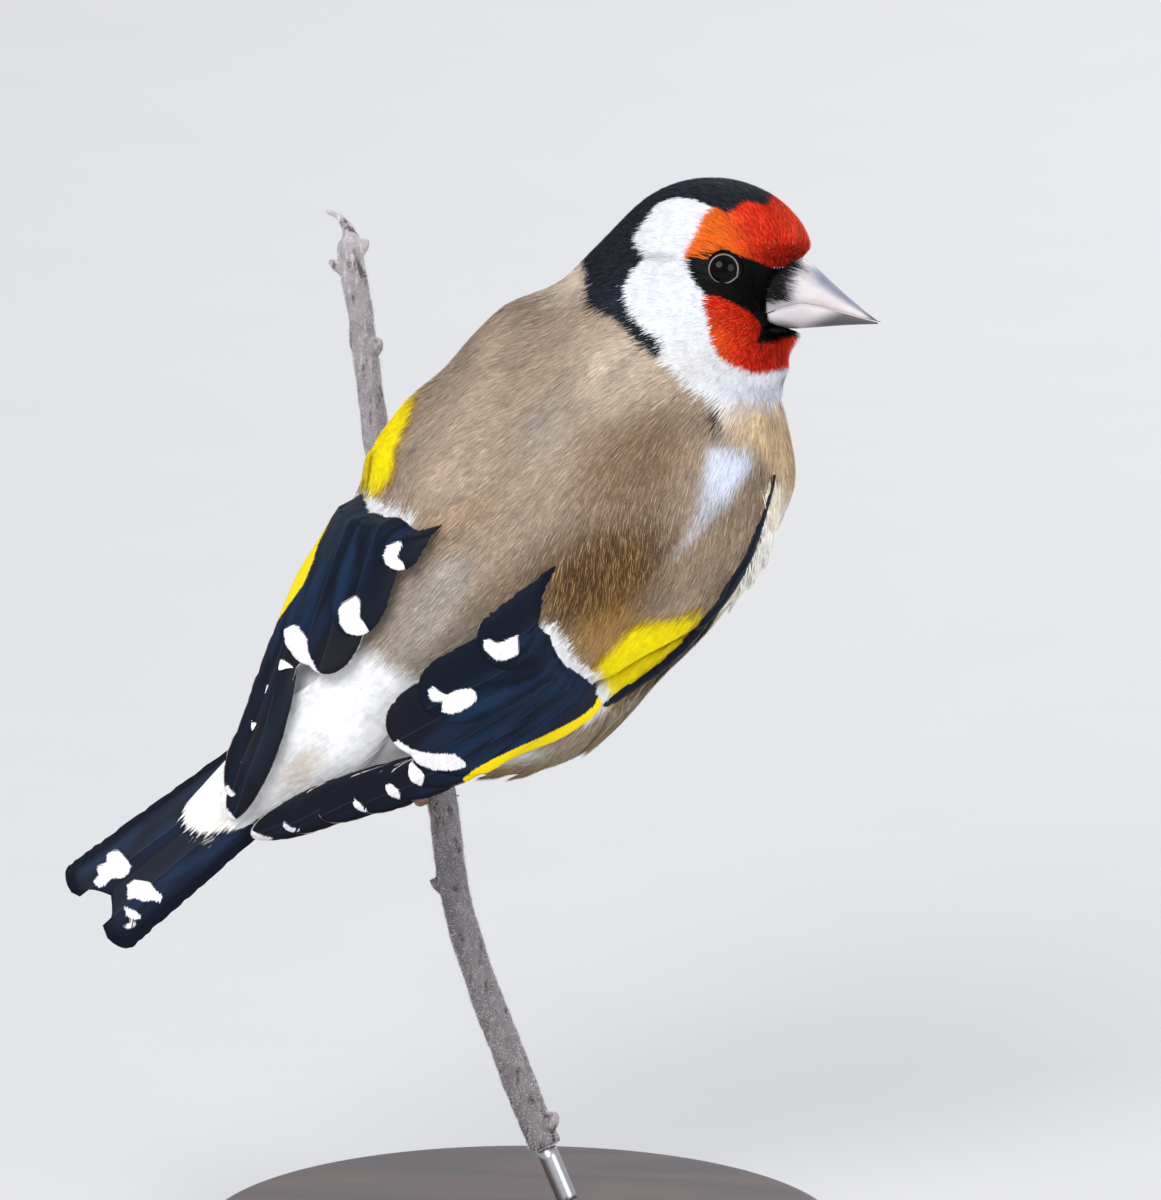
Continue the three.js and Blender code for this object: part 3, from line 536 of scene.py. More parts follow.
@dataclass(frozen=True)
class Blush:
    """A soft patch of colour over the back: centre, half sizes, turn in degrees, colour and strength."""

    at: tuple[float, float]
    half: tuple[float, float]
    turn: float
    colour: tuple[int, int, int]
    strength: float

    def share(self, x: Array, across: Array) -> Array:
        """How strongly the patch colours each point."""
        c, s = math.cos(math.radians(self.turn)), math.sin(math.radians(self.turn))
        u = (x - self.at[0]) * c + (across - self.at[1]) * s
        v = -(x - self.at[0]) * s + (across - self.at[1]) * c
        reach = np.sqrt((u / self.half[0]) ** 2 + (v / self.half[1]) ** 2)
        return self.strength * (1 - ramp(reach, 0.3, 1.15))


SCAPULARS = Blush((0, 9), (15, 9), 10, (84, 57, 28), 1.0)
BACK_BLUSHES = (
    Blush((20, -6), (9, 8), 0, (200, 184, 164), 0.8),
    Blush((24, -20), (6, 5), 0, (236, 220, 198), 1.0),  # pale side of the nape
    SCAPULARS,
    Blush((13, 2.5), (11, 7), 0, (128, 100, 74), 0.85),
    Blush((-5, 15), (7, 5), 0, (158, 116, 48), 0.7),  # golden brown above the yellow
    Blush((-2, -15), (13, 8), 0, (182, 162, 142), 0.7),  # left scapulars
    Blush((8, -8), (5, 3.4), -20, (170, 162, 150), 0.7),
    Blush((-15, -3), (6, 3.6), 0, (172, 172, 168), 0.7),
    Blush((-21, -1), (4.5, 3), 0, (184, 182, 176), 0.7),
    Blush((-13, 1.4), (9, 2.6), 0, (134, 114, 92), 0.7),
    Blush((-8, -8), (7, 3), 20, (158, 128, 98), 0.5),
)


class Plumage:
    """The colours of the bird's small feathers, by place."""

    def __init__(self, space: BirdSpace, shape: BirdShape) -> None:
        """Keeps the frames and the outline."""
        self.space = space
        self.shape = shape

    def head(self, places: Array) -> Array:
        """Colours of places on the head, given in the head's frame."""
        x, z = places[:, 0], places[:, 2]
        colour = np.tile(HEAD_WHITE, (len(places), 1))
        smudge = np.exp(-(((x + 5.6) / 2.6) ** 2 + ((z - 2.8) / 0.6) ** 2))
        colour = mix(colour, SMUDGE, 0.5 * smudge)
        cheek = np.exp(-(((x + 2) / 5) ** 2 + ((z + 10) / 2.6) ** 2))
        colour = mix(colour, CHEEK_GREY, 0.5 * cheek)
        colour[inside(CROWN_BLACK, x, z)] = BLACK
        lower = mix(RED, ORANGE, 0.5 * ramp(-z - 0.5 * x, 2.5, 6) * (1 - ramp(x, 1, 5)))
        # Painted highlight: the front of the chin's red turns salmon.
        lower = mix(lower, SALMON_HIGHLIGHT, 0.3 * ramp(x, 9, 12))
        low_red = inside(LOWER_RED, x, z)
        colour[low_red] = lower[low_red]
        upper = mix(RED, ORANGE, 0.95 * (1 - ramp(x + 0.35 * z, 3.5, 8.5)))
        # Painted highlight: the front of the forehead's red turns salmon.
        upper = mix(upper, SALMON_HIGHLIGHT, 0.5 * ramp(x, 9, 12.5) * ramp(z, 3, 6))
        upper = mix(upper, DARK_RED, 0.6 * (1 - ramp(z - 0.1 * x, 2, 4.4)) * ramp(x, 4, 8))
        up_red = inside(UPPER_RED, x, z)
        colour[up_red] = upper[up_red]
        colour[inside(LORES, x, z)] = LORE_BLACK
        return colour

    def body(self, points: Array, facing: Array) -> Array:
        """Colours of places behind the head.

        Args:
            points: places in the bird's frame.
            facing: how far each place's normal points out of the back.

        Returns:
            A colour for each place.
        """
        x = points[:, 0]
        across = self.space.across_back(points)
        angle = self.shape.ridge_angle(points)
        colour = np.tile(MANTLE, (len(points), 1))
        for blush in BACK_BLUSHES:
            colour = mix(colour, tone(*blush.colour), blush.share(x, across))
        colour = mix(colour, LOWER_BACK, 0.5 * ramp(-x, 10, 20) * (1 - ramp(np.abs(across), 6, 10)))
        colour = mix(colour, WHITE, ramp(-x + 0.25 * across, 24.4, 27.4))
        grey_rump = np.exp(-(((x + 43) / 3.4) ** 2 + ((across - 0.2) / 1.7) ** 2))
        colour = mix(colour, RUMP_BUFF, 0.7 * grey_rump)
        vent = np.exp(-(((x + 57.5) / 2) ** 2 + ((across + 2) / 2) ** 2))
        colour = mix(colour, VENT_BUFF, 0.6 * vent)
        brown = (across > 0) & (facing > -0.35)
        side_brown = np.where(brown, ramp(x, 4, 9) * ramp(across, 12, 14.5), 0)
        colour = mix(colour, BREAST_BROWN, side_brown * 0.9)
        colour = mix(colour, self.underside(points, angle), ramp(angle, 84, 96))
        line = np.interp(x, *np.array(WING_LINE).T)
        near = ramp(facing, -0.75, -0.3)
        below = ramp(across - line, 0, 0.4) * near
        edge = mix(FLANK, BREAST_CREAM, ramp(x, 1, 6))
        edge = mix(edge, BREAST_BUFF, 0.6 * ramp(x, 21, 25))
        colour = mix(colour, edge, below * (x < 27))
        throat = (across > 4.2) * near * ramp(x, 22.6, 24.4)
        colour = mix(colour, mix(BREAST_BUFF, WHITE, 0.6 * (1 - ramp(across, 5, 9))), throat)
        grey = np.where(brown, ramp(edge_gap(RIGHT_GREY, x, across), -0.9, 0.9), 0)
        pale = mix(GREY_WHITE, SIDE_WHITE, ramp(x, 14, 19.5))
        colour = mix(colour, pale, grey * (0.5 + 0.5 * ramp(x, 8, 15)))
        # Painted shade: the dark gap between the throat and the mantle.
        crease_shade = np.where(brown, ramp(edge_gap(THROAT_CREASE, x, across), -0.15, 0.3), 0)
        colour = mix(colour, CREASE_SHADE, crease_shade)
        return self.coverts(x, across, (angle < 96) & (across < line - 0.3), colour)

    def underside(self, points: Array, angle: Array) -> Array:
        """Colours of the flanks, belly and breast."""
        x = points[:, 0]
        flank = (1 - ramp(angle, 104, 134)) * (1 - ramp(x, 4, 12))
        colour = mix(OFF_WHITE, FLANK, flank)
        buff = np.exp(-(((x - 15) / 8.5) ** 2) - ((angle - 116) / 22) ** 2)
        colour = mix(colour, BREAST_BUFF, 0.85 * buff)
        colour = mix(colour, WHITE, ramp(x, 24, 30))
        return mix(colour, WHITE, ramp(-x, 26, 34))

    def coverts(self, x: Array, across: Array, over: Array, colour: Array) -> Array:
        """Adds the yellow bar and its white fringe on both wings, where over is true."""
        for yellow, fringe, fade in ((RIGHT_YELLOW, RIGHT_FRINGE, 1.2), (LEFT_YELLOW, LEFT_FRINGE, 0.9)):
            gap = edge_gap(yellow, x, across)
            warm = mix(GOLD_BROWN, YELLOW, ramp(gap, 0.0, fade))
            colour = mix(colour, warm, over * ramp(gap, -0.7, 0.2))
            colour = mix(colour, WHITE, over * ramp(edge_gap(fringe, x, across), -0.5, 0.4))
        return colour

    def colours(self, points: Array, normals: Array) -> Array:
        """Colours of places anywhere on the bird, in its frame."""
        places = self.space.to_head(points)
        colour = self.body(points, normals[:, 2])
        on_head = inside(HEAD_OUTLINE, places[:, 0], places[:, 2]) & (points[:, 0] > 14)
        colour[on_head] = self.head(places[on_head])
        return colour


# Making meshes


def mesh_object(name: str, points: Array, faces: list[Array], smooth: bool = True) -> bpy.types.Object:
    """Makes an object from points of the part's frame.

    Args:
        name: the object's name.
        points: millimetres in the part's frame.
        faces: arrays of corner numbers, each with one count of corners a face.
        smooth: shades its faces smooth.

    Returns:
        The new object, linked to the scene.
    """
    mesh = bpy.data.meshes.new(name)
    corners = np.concatenate([np.asarray(f).ravel() for f in faces]).astype(np.int32)
    sizes = np.concatenate([np.full(len(f), np.shape(f)[1]) for f in faces])
    starts = np.concatenate([[0], np.cumsum(sizes)[:-1]]).astype(np.int32)
    mesh.vertices.add(len(points))
    mesh.vertices.foreach_set("co", (np.asarray(points) * MM).astype(np.float32).ravel())
    mesh.loops.add(len(corners))
    mesh.loops.foreach_set("vertex_index", corners)
    mesh.polygons.add(len(starts))
    mesh.polygons.foreach_set("loop_start", starts)
    mesh.update(calc_edges=True)
    mesh.polygons.foreach_set("use_smooth", np.full(len(starts), smooth))
    made = bpy.data.objects.new(name, mesh)
    bpy.context.scene.collection.objects.link(made)
    return made


def add_tint(made: bpy.types.Object, colours: Array, name: str = "Tint") -> None:
    """Gives an object a colour for each point."""
    attribute = made.data.attributes.new(name, "FLOAT_COLOR", "POINT")
    values = np.ones((len(colours), 4), np.float32)
    values[:, :3] = colours
    attribute.data.foreach_set("color", values.ravel())


def add_vector(made: bpy.types.Object, name: str, values: Array) -> None:
    """Gives an object a vector for each point."""
    attribute = made.data.attributes.new(name, "FLOAT_VECTOR", "POINT")
    attribute.data.foreach_set("vector", values.astype(np.float32).ravel())


def add_bake_map(made: bpy.types.Object, places: Array) -> None:
    """Gives an object the UV map OFBake from a place for each of its points."""
    mesh = made.data
    layer = mesh.uv_layers.new(name="OFBake")
    corners = np.zeros(len(mesh.loops), np.int32)
    mesh.loops.foreach_get("vertex_index", corners)
    layer.data.foreach_set("uv", places[corners].astype(np.float32).ravel())


def dressed(
    made: bpy.types.Object, material: bpy.types.Material, slot: Slot, *nodes: str
) -> bpy.types.Object:
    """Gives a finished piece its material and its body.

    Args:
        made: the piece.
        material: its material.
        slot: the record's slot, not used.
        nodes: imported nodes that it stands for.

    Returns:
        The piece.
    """
    made.data.materials.clear()
    made.data.materials.append(material)
    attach(made, "root")
    if nodes:
        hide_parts(*nodes)
    return made


def read_points(mesh: bpy.types.Mesh) -> Array:
    """A mesh's points in millimetres."""
    values = np.zeros(len(mesh.vertices) * 3, np.float32)
    mesh.vertices.foreach_get("co", values)
    return values.reshape(-1, 3).astype(float) / MM


def write_points(mesh: bpy.types.Mesh, points: Array) -> None:
    """Moves a mesh's points, given in millimetres."""
    mesh.vertices.foreach_set("co", (points * MM).astype(np.float32).ravel())
    mesh.update()


def evaluated(made: bpy.types.Object) -> bpy.types.Mesh:
    """A plain mesh of an object with its modifiers applied."""
    graph = bpy.context.evaluated_depsgraph_get()
    return bpy.data.meshes.new_from_object(made.evaluated_get(graph))


def freeze(made: bpy.types.Object) -> None:
    """Applies an object's modifiers and removes them."""
    mesh = evaluated(made)
    made.modifiers.clear()
    made.data = mesh


def tri_net(mesh: bpy.types.Mesh) -> Array:
    """The corner numbers of a mesh's triangles."""
    mesh.calc_loop_triangles()
    net = np.zeros(len(mesh.loop_triangles) * 3, np.int32)
    mesh.loop_triangles.foreach_get("vertices", net)
    return net.reshape(-1, 3)


def ring_faces(rings: int, sides: int, first: int = 0) -> Array:
    """Four-sided faces between rings of points, turned outwards for rings that run anticlockwise."""
    i, j = np.meshgrid(np.arange(rings - 1), np.arange(sides), indexing="ij")
    a = first + i * sides + j
    b = first + i * sides + (j + 1) % sides
    return np.stack([a, b, b + sides, a + sides], axis=-1).reshape(-1, 4)


def end_caps(rings: int, sides: int) -> Array:
    """Triangles that close both ends of rings of points.

    Args:
        rings: how many rings there are.
        sides: points in a ring.

    Returns:
        The triangles, which meet in two points that follow the last ring.
    """
    j = np.arange(sides)
    start, last, after = rings * sides, (rings - 1) * sides, (j + 1) % sides
    return np.concatenate([
        np.stack([np.full(sides, start), after, j], axis=-1),
        np.stack([np.full(sides, start + 1), last + j, last + after], axis=-1),
    ])


@dataclass
class MeshParts:
    """Gathers points and faces of many small shapes into one mesh."""

    points: list[Array] = field(default_factory=list)
    quads: list[Array] = field(default_factory=list)
    triangles: list[Array] = field(default_factory=list)
    count: int = 0

    def add(self, points: Array, quads: Array | None = None, triangles: Array | None = None) -> None:
        """Adds a shape with its own corner numbers from 0."""
        self.points.append(points)
        if quads is not None and len(quads):
            self.quads.append(np.asarray(quads) + self.count)
        if triangles is not None and len(triangles):
            self.triangles.append(np.asarray(triangles) + self.count)
        self.count += len(points)

    def add_tube(self, path: Array, radii: Array, sides: int, squash: float = 1.0) -> None:
        """Adds a closed round bar along a path.

        Args:
            path: its middle line.
            radii: a radius for each point, or for each point and side.
            sides: corners of a ring.
            squash: the ring's height as a share of its width.
        """
        path = np.asarray(path, float)
        tangent = unit(np.gradient(path, axis=0))
        first = np.array([1.0, 0, 0]) if abs(tangent[0, 0]) < 0.8 else np.array([0, 1.0, 0])
        radii = np.asarray(radii, float)
        radii = np.repeat(radii[:, None], sides, axis=1) if radii.ndim == 1 else radii
        turn = np.arange(sides) / sides * 2 * math.pi
        rings = []
        for point, along, radius in zip(path, tangent, radii):
            first = unit(first - along * (first @ along))
            other = np.cross(along, first)
            ring = first * np.cos(turn)[:, None] + other * np.sin(turn)[:, None] * squash
            rings.append(point + ring * radius[:, None])
        points = np.concatenate(rings + [path[:1], path[-1:]])
        self.add(points, ring_faces(len(path), sides), end_caps(len(path), sides))

    def build(self, name: str, smooth: bool = True) -> bpy.types.Object:
        """The gathered shapes as one object."""
        faces = [np.concatenate(group) for group in (self.quads, self.triangles) if group]
        return mesh_object(name, np.concatenate(self.points), faces, smooth)


# Materials


class Wiring:
    """Short ways to add and join nodes in a node tree."""

    def __init__(self, tree: bpy.types.NodeTree) -> None:
        """Keeps the tree."""
        self.tree = tree

    def add(self, kind: str, **settings: object) -> bpy.types.Node:
        """A new node with some of its properties set."""
        node = self.tree.nodes.new(kind)
        for key, value in settings.items():
            setattr(node, key, value)
        return node

    def feed(self, socket: bpy.types.NodeSocket, value: object) -> None:
        """Joins a socket to an output, or sets its value."""
        if isinstance(value, bpy.types.NodeSocket):
            self.tree.links.new(value, socket)
        elif value is not None:
            socket.default_value = value

    def math(self, operation: str, *values: object) -> bpy.types.NodeSocket:
        """A sum of one to three values."""
        node = self.add("ShaderNodeMath", operation=operation)
        for socket, value in zip(node.inputs, values):
            self.feed(socket, value)
        return node.outputs[0]

    def smooth(self, value: object, start: float, end: float) -> bpy.types.NodeSocket:
        """A smooth step of a value."""
        node = self.add("ShaderNodeMapRange", interpolation_type="SMOOTHSTEP")
        for name, given in (("Value", value), ("From Min", start), ("From Max", end)):
            self.feed(node.inputs[name], given)
        return node.outputs["Result"]

    def blend(self, share: object, a: object, b: object, mode: str = "MIX") -> bpy.types.NodeSocket:
        """A blend of two colours."""
        node = self.add("ShaderNodeMix", data_type="RGBA", blend_type=mode)
        self.feed(node.inputs[0], share)
        self.feed(node.inputs[6], a)
        self.feed(node.inputs[7], b)
        return node.outputs[2]

    def noise(
        self, vector: object, scale: float, detail: float = 3.0, rough: float = 0.5
    ) -> bpy.types.NodeSocket:
        """Noise of 0 to 1 on a vector."""
        node = self.add("ShaderNodeTexNoise")
        self.feed(node.inputs["Vector"], vector)
        self.feed(node.inputs["Scale"], scale)
        self.feed(node.inputs["Detail"], detail)
        self.feed(node.inputs["Roughness"], rough)
        return node.outputs["Fac"]

    def stretch(self, vector: object, scale: tuple[float, float, float]) -> bpy.types.NodeSocket:
        """A vector scaled along its axes."""
        node = self.add("ShaderNodeMapping")
        self.feed(node.inputs["Vector"], vector)
        node.inputs["Scale"].default_value = scale
        return node.outputs["Vector"]

    def place(self) -> bpy.types.NodeSocket:
        """Object coordinates, in metres."""
        return self.add("ShaderNodeTexCoord").outputs["Object"]

    def attribute(self, name: str) -> bpy.types.Node:
        """The node that reads an attribute of the mesh."""
        return self.add("ShaderNodeAttribute", attribute_name=name)

    def mottled(
        self, noise: object, span: tuple[float, float], low: tuple, high: tuple
    ) -> bpy.types.NodeSocket:
        """The mesh's own tint, broken up by noise through the shared group.

        Args:
            noise: values of 0 to 1.
            span: the noise at which the tint is lowest and highest.
            low, high: what the tint is multiplied by there.

        Returns:
            The colour.
        """
        node = self.add("ShaderNodeGroup", node_tree=mottle_group())
        given = (self.attribute("Tint").outputs["Color"], noise, *span, (*low, 1.0), (*high, 1.0))
        for socket, value in zip(node.inputs, given):
            self.feed(socket, value)
        return node.outputs["Color"]


def mottle_group() -> bpy.types.NodeTree:
    """The node group that breaks up a tint by noise, built once for all finishes."""
    name = "mottled_tint"
    tree = bpy.data.node_groups.get(name)
    if tree:
        return tree
    tree = bpy.data.node_groups.new(name, "ShaderNodeTree")
    kinds = {
        "Tint": "Color", "Noise": "Float", "From": "Float", "To": "Float", "Low": "Color", "High": "Color",
    }
    for socket, kind in kinds.items():
        tree.interface.new_socket(socket, in_out="INPUT", socket_type=f"NodeSocket{kind}")
    tree.interface.new_socket("Color", in_out="OUTPUT", socket_type="NodeSocketColor")
    wiring = Wiring(tree)
    given = wiring.add("NodeGroupInput").outputs
    result = wiring.add("NodeGroupOutput")
    share = wiring.smooth(given["Noise"], given["From"], given["To"])
    grain = wiring.blend(share, given["Low"], given["High"])
    wiring.feed(result.inputs["Color"], wiring.blend(1.0, given["Tint"], grain, "MULTIPLY"))
    return tree


def rgba(colour: Array) -> tuple[float, float, float, float]:
    """A colour with full alpha, for a socket."""
    return (*(float(v) for v in colour), 1.0)


def principled(name: str) -> tuple[bpy.types.Material, Wiring, bpy.types.Node]:
    """A new material with its shader, and the wiring of its tree."""
    material = bpy.data.materials.new(name)
    material.use_nodes = True
    wiring = Wiring(material.node_tree)
    shader = material.node_tree.nodes["Principled BSDF"]
    return material, wiring, shader


def bump(wiring: Wiring, shader: bpy.types.Node, height: object, strength: float, depth_mm: float) -> None:
    """Adds a bump to a shader."""
    node = wiring.add("ShaderNodeBump")
    node.inputs["Strength"].default_value = strength
    node.inputs["Distance"].default_value = depth_mm * MM
    wiring.feed(node.inputs["Height"], height)
    wiring.feed(shader.inputs["Normal"], node.outputs["Normal"])


@dataclass(frozen=True)
class CoatFinish:
    """Soft body feathers, coloured by the mesh's own tint."""

    name: str = "soft_feathers"
    shade: float = 1.0
    roughness: float = 0.66
    fine_noise: float = 900.0

    def build(self) -> bpy.types.Material:
        """Makes the material."""
        material, wiring, shader = principled(self.name)
        noise = wiring.noise(wiring.place(), self.fine_noise, 2.0)
        low, high = ((self.shade * value,) * 3 for value in (0.92, 1.08))
        wiring.feed(shader.inputs["Base Color"], wiring.mottled(noise, (0.25, 0.75), low, high))
        wiring.feed(shader.inputs["Roughness"], wiring.math("MULTIPLY_ADD", noise, 0.2, self.roughness - 0.1))
        shader.inputs["Specular IOR Level"].default_value = 0.22
        bump(wiring, shader, noise, 0.2, 0.06)
        return material


@dataclass(frozen=True)
class VaneFinish:
    """Flight feathers: dark vanes with fine barbs and a painted sheen, white tips, a yellow outer edge and a
    pale rim.

    The mesh carries Vane, with the distance from the tip, the distance across and the distance from the
    edge, and Marks, with the depth inside a white spot, the depth inside the yellow edge and a number
    that is above 1 on feathers with a pale rim.
    """

    name: str = "flight_vanes"
    dark: tuple[int, int, int] = (4, 9, 20)
    sheen: tuple[int, int, int] = (20, 42, 70)
    rim: tuple[int, int, int] = (196, 184, 178)
    worn: tuple[int, int, int] = (20, 17, 24)
    shaft: tuple[int, int, int] = (58, 56, 62)
    gold: tuple[int, int, int] = (252, 222, 10)
    pale: tuple[int, int, int] = (226, 223, 226)
    palest: tuple[int, int, int] = (240, 240, 244)

    def group(self) -> bpy.types.NodeTree:
        """The node group that turns the mesh's attributes into colour, height and roughness."""
        tree = bpy.data.node_groups.new("vane_markings", "ShaderNodeTree")
        for name, kind in (("Vane", "NodeSocketVector"), ("Marks", "NodeSocketVector")):
            tree.interface.new_socket(name, in_out="INPUT", socket_type=kind)
        for name, kind in (("Color", "Color"), ("Height", "Float"), ("Roughness", "Float")):
            tree.interface.new_socket(name, in_out="OUTPUT", socket_type=f"NodeSocket{kind}")
        wiring = Wiring(tree)
        given = wiring.add("NodeGroupInput")
        result = wiring.add("NodeGroupOutput")
        vane = wiring.add("ShaderNodeSeparateXYZ")
        marks = wiring.add("ShaderNodeSeparateXYZ")
        wiring.feed(vane.inputs[0], given.outputs["Vane"])
        wiring.feed(marks.inputs[0], given.outputs["Marks"])
        along, across, edge = vane.outputs
        spot, gold, number = marks.outputs
        aside = wiring.math("ABSOLUTE", across)
        barb = wiring.math("MULTIPLY_ADD", aside, 0.85, along)
        barb_place = wiring.add("ShaderNodeCombineXYZ")
        wiring.feed(barb_place.inputs[0], wiring.math("MULTIPLY", barb, 7.0))
        wiring.feed(barb_place.inputs[1], wiring.math("MULTIPLY", across, 0.3))
        wiring.feed(barb_place.inputs[2], wiring.math("MULTIPLY", number, 37.0))
        fine = wiring.noise(barb_place.outputs[0], 1.0, 2.0, 0.6)
        coarse = wiring.noise(barb_place.outputs[0], 0.22, 2.0, 0.5)
        length_place = wiring.add("ShaderNodeCombineXYZ")
        wiring.feed(length_place.inputs[0], wiring.math("MULTIPLY", along, 0.12))
        wiring.feed(length_place.inputs[1], wiring.math("MULTIPLY", across, 0.5))
        wiring.feed(length_place.inputs[2], wiring.math("MULTIPLY", number, 19.0))
        lengthwise = wiring.noise(length_place.outputs[0], 1.0, 2.0, 0.5)
        comb = wiring.math("MULTIPLY_ADD", fine, 1.5, -0.75)
        # Painted sheen: lighter and bluer over the outer web, away from the feather's edges.
        sheen_share = wiring.math("MULTIPLY", wiring.smooth(across, -1.8, 2.4), wiring.smooth(edge, 0.0, 1.6))
        sheen_share = wiring.math("MULTIPLY_ADD", sheen_share, wiring.smooth(lengthwise, 0.3, 0.7), 0.12)
        base = wiring.blend(sheen_share, rgba(tone(*self.dark)), rgba(tone(*self.sheen)))
        flag = wiring.smooth(number, 0.95, 1.0)
        brown = wiring.math("MULTIPLY", wiring.smooth(along, 14.0, 1.0), wiring.math("MULTIPLY", flag, 0.6))
        base = wiring.blend(brown, base, rgba(tone(*self.worn)))
        streak = wiring.blend(fine, (0.84, 0.84, 0.84, 1), (1.16, 1.16, 1.16, 1))
        base = wiring.blend(1.0, base, streak, "MULTIPLY")
        rim = wiring.math("MULTIPLY", wiring.smooth(edge, 0.2, 0.07), wiring.smooth(coarse, 0.25, 0.55))
        flagged = wiring.math("MULTIPLY", flag, wiring.smooth(along, 11.0, 5.0))
        base = wiring.blend(wiring.math("MULTIPLY", rim, flagged), base, rgba(tone(*self.rim)))
        shaft = wiring.smooth(aside, 0.12, 0.05)
        base = wiring.blend(wiring.math("MULTIPLY", shaft, 0.3), base, rgba(tone(*self.shaft)))
        golden = wiring.smooth(wiring.math("MULTIPLY_ADD", comb, 0.3, gold), -0.05, 0.12)
        base = wiring.blend(golden, base, rgba(tone(*self.gold)))
        white = wiring.smooth(wiring.math("MULTIPLY_ADD", comb, 0.55, spot), -0.06, 0.1)
        uneven = wiring.smooth(coarse, 0.35, 0.65)
        pale = wiring.blend(uneven, rgba(tone(*self.pale)), rgba(tone(*self.palest)))
        wiring.feed(result.inputs["Color"], wiring.blend(white, base, pale))
        height = wiring.math("MULTIPLY_ADD", fine, 0.6, wiring.math("MULTIPLY", coarse, 0.4))
        wiring.feed(result.inputs["Height"], height)
        wiring.feed(result.inputs["Roughness"], wiring.math("MULTIPLY_ADD", white, 0.15, 0.5))
        return tree

    def build(self) -> bpy.types.Material:
        """Makes the material."""
        material, wiring, shader = principled(self.name)
        markings = wiring.add("ShaderNodeGroup", node_tree=self.group())
        wiring.feed(markings.inputs["Vane"], wiring.attribute("Vane").outputs["Vector"])
        wiring.feed(markings.inputs["Marks"], wiring.attribute("Marks").outputs["Vector"])
        wiring.feed(shader.inputs["Base Color"], markings.outputs["Color"])
        wiring.feed(shader.inputs["Roughness"], markings.outputs["Roughness"])
        shader.inputs["Specular IOR Level"].default_value = 0.12
        bump(wiring, shader, markings.outputs["Height"], 0.35, 0.05)
        return material


@dataclass(frozen=True)
class HornFinish:
    """Bill, claws and lids: satin horn, coloured by the mesh's own tint."""

    name: str = "horn"
    roughness: float = 0.36
    coat: float = 0.25
    grain: float = 700.0

    def build(self) -> bpy.types.Material:
        """Makes the material."""
        material, wiring, shader = principled(self.name)
        place = wiring.stretch(wiring.place(), (0.35, 1.0, 1.0))
        noise = wiring.noise(place, self.grain, 4.0, 0.55)
        base = wiring.mottled(noise, (0.3, 0.7), (0.9, 0.88, 0.88), (1.04, 1.03, 1.02))
        wiring.feed(shader.inputs["Base Color"], base)
        rough = wiring.math("MULTIPLY_ADD", noise, 0.25, self.roughness - 0.12)
        wiring.feed(shader.inputs["Roughness"], rough)
        shader.inputs["Coat Weight"].default_value = self.coat
        shader.inputs["Coat Roughness"].default_value = 0.25
        shader.inputs["Subsurface Weight"].default_value = 0.08
        shader.inputs["Subsurface Radius"].default_value = (0.0006, 0.0003, 0.0002)
        bump(wiring, shader, noise, 0.2, 0.05)
        return material


@dataclass(frozen=True)
class EyeFinish:
    """The eyeball: a black pupil in a dark brown iris, under a wet clear coat."""

    name: str = "eye_gloss"

    def build(self) -> bpy.types.Material:
        """Makes the material."""
        material, wiring, shader = principled(self.name)
        tint = wiring.attribute("Tint").outputs["Color"]
        noise = wiring.noise(wiring.place(), 2500.0, 2.0)
        fibres = wiring.blend(noise, (0.7, 0.7, 0.7, 1), (1.3, 1.3, 1.3, 1))
        wiring.feed(shader.inputs["Base Color"], wiring.blend(1.0, tint, fibres, "MULTIPLY"))
        wiring.feed(shader.inputs["Roughness"], wiring.math("MULTIPLY_ADD", noise, 0.04, 0.04))
        shader.inputs["Specular IOR Level"].default_value = 0.0
        shader.inputs["Coat Weight"].default_value = 0.32
        shader.inputs["Coat IOR"].default_value = 1.38
        shader.inputs["Coat Roughness"].default_value = 0.02
        return material


@dataclass(frozen=True)
class LegFinish:
    """Flesh-brown scaled skin, coloured by the mesh's own tint."""

    name: str = "leg_scales"

    def build(self) -> bpy.types.Material:
        """Makes the material."""
        material, wiring, shader = principled(self.name)
        place = wiring.place()
        noise = wiring.noise(place, 1400.0, 3.0)
        cells = wiring.add("ShaderNodeTexVoronoi", feature="DISTANCE_TO_EDGE")
        wiring.feed(cells.inputs["Vector"], place)
        wiring.feed(cells.inputs["Scale"], 2600.0)
        scale = wiring.smooth(cells.outputs["Distance"], 0.0, 0.12)
        base = wiring.mottled(noise, (0.3, 0.7), (0.78, 0.76, 0.75), (1.12, 1.08, 1.05))
        groove = wiring.blend(0.35, base, (0.05, 0.03, 0.02, 1))
        wiring.feed(shader.inputs["Base Color"], wiring.blend(scale, groove, base))
        wiring.feed(shader.inputs["Roughness"], wiring.math("MULTIPLY_ADD", noise, 0.25, 0.38))
        bump(wiring, shader, wiring.math("MULTIPLY_ADD", noise, 0.4, scale), 0.45, 0.05)
        return material


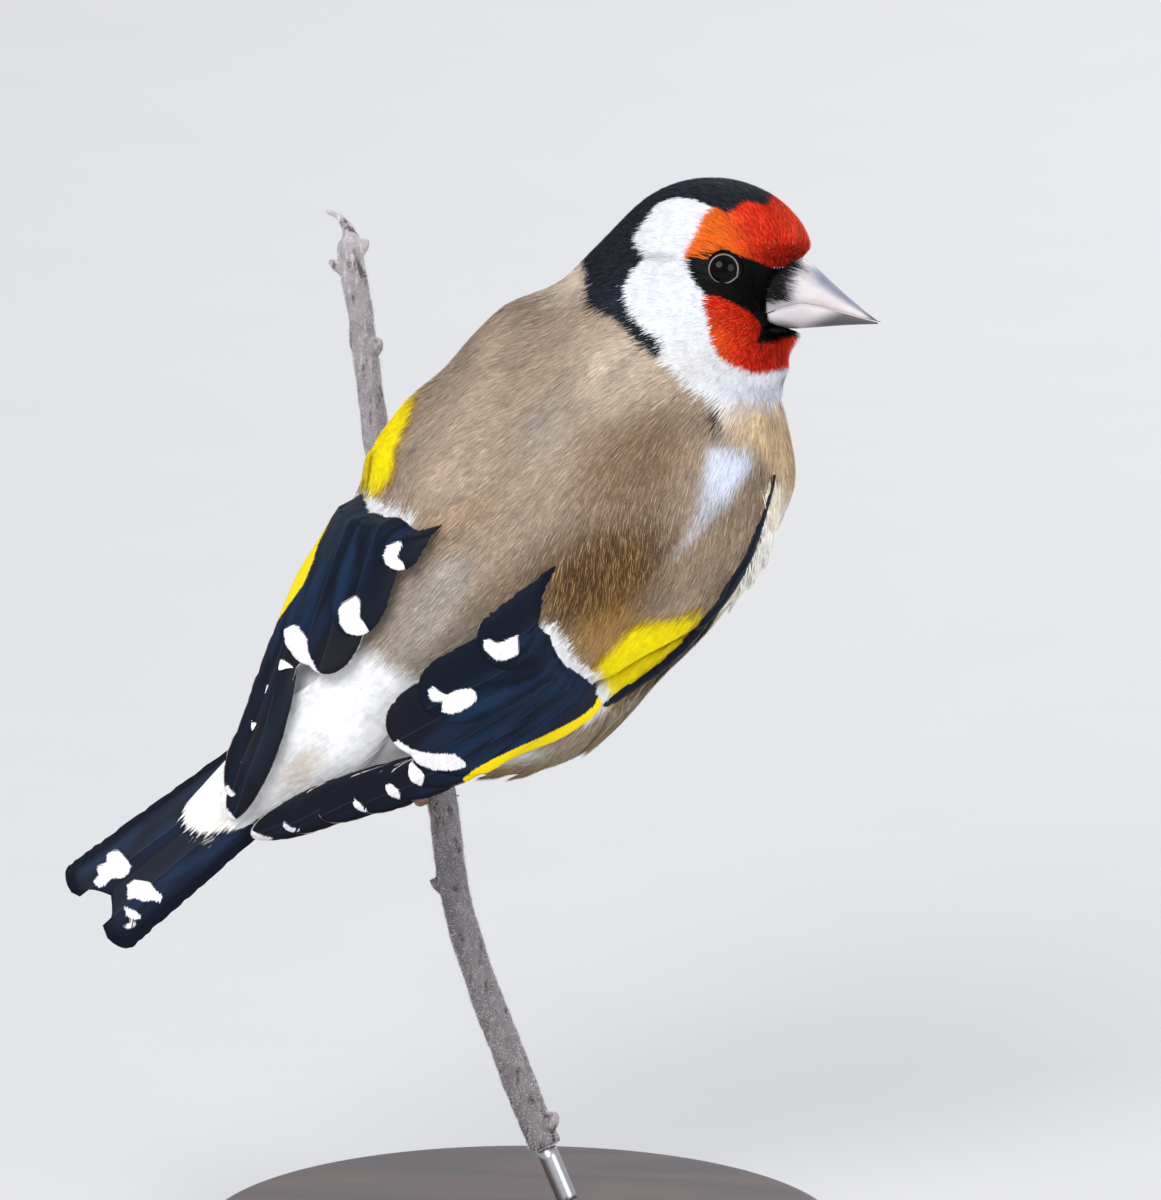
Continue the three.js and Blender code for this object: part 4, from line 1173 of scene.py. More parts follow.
@dataclass(frozen=True)
class BarkFinish:
    """Grey, downy bark with darker flecks and long fibres."""

    name: str = "downy_bark"
    base: tuple[int, int, int] = (118, 112, 114)
    pale: tuple[int, int, int] = (178, 174, 176)
    dark: tuple[int, int, int] = (66, 58, 58)
    middle: tuple[int, int, int] = (136, 130, 132)

    def build(self) -> bpy.types.Material:
        """Makes the material."""
        material, wiring, shader = principled(self.name)
        place = wiring.place()
        long = wiring.stretch(place, (1.0, 1.0, 0.3))
        fibres = wiring.noise(long, 1700.0, 4.0, 0.65)
        blotch = wiring.noise(place, 420.0, 4.0, 0.6)
        flecks = wiring.noise(long, 900.0, 2.0, 0.5)
        patches = wiring.smooth(blotch, 0.35, 0.65)
        base = wiring.blend(patches, rgba(tone(*self.base)), rgba(tone(*self.middle)))
        base = wiring.blend(wiring.smooth(flecks, 0.56, 0.7), base, rgba(tone(*self.dark)))
        down = wiring.math("MULTIPLY", wiring.smooth(fibres, 0.5, 0.72), 0.6)
        base = wiring.blend(down, base, rgba(tone(*self.pale)))
        tint = wiring.attribute("Tint").outputs["Color"]
        wiring.feed(shader.inputs["Base Color"], wiring.blend(1.0, base, tint, "MULTIPLY"))
        wiring.feed(shader.inputs["Roughness"], wiring.math("MULTIPLY_ADD", fibres, 0.2, 0.74))
        shader.inputs["Sheen Weight"].default_value = 0.3
        shader.inputs["Sheen Roughness"].default_value = 0.4
        bump(wiring, shader, wiring.math("MULTIPLY_ADD", fibres, 0.5, blotch), 0.6, 0.12)
        return material


@dataclass(frozen=True)
class FuzzFinish:
    """White wool of the stem."""

    name: str = "stem_wool"
    low: tuple[int, int, int] = (196, 190, 194)
    high: tuple[int, int, int] = (244, 242, 244)

    def build(self) -> bpy.types.Material:
        """Makes the material."""
        material, wiring, shader = principled(self.name)
        noise = wiring.noise(wiring.place(), 500.0, 2.0)
        colour = wiring.blend(noise, rgba(tone(*self.low)), rgba(tone(*self.high)))
        wiring.feed(shader.inputs["Base Color"], colour)
        wiring.feed(shader.inputs["Roughness"], wiring.math("MULTIPLY_ADD", noise, 0.1, 0.8))
        return material


@dataclass(frozen=True)
class WoodFinish:
    """Dark stained wood with rings of grain under satin varnish."""

    name: str = "stained_wood"
    dark: tuple[int, int, int] = (38, 26, 20)
    light: tuple[int, int, int] = (84, 56, 38)

    def build(self) -> bpy.types.Material:
        """Makes the material."""
        material, wiring, shader = principled(self.name)
        place = wiring.place()
        board = wiring.stretch(place, (0.16, 1.0, 1.0))
        warp = wiring.noise(board, 26.0, 2.0)
        rings = wiring.math("FRACT", wiring.math("MULTIPLY", warp, 16.0))
        rings = wiring.smooth(wiring.math("ABSOLUTE", wiring.math("SUBTRACT", rings, 0.5)), 0.05, 0.5)
        pores = wiring.noise(wiring.stretch(place, (0.05, 1.0, 1.0)), 1600.0, 3.0, 0.7)
        half_rings = wiring.math("MULTIPLY", rings, 0.5)
        grain = wiring.math("MULTIPLY_ADD", wiring.smooth(pores, 0.35, 0.7), 0.5, half_rings)
        base = wiring.blend(grain, rgba(tone(*self.dark)), rgba(tone(*self.light)))
        wiring.feed(shader.inputs["Base Color"], base)
        wiring.feed(shader.inputs["Roughness"], wiring.math("MULTIPLY_ADD", pores, 0.2, 0.3))
        shader.inputs["Coat Weight"].default_value = 0.35
        shader.inputs["Coat Roughness"].default_value = 0.3
        bump(wiring, shader, pores, 0.15, 0.05)
        return material


@dataclass(frozen=True)
class SteelFinish:
    """Fine brushed steel."""

    name: str = "brushed_rod"

    def build(self) -> bpy.types.Material:
        """Makes the material."""
        material, wiring, shader = principled(self.name)
        lines = wiring.noise(wiring.stretch(wiring.place(), (1.0, 1.0, 14.0)), 700.0, 3.0, 0.6)
        base = wiring.blend(lines, (0.42, 0.42, 0.42, 1), (0.62, 0.61, 0.6, 1))
        wiring.feed(shader.inputs["Base Color"], base)
        wiring.feed(shader.inputs["Roughness"], wiring.math("MULTIPLY_ADD", lines, 0.2, 0.22))
        shader.inputs["Metallic"].default_value = 1.0
        bump(wiring, shader, lines, 0.1, 0.02)
        return material


@dataclass(frozen=True)
class FloorFinish:
    """Plain pale paper under the stand."""

    name: str = "pale_floor"

    def build(self) -> bpy.types.Material:
        """Makes the material."""
        material, wiring, shader = principled(self.name)
        noise = wiring.noise(wiring.place(), 40.0, 2.0)
        base = wiring.blend(noise, (0.6, 0.597, 0.59, 1), (0.62, 0.617, 0.61, 1))
        wiring.feed(shader.inputs["Base Color"], base)
        shader.inputs["Roughness"].default_value = 0.85
        return material


# Skin and coat


@dataclass
class Skin:
    """One closed skin over torso, neck and head, a coat's depth inside their surface."""

    shape: BirdShape
    plumage: Plumage
    voxel: float = 0.55
    body_depth: float = 0.75
    head_depth: float = 0.4
    swell: float = 1.04

    def seed_mesh(self) -> bpy.types.Mesh:
        """A closed net round all the masses, to be settled on the outline."""
        ball = bmesh.new()
        bmesh.ops.create_icosphere(ball, subdivisions=4, radius=1.0)
        corners = np.array([v.co for v in ball.verts])
        faces = np.array([[v.index for v in f.verts] for f in ball.faces])
        ball.free()
        parts = MeshParts()
        for mass in BODY_MASSES:
            parts.add(corners * np.array(mass.half) * self.swell + np.array(mass.at), triangles=faces)
        for mass in HEAD_MASSES:
            grown = corners * (np.array(mass.half) * self.swell + 0.6) + np.array(mass.at)
            parts.add(self.shape.space.from_head(grown), triangles=faces)
        made = parts.build("skin_seed")
        remesh = made.modifiers.new("net", "REMESH")
        remesh.mode = "VOXEL"
        remesh.voxel_size = self.voxel * MM
        mesh = evaluated(made)
        bpy.data.objects.remove(made)
        return mesh

    def depth(self, points: Array) -> Array:
        """How far the skin lies under the outline."""
        on_head = ramp(np.linalg.norm(self.shape.space.to_head(points), axis=-1), 17, 11)
        tail = ramp(-points[:, 0], 50, 60)
        return self.body_depth + (self.head_depth - self.body_depth) * on_head + tail

    def build(self, finish: bpy.types.Material) -> bpy.types.Object:
        """Makes the skin.

        Args:
            finish: its material.

        Returns:
            The skin, which stands for the nodes of flesh.
        """
        mesh = self.seed_mesh()
        points = read_points(mesh)
        limit, squeeze = self.shape.squeeze_x, self.shape.squeeze
        points[:, 0] = np.where(points[:, 0] < limit, limit + (points[:, 0] - limit) * squeeze, points[:, 0])
        points, _ = self.shape.settle(points, 0.0, 4)
        points, normals = self.shape.settle(points, -self.depth(points), 2)
        made = mesh_object("skin", self.shape.space.to_part(points), [tri_net(mesh)])
        self.points, self.normals = points, normals
        self.net = tri_net(made.data)
        colour = self.plumage.colours(points, normals)
        bright = brightness(colour)
        # Painted shade: the skin under the coat is darker than the plumage over it, less so under bright
        # plumage.
        add_tint(made, colour * (0.55 + 0.38 * ramp(bright, 0.2, 0.6))[:, None])
        return dressed(made, finish, Slot.BODY, "torso", "neck", "head")


@dataclass
class Strands:
    """Roots of the coat's strands with all that shapes them."""

    roots: Array
    normals: Array
    lie: Array
    length: Array
    width: Array
    colour: Array
    lift: Array

    def pick(self, mask: Array) -> "Strands":
        """The strands of a mask."""
        return Strands(*(getattr(self, key)[mask] for key in self.__dataclass_fields__))


@dataclass(frozen=True)
class Lock:
    """A pointed lock of feathers over the side: from and to in x and across, width, count and colour."""

    start: tuple[float, float]
    end: tuple[float, float]
    width: float
    count: int
    colour: tuple[int, int, int]


LOCKS = (
    Lock((25.2, 13.2), (17.4, 20.9), 1.5, 330, (240, 230, 212)),
    Lock((23.6, 15.0), (13.6, 23.6), 1.5, 420, (250, 246, 238)),
    Lock((20.6, 18.0), (10.4, 23.9), 1.4, 400, (248, 244, 236)),
    Lock((16.6, 20.6), (7.0, 25.0), 1.2, 400, (250, 248, 242)),
    Lock((-4, 24.1), (-19, 23.4), 1.0, 260, (160, 136, 106)),
    Lock((-12, 22.8), (-27.8, 20.1), 1.2, 300, (150, 128, 98)),
    Lock((-17, 20.6), (-30.6, 17.4), 1.2, 300, (146, 122, 92)),
)


# Where the long coverts over the tail end: the distance across, and x.
TAIL_COVERT_ENDS = ((-7.4, -57.2), (-6.6, -58.9), (-4.5, -59.7), (-2.3, -58.4), (-0.1, -55.8), (1, -54))


@dataclass
class Coat:
    """The small feathers: thin pointed strands that lie along the body, gathered feather by feather."""

    space: BirdSpace
    shape: BirdShape
    plumage: Plumage
    skin: Skin
    back_density: float = 48.0
    belly_density: float = 23.0
    head_density: float = 98.0
    eye_clear: float = 2.12
    tail_covert_count: int = 2600
    hind_end: float = -55.5

    def head_share(self, points: Array) -> Array:
        """1 on the head, falling to 0 behind it."""
        return ramp(np.linalg.norm(self.space.to_head(points), axis=-1), 17, 12)

    def density(self, points: Array) -> Array:
        """Strands to the square millimetre."""
        places = self.space.to_head(points)
        near = ramp(np.linalg.norm(places - np.array([1.0, 0, -1.0]), axis=-1), 16, 12)
        under = ramp(self.shape.ridge_angle(points), 104, 120)
        body = self.back_density + (self.belly_density - self.back_density) * under
        return body + (self.head_density - body) * near

    def scatter(self) -> tuple[Array, Array]:
        """Random roots over the skin, with their normals."""
        rng = np.random.default_rng(SEED)
        corners = self.skin.points[self.skin.net]
        edge_a, edge_b = corners[:, 1] - corners[:, 0], corners[:, 2] - corners[:, 0]
        area = np.linalg.norm(np.cross(edge_a, edge_b), axis=-1) / 2
        weight = area * self.density(corners.mean(axis=1))
        count = int(weight.sum())
        chosen = np.searchsorted(np.cumsum(weight) / weight.sum(), rng.random(count))
        chosen = np.minimum(chosen, len(area) - 1)
        u, v = rng.random(count), rng.random(count)
        flip = u + v > 1
        u, v = np.where(flip, 1 - u, u), np.where(flip, 1 - v, v)
        roots = corners[chosen, 0] + edge_a[chosen] * u[:, None] + edge_b[chosen] * v[:, None]
        near = self.skin.normals[self.skin.net[chosen]]
        w = np.stack([1 - u - v, u, v], axis=-1)[..., None]
        return roots, unit((near * w).sum(axis=1))

    def lie_of(self, roots: Array, normals: Array) -> Array:
        """The way that the feathers lie at each root."""
        x = roots[:, 0]
        across = self.space.across_back(roots)
        slant = 0.42 * ramp(across, -2, 6) * ramp(x, 2, 12)
        slant = slant + 0.95 * np.exp(-(((x - 2) / 8.5) ** 2 + ((across - 8) / 6.5) ** 2))
        slant = slant + 0.45 * ramp(across, 10, 15) * ramp(-x, 0, 5)
        slant = slant - 0.25 * ramp(-across, 8, 18) * ramp(x, -6, 8)
        slant = slant + 0.25 * ramp(-across, 9, 14) * ramp(-x, 6, 11)
        slant = slant * (normals[:, 2] > -0.3)
        rump = ramp(-x, 13, 22)
        slant = slant * (1 - rump) - 0.08 * rump
        body = np.stack([-np.ones_like(x), -slant, np.zeros_like(x)], axis=-1)
        fall = ramp(self.shape.ridge_angle(roots), 60, 110) * ramp(x, -30, -10) * (1 - ramp(x, 10, 24))
        body[:, 2] -= 0.2 * fall
        places = self.space.to_head(roots)
        away = places - np.array([11.5, 0.0, -2.2])
        away[:, 1] *= 0.8
        back = np.array([-1.0, 0.0, -0.35])
        reach = np.linalg.norm(away, axis=-1)
        away = mix(unit(away), np.tile(unit(back), (len(roots), 1)), 0.6 * ramp(reach, 9, 20))
        head = away @ self.space.head_in_bird
        on_head = ramp(np.linalg.norm(places - np.array([0, 0, -2.0]), axis=-1), 20, 12)
        lie = mix(unit(body), unit(head), on_head)
        return unit(lie - normals * dot(lie, normals))

    def lengths(self, roots: Array) -> Array:
        """Strand lengths by place."""
        places = self.space.to_head(roots)
        x = roots[:, 0]
        angle = self.shape.ridge_angle(roots)
        body = 4.4 + 0.6 * ramp(angle, 90, 130) - 1.1 * ramp(-x, 3, 9) * (1 - ramp(-x, 13, 20))
        body = body + 0.8 * ramp(-x, 48, 54)
        face = np.linalg.norm(places - np.array([10.0, 0, -2.0]), axis=-1)
        head = 0.85 + 1.6 * ramp(face, 3, 17)
        return body + (head - body) * self.head_share(roots)

    def trim(self, roots: Array, lie: Array, length: Array, rng: np.random.Generator) -> tuple[Array, Array]:
        """Keeps the coat off the bare flight feathers, the eyes and the hind end of the skin.

        Args:
            roots: the strands' roots.
            lie: their directions.
            length: their lengths.
            rng: where ragged edges draw from.

        Returns:
            Which strands stay, and their lengths.
        """
        keep = roots[:, 0] > self.hind_end
        some = np.flatnonzero(self.shape.ridge_angle(roots) < 97)
        x, across = roots[some, 0], self.space.across_back(roots[some])
        for bare, reach in ((RIGHT_BARE, 1.2), (LEFT_BARE, 1.2), (RIGHT_EDGE, 0.35)):
            keep[some] &= edge_gap(bare, x, across) < rng.normal(0, 0.1, len(some))
            ragged = reach * rng.uniform(0.5, 1.4, len(some))
            for share in (1.0, 0.75, 0.5):
                spot = roots[some] + lie[some] * (length[some] * share)[:, None]
                deep = edge_gap(bare, spot[:, 0], self.space.across_back(spot)) > ragged
                length[some] = np.where(deep, length[some] * (share - 0.2) / share, length[some])
        keep &= length > 0.6
        places = self.space.to_head(roots)
        for side in Side:
            off = places[:, [0, 2]] - self.space.eye_place
            keep &= (np.linalg.norm(off, axis=-1) > self.eye_clear) | (places[:, 1] * side.value < 2)
        return keep, length

    def gather(
        self, roots: Array, lie: Array, normals: Array, on_head: Array, rng: np.random.Generator
    ) -> Array:
        """Finds each strand's place in its own small feather.

        Args:
            roots: the strands' roots.
            lie: their directions.
            normals: the skin's normals there.
            on_head: share of the head at each root.
            rng: where the feathers' places draw from.

        Returns:
            For each strand its feather's number, and how far it stands across and along it.
        """
        chance = np.where(on_head > 0.5, 1 / 110.0, 1 / 210.0)
        middles = np.flatnonzero(rng.random(len(roots)) < chance)
        tree = KDTree(len(middles))
        for i, m in enumerate(middles):
            tree.insert(roots[m], i)
        tree.balance()
        nearest = np.array([tree.find(root)[1] for root in roots])
        offset = roots - roots[middles[nearest]]
        sideways = np.cross(normals, lie)
        across = (offset * sideways).sum(axis=1)
        along = (offset * lie).sum(axis=1)
        return np.stack([nearest, across, along], axis=-1)

    def fringe_share(self, roots: Array) -> Array:
        """1 just ahead of the coverts' ends, where the strands gather into teeth over the flight feathers."""
        across = self.space.across_back(roots)
        share = np.zeros(len(roots))
        for plan in (RIGHT_PLAN, LEFT_PLAN):
            ahead = roots[:, 0] - plan.front_x(across)
            wide = (across * plan.side.value * -1 > 4.4) & (self.shape.ridge_angle(roots) < 92)
            share = np.maximum(share, wide * ramp(ahead, 4.5, 1.0) * ramp(ahead, -1.5, -0.5))
        return share

    def grow(self) -> Strands:
        """All the strands that cover the skin."""
        rng = np.random.default_rng(SEED + 1)
        roots, normals = self.scatter()
        lie = self.lie_of(roots, normals)
        length = self.lengths(roots) * rng.uniform(0.75, 1.2, len(roots))
        keep, length = self.trim(roots, lie, length, rng)
        roots, normals, lie, length = roots[keep], normals[keep], lie[keep], length[keep]
        on_head = self.head_share(roots)
        fringe = self.fringe_share(roots)
        feather = self.gather(roots, lie, normals, on_head, rng)
        sideways = np.cross(normals, lie)
        opening = (0.1 + 0.12 * on_head) * (1 - fringe) - 0.34 * ramp(-roots[:, 0], 48, 52)
        fan = np.clip(feather[:, 1] * opening, -0.4, 0.4)
        teeth = np.sin(self.space.across_back(roots) * 4.6 + roots[:, 0] * 0.5)
        fan = fan + rng.normal(0, 0.055, len(roots)) + 0.16 * teeth * fringe
        lie = unit(lie + sideways * fan[:, None])
        spread = rng.normal(0, 0.14, len(roots)) * (1 - 0.4 * on_head) + 0.5
        aside = rng.normal(0, 0.16, len(roots)) * (1 - 0.6 * on_head)
        seat = roots + lie * (length * spread)[:, None] + sideways * aside[:, None]
        colour = self.tinted(self.plumage.colours(seat, normals), feather, roots, on_head, rng)
        width = np.where(self.shape.ridge_angle(roots) > 104, 0.24, 0.155) - 0.02 * on_head
        width = width * rng.uniform(0.85, 1.15, len(roots))
        lift = 0.04 + 0.18 * rng.random(len(roots)) + 0.4 * fringe
        return Strands(roots, normals, lie, length, width, colour, lift)

    def tinted(
        self, colour: Array, feather: Array, roots: Array, on_head: Array, rng: np.random.Generator
    ) -> Array:
        """Colours with small differences from feather to feather and strand to strand, and painted sheen and
        shadow.

        Args:
            colour: the plumage's colours.
            feather: what gather gives.
            roots: the strands' roots.
            on_head: share of the head at each root.
            rng: where the differences draw from.

        Returns:
            The colours.
        """
        count = len(roots)
        bright = brightness(colour)
        number = feather[:, 0].astype(int)
        per_feather = rng.normal(0, 1, number.max() + 1)[number]
        noise = np.where(bright > 0.6, 0.03, np.where(bright < 0.03, 0.3, 0.16))
        streaks = 0.08 * waves(roots * np.array([0.22, 1, 1]), 1.5, 41) * (bright < 0.6)
        factor = np.exp(per_feather * noise * 0.3 + rng.normal(0, 1, count) * noise + streaks)
        colour = colour * factor[:, None]
        # Painted sheen: some black strands are blended towards blue grey.
        bluish = (bright < 0.02) & (colour[:, 2] > 1.1 * colour[:, 0])
        sheen = np.where(bluish, rng.random(count) ** 4 * 0.5, 0)
        colour = mix(colour, BLUE_GREY_SHEEN, sheen)
        brown = (bright < 0.5) & (bright > 0.05) & (on_head < 0.5)
        rich = SCAPULARS.share(roots[:, 0], self.space.across_back(roots))
        dice = rng.random(count)
        pale = brown & (dice < 0.14 + 0.06 * rich)
        light = mix(np.tile(CREAM, (count, 1)), GOLDEN, rich)
        colour = np.where(pale[:, None], mix(colour, light, 0.34 + 0.2 * rich), colour)
        # Painted shade: a few brown strands are darkened as shadow streaks.
        dark = brown & (dice > 0.93 - 0.06 * rich)
        colour = np.where(dark[:, None], colour * (0.75 - 0.12 * rich)[:, None], colour)
        red = (colour[:, 0] > 6 * colour[:, 2] + 0.1) & (on_head > 0.5)
        for some, other, share in ((dice < 0.16, FLAME, 0.5), (dice > 0.86, DEEP_RED, 0.6)):
            colour = np.where((red & some)[:, None], mix(colour, other, np.full(count, share)), colour)
        return np.clip(colour, 0.0, 1.0)

    def locks(self) -> Strands:
        """The longer pointed locks along the breast and the flank."""
        rng = np.random.default_rng(SEED + 4)
        parts = []
        for lock in LOCKS:
            start, end = np.array(lock.start), np.array(lock.end)
            along = rng.random(lock.count) * 0.62
            run = end - start
            aside = np.array([-run[1], run[0]]) / np.hypot(*run)
            offset = rng.normal(0, 0.5, lock.count) * lock.width * (1 - 0.5 * along)
            seat = start + run * along[:, None] + aside * offset[:, None]
            aim = end + rng.normal(0, 0.16, (lock.count, 2)) + aside * (offset * 0.22)[:, None]
            aim = aim - run / np.hypot(*run) * (rng.random(lock.count) ** 2 * 2.4)[:, None]
            roots, normals = self.shape.settle(self.shape.seen(seat[:, 0], seat[:, 1]), -0.3, 2)
            ends = self.shape.seen(aim[:, 0], aim[:, 1])
            way = ends - roots
            length = np.linalg.norm(way, axis=-1)
            colour = tone(*lock.colour) * np.exp(rng.normal(0, 0.1, (lock.count, 1)))
            lift = 0.35 + 0.35 * along + 0.2 * rng.random(lock.count)
            width = np.full(lock.count, 0.17)
            parts.append(Strands(roots, normals, unit(way), length, width, np.clip(colour, 0, 1), lift))
        parts.append(self.tail_coverts(rng))
        keys = Strands.__dataclass_fields__
        return Strands(*(np.concatenate([getattr(part, key) for part in parts]) for key in keys))

    def tail_coverts(self, rng: np.random.Generator) -> Strands:
        """The long white coverts that end in points over the tail's root."""
        count = self.tail_covert_count
        x = rng.uniform(-56.6, -49.5, count)
        edge = ramp(-x, 50, 58)
        share = rng.random(count)
        across = (-7.1 + 0.8 * edge) * (1 - share) + (-0.2 - 2.6 * edge) * share
        end_across = across * 0.94 - 0.2 + 0.22 * np.sin(across * 7.5)
        reach = np.interp(end_across, *np.array(TAIL_COVERT_ENDS).T) - 0.7 * np.sin(across * 3.7) ** 2
        end_x = np.maximum(x - rng.uniform(3.2, 6, count), reach - rng.random(count) ** 3 * 0.8)
        height = 7.45 + 0.3 * ramp(x, -56, -50) + 0.15 * rng.random(count)
        c, s = math.cos(self.space.roll), math.sin(self.space.roll)
        roots = np.stack([x, -(across + height * s) / c, height], axis=-1)
        low = height - 0.25
        ends = np.stack([end_x, -(end_across + low * s) / c, low], axis=-1)
        length = np.linalg.norm(ends - roots, axis=-1)
        normals = np.tile([0.0, 0.0, 1.0], (count, 1))
        buff = 0.7 * ramp(across, -4.5, -1) * ramp(-x, 50, 55)
        colour = mix(np.tile(WHITE, (count, 1)), COVERT_BUFF, buff)
        colour = np.clip(colour * np.exp(rng.normal(0, 0.05, (count, 1))), 0, 1)
        width, lift = np.full(count, 0.2), np.full(count, 0.1)
        return Strands(roots, normals, unit(ends - roots), length, width, colour, lift)

    def chart(self, name: str, points: Array) -> Array:
        """Places of roots on an unwrap of the skin's own shape, filled out to the unit square.

        Args:
            name: the piece, which tells head from body.
            points: the roots.

        Returns:
            A place of 0 to 1 twice for each root.
        """
        if "head" in name:
            places = self.space.to_head(points)
            rim = np.arctan2(np.hypot(places[:, 0], places[:, 2]), np.abs(places[:, 1]))
            turn = np.arctan2(places[:, 2], places[:, 0])
            chart = np.stack([rim * np.cos(turn), rim * np.sin(turn)], axis=-1)
        else:
            chart = np.stack([self.shape.ridge_angle(points) / 180, points[:, 0] / 100], axis=-1)
        low, high = chart.min(axis=0), chart.max(axis=0)
        return 0.01 + 0.98 * (chart - low) / (high - low)

    def ribbon(self, strands: Strands) -> Array:
        """The five points of every strand: two at its root, two half way and its tip."""
        rng = np.random.default_rng(SEED + 2)
        half = (strands.length / 2)[:, None]
        middle = strands.roots + strands.lie * half
        rise = np.minimum(strands.lift * 0.6 - 0.2, 0.5)
        lowest = np.where(strands.roots[:, 0] < self.shape.squeeze_x, -0.12, -3.0)
        middle += strands.normals * np.maximum(rise - self.shape.distance(middle), lowest)[:, None]
        inward = strands.normals * dot(middle - strands.roots, strands.normals) * 0.4
        ahead = unit(middle - strands.roots - inward)
        tip = middle + ahead * half
        for share in (1.0, 0.7):
            gap = np.maximum(strands.lift - self.shape.distance(tip), lowest)
            tip += strands.normals * gap[:, None] * share
        bright = ramp(strands.colour.mean(axis=1), 0.3, 0.7)
        roll = (rng.normal(0, 0.24, len(half)) * (1 - 0.65 * bright))[:, None]
        side = np.cross(strands.normals, strands.lie)
        side = unit(side * np.cos(roll) + strands.normals * np.sin(roll))
        wide = side * (strands.width / 2)[:, None]
        pairs = [strands.roots - wide, strands.roots + wide, middle - wide * 0.95, middle + wide * 0.95, tip]
        return np.stack(pairs, axis=1)

    def piece(self, name: str, strands: Strands, finish: bpy.types.Material, slot: Slot) -> bpy.types.Object:
        """Makes one piece of the coat.

        Args:
            name: its name.
            strands: the strands in it.
            finish: its material.
            slot: its record slot.

        Returns:
            The piece.
        """
        count = len(strands.length)
        points = self.ribbon(strands)
        first = np.arange(count)[:, None] * 5
        triangles = np.concatenate([first + [0, 1, 3], first + [0, 3, 2], first + [2, 3, 4]])
        made = mesh_object(name, self.space.to_part(points.reshape(-1, 3)), [triangles], smooth=False)
        # Painted shade at each strand's root and painted light at its tip, both weaker on bright strands.
        shade = np.array([0.6, 0.6, 0.95, 0.95, 1.1])
        bright = brightness(strands.colour)[:, None]
        shade = shade + (1 - shade) * 0.9 * np.clip(bright * 1.3, 0, 1)
        colour = np.clip(strands.colour[:, None, :] * shade[..., None], 0, 1)
        add_tint(made, colour.reshape(-1, 3))
        patch = np.array([[0, 0], [0.003, 0], [0, 0.0015], [0.003, 0.0015], [0.0015, 0.003]]) - 0.0015
        spots = self.chart(name, strands.roots)[:, None, :] + patch
        add_bake_map(made, spots.reshape(-1, 2))
        return dressed(made, finish, slot)

    def build(self, finish: bpy.types.Material) -> list[bpy.types.Object]:
        """Makes the whole coat in pieces of less than 200,000 triangles."""
        strands = self.grow()
        roots = strands.roots
        places = self.space.to_head(roots)
        on_head = inside(HEAD_OUTLINE, places[:, 0], places[:, 2])
        angle = self.shape.ridge_angle(roots)
        left = roots[:, 1] > 0
        zones = {
            "coat_head_left": on_head & (places[:, 1] > 0),
            "coat_head_right": on_head & (places[:, 1] <= 0),
        }
        for label, side in (("left", left), ("right", ~left)):
            zones[f"coat_back_{label}"] = ~on_head & side & (angle < 60)
            zones[f"coat_side_{label}"] = ~on_head & side & (angle >= 60) & (angle < 105)
            zones[f"coat_belly_{label}"] = ~on_head & side & (angle >= 105)
        made = []
        for name, mask in zones.items():
            slot = Slot.HEAD if "head" in name else Slot.BODY
            made.append(self.piece(name, strands.pick(mask), finish, slot))
            log.info("%s: %d strands", name, int(mask.sum()))
        made.append(self.piece("coat_locks", self.locks(), finish, Slot.BODY))
        return made


# Flight feathers


Outline2D = tuple[tuple[float, float], ...]


@dataclass(frozen=True)
class Vane:
    """One flight feather over the back. Places are the bird's x and the distance across to its right."""

    root: tuple[float, float]
    middle: tuple[float, float]
    tip: tuple[float, float]
    width: float
    lift: tuple[float, float]
    spots: tuple[Outline2D, ...] = ()
    gold: Outline2D = ()
    rim: bool = False
    tip_start: float = 0.84
    slant: float = 0.0
    on_coat: bool = False


@dataclass(frozen=True)
class WingPlan:
    """What one folded wing shows: its front edge, its outer edge, its feathers' places and their spots."""

    side: Side
    front: Outline2D
    outer: Outline2D
    primaries: Outline2D
    secondaries: tuple[Outline2D, ...]
    tertials: tuple[Outline2D, ...]
    widths: tuple[float, ...]
    spots: dict[str, Outline2D]
    gold: Outline2D
    front_lift: float = 0.0

    def front_x(self, across: Array) -> Array:
        """The station where the flight feathers come out from under the coverts."""
        line = np.array(sorted(self.front, key=lambda place: place[1]))
        return np.interp(across, line[:, 1], line[:, 0])

    def outer_edge(self, x: float) -> float:
        """Distance across of the wing's outer edge at a station."""
        line = np.array(sorted(self.outer))
        return float(np.interp(x, line[:, 0], line[:, 1]))


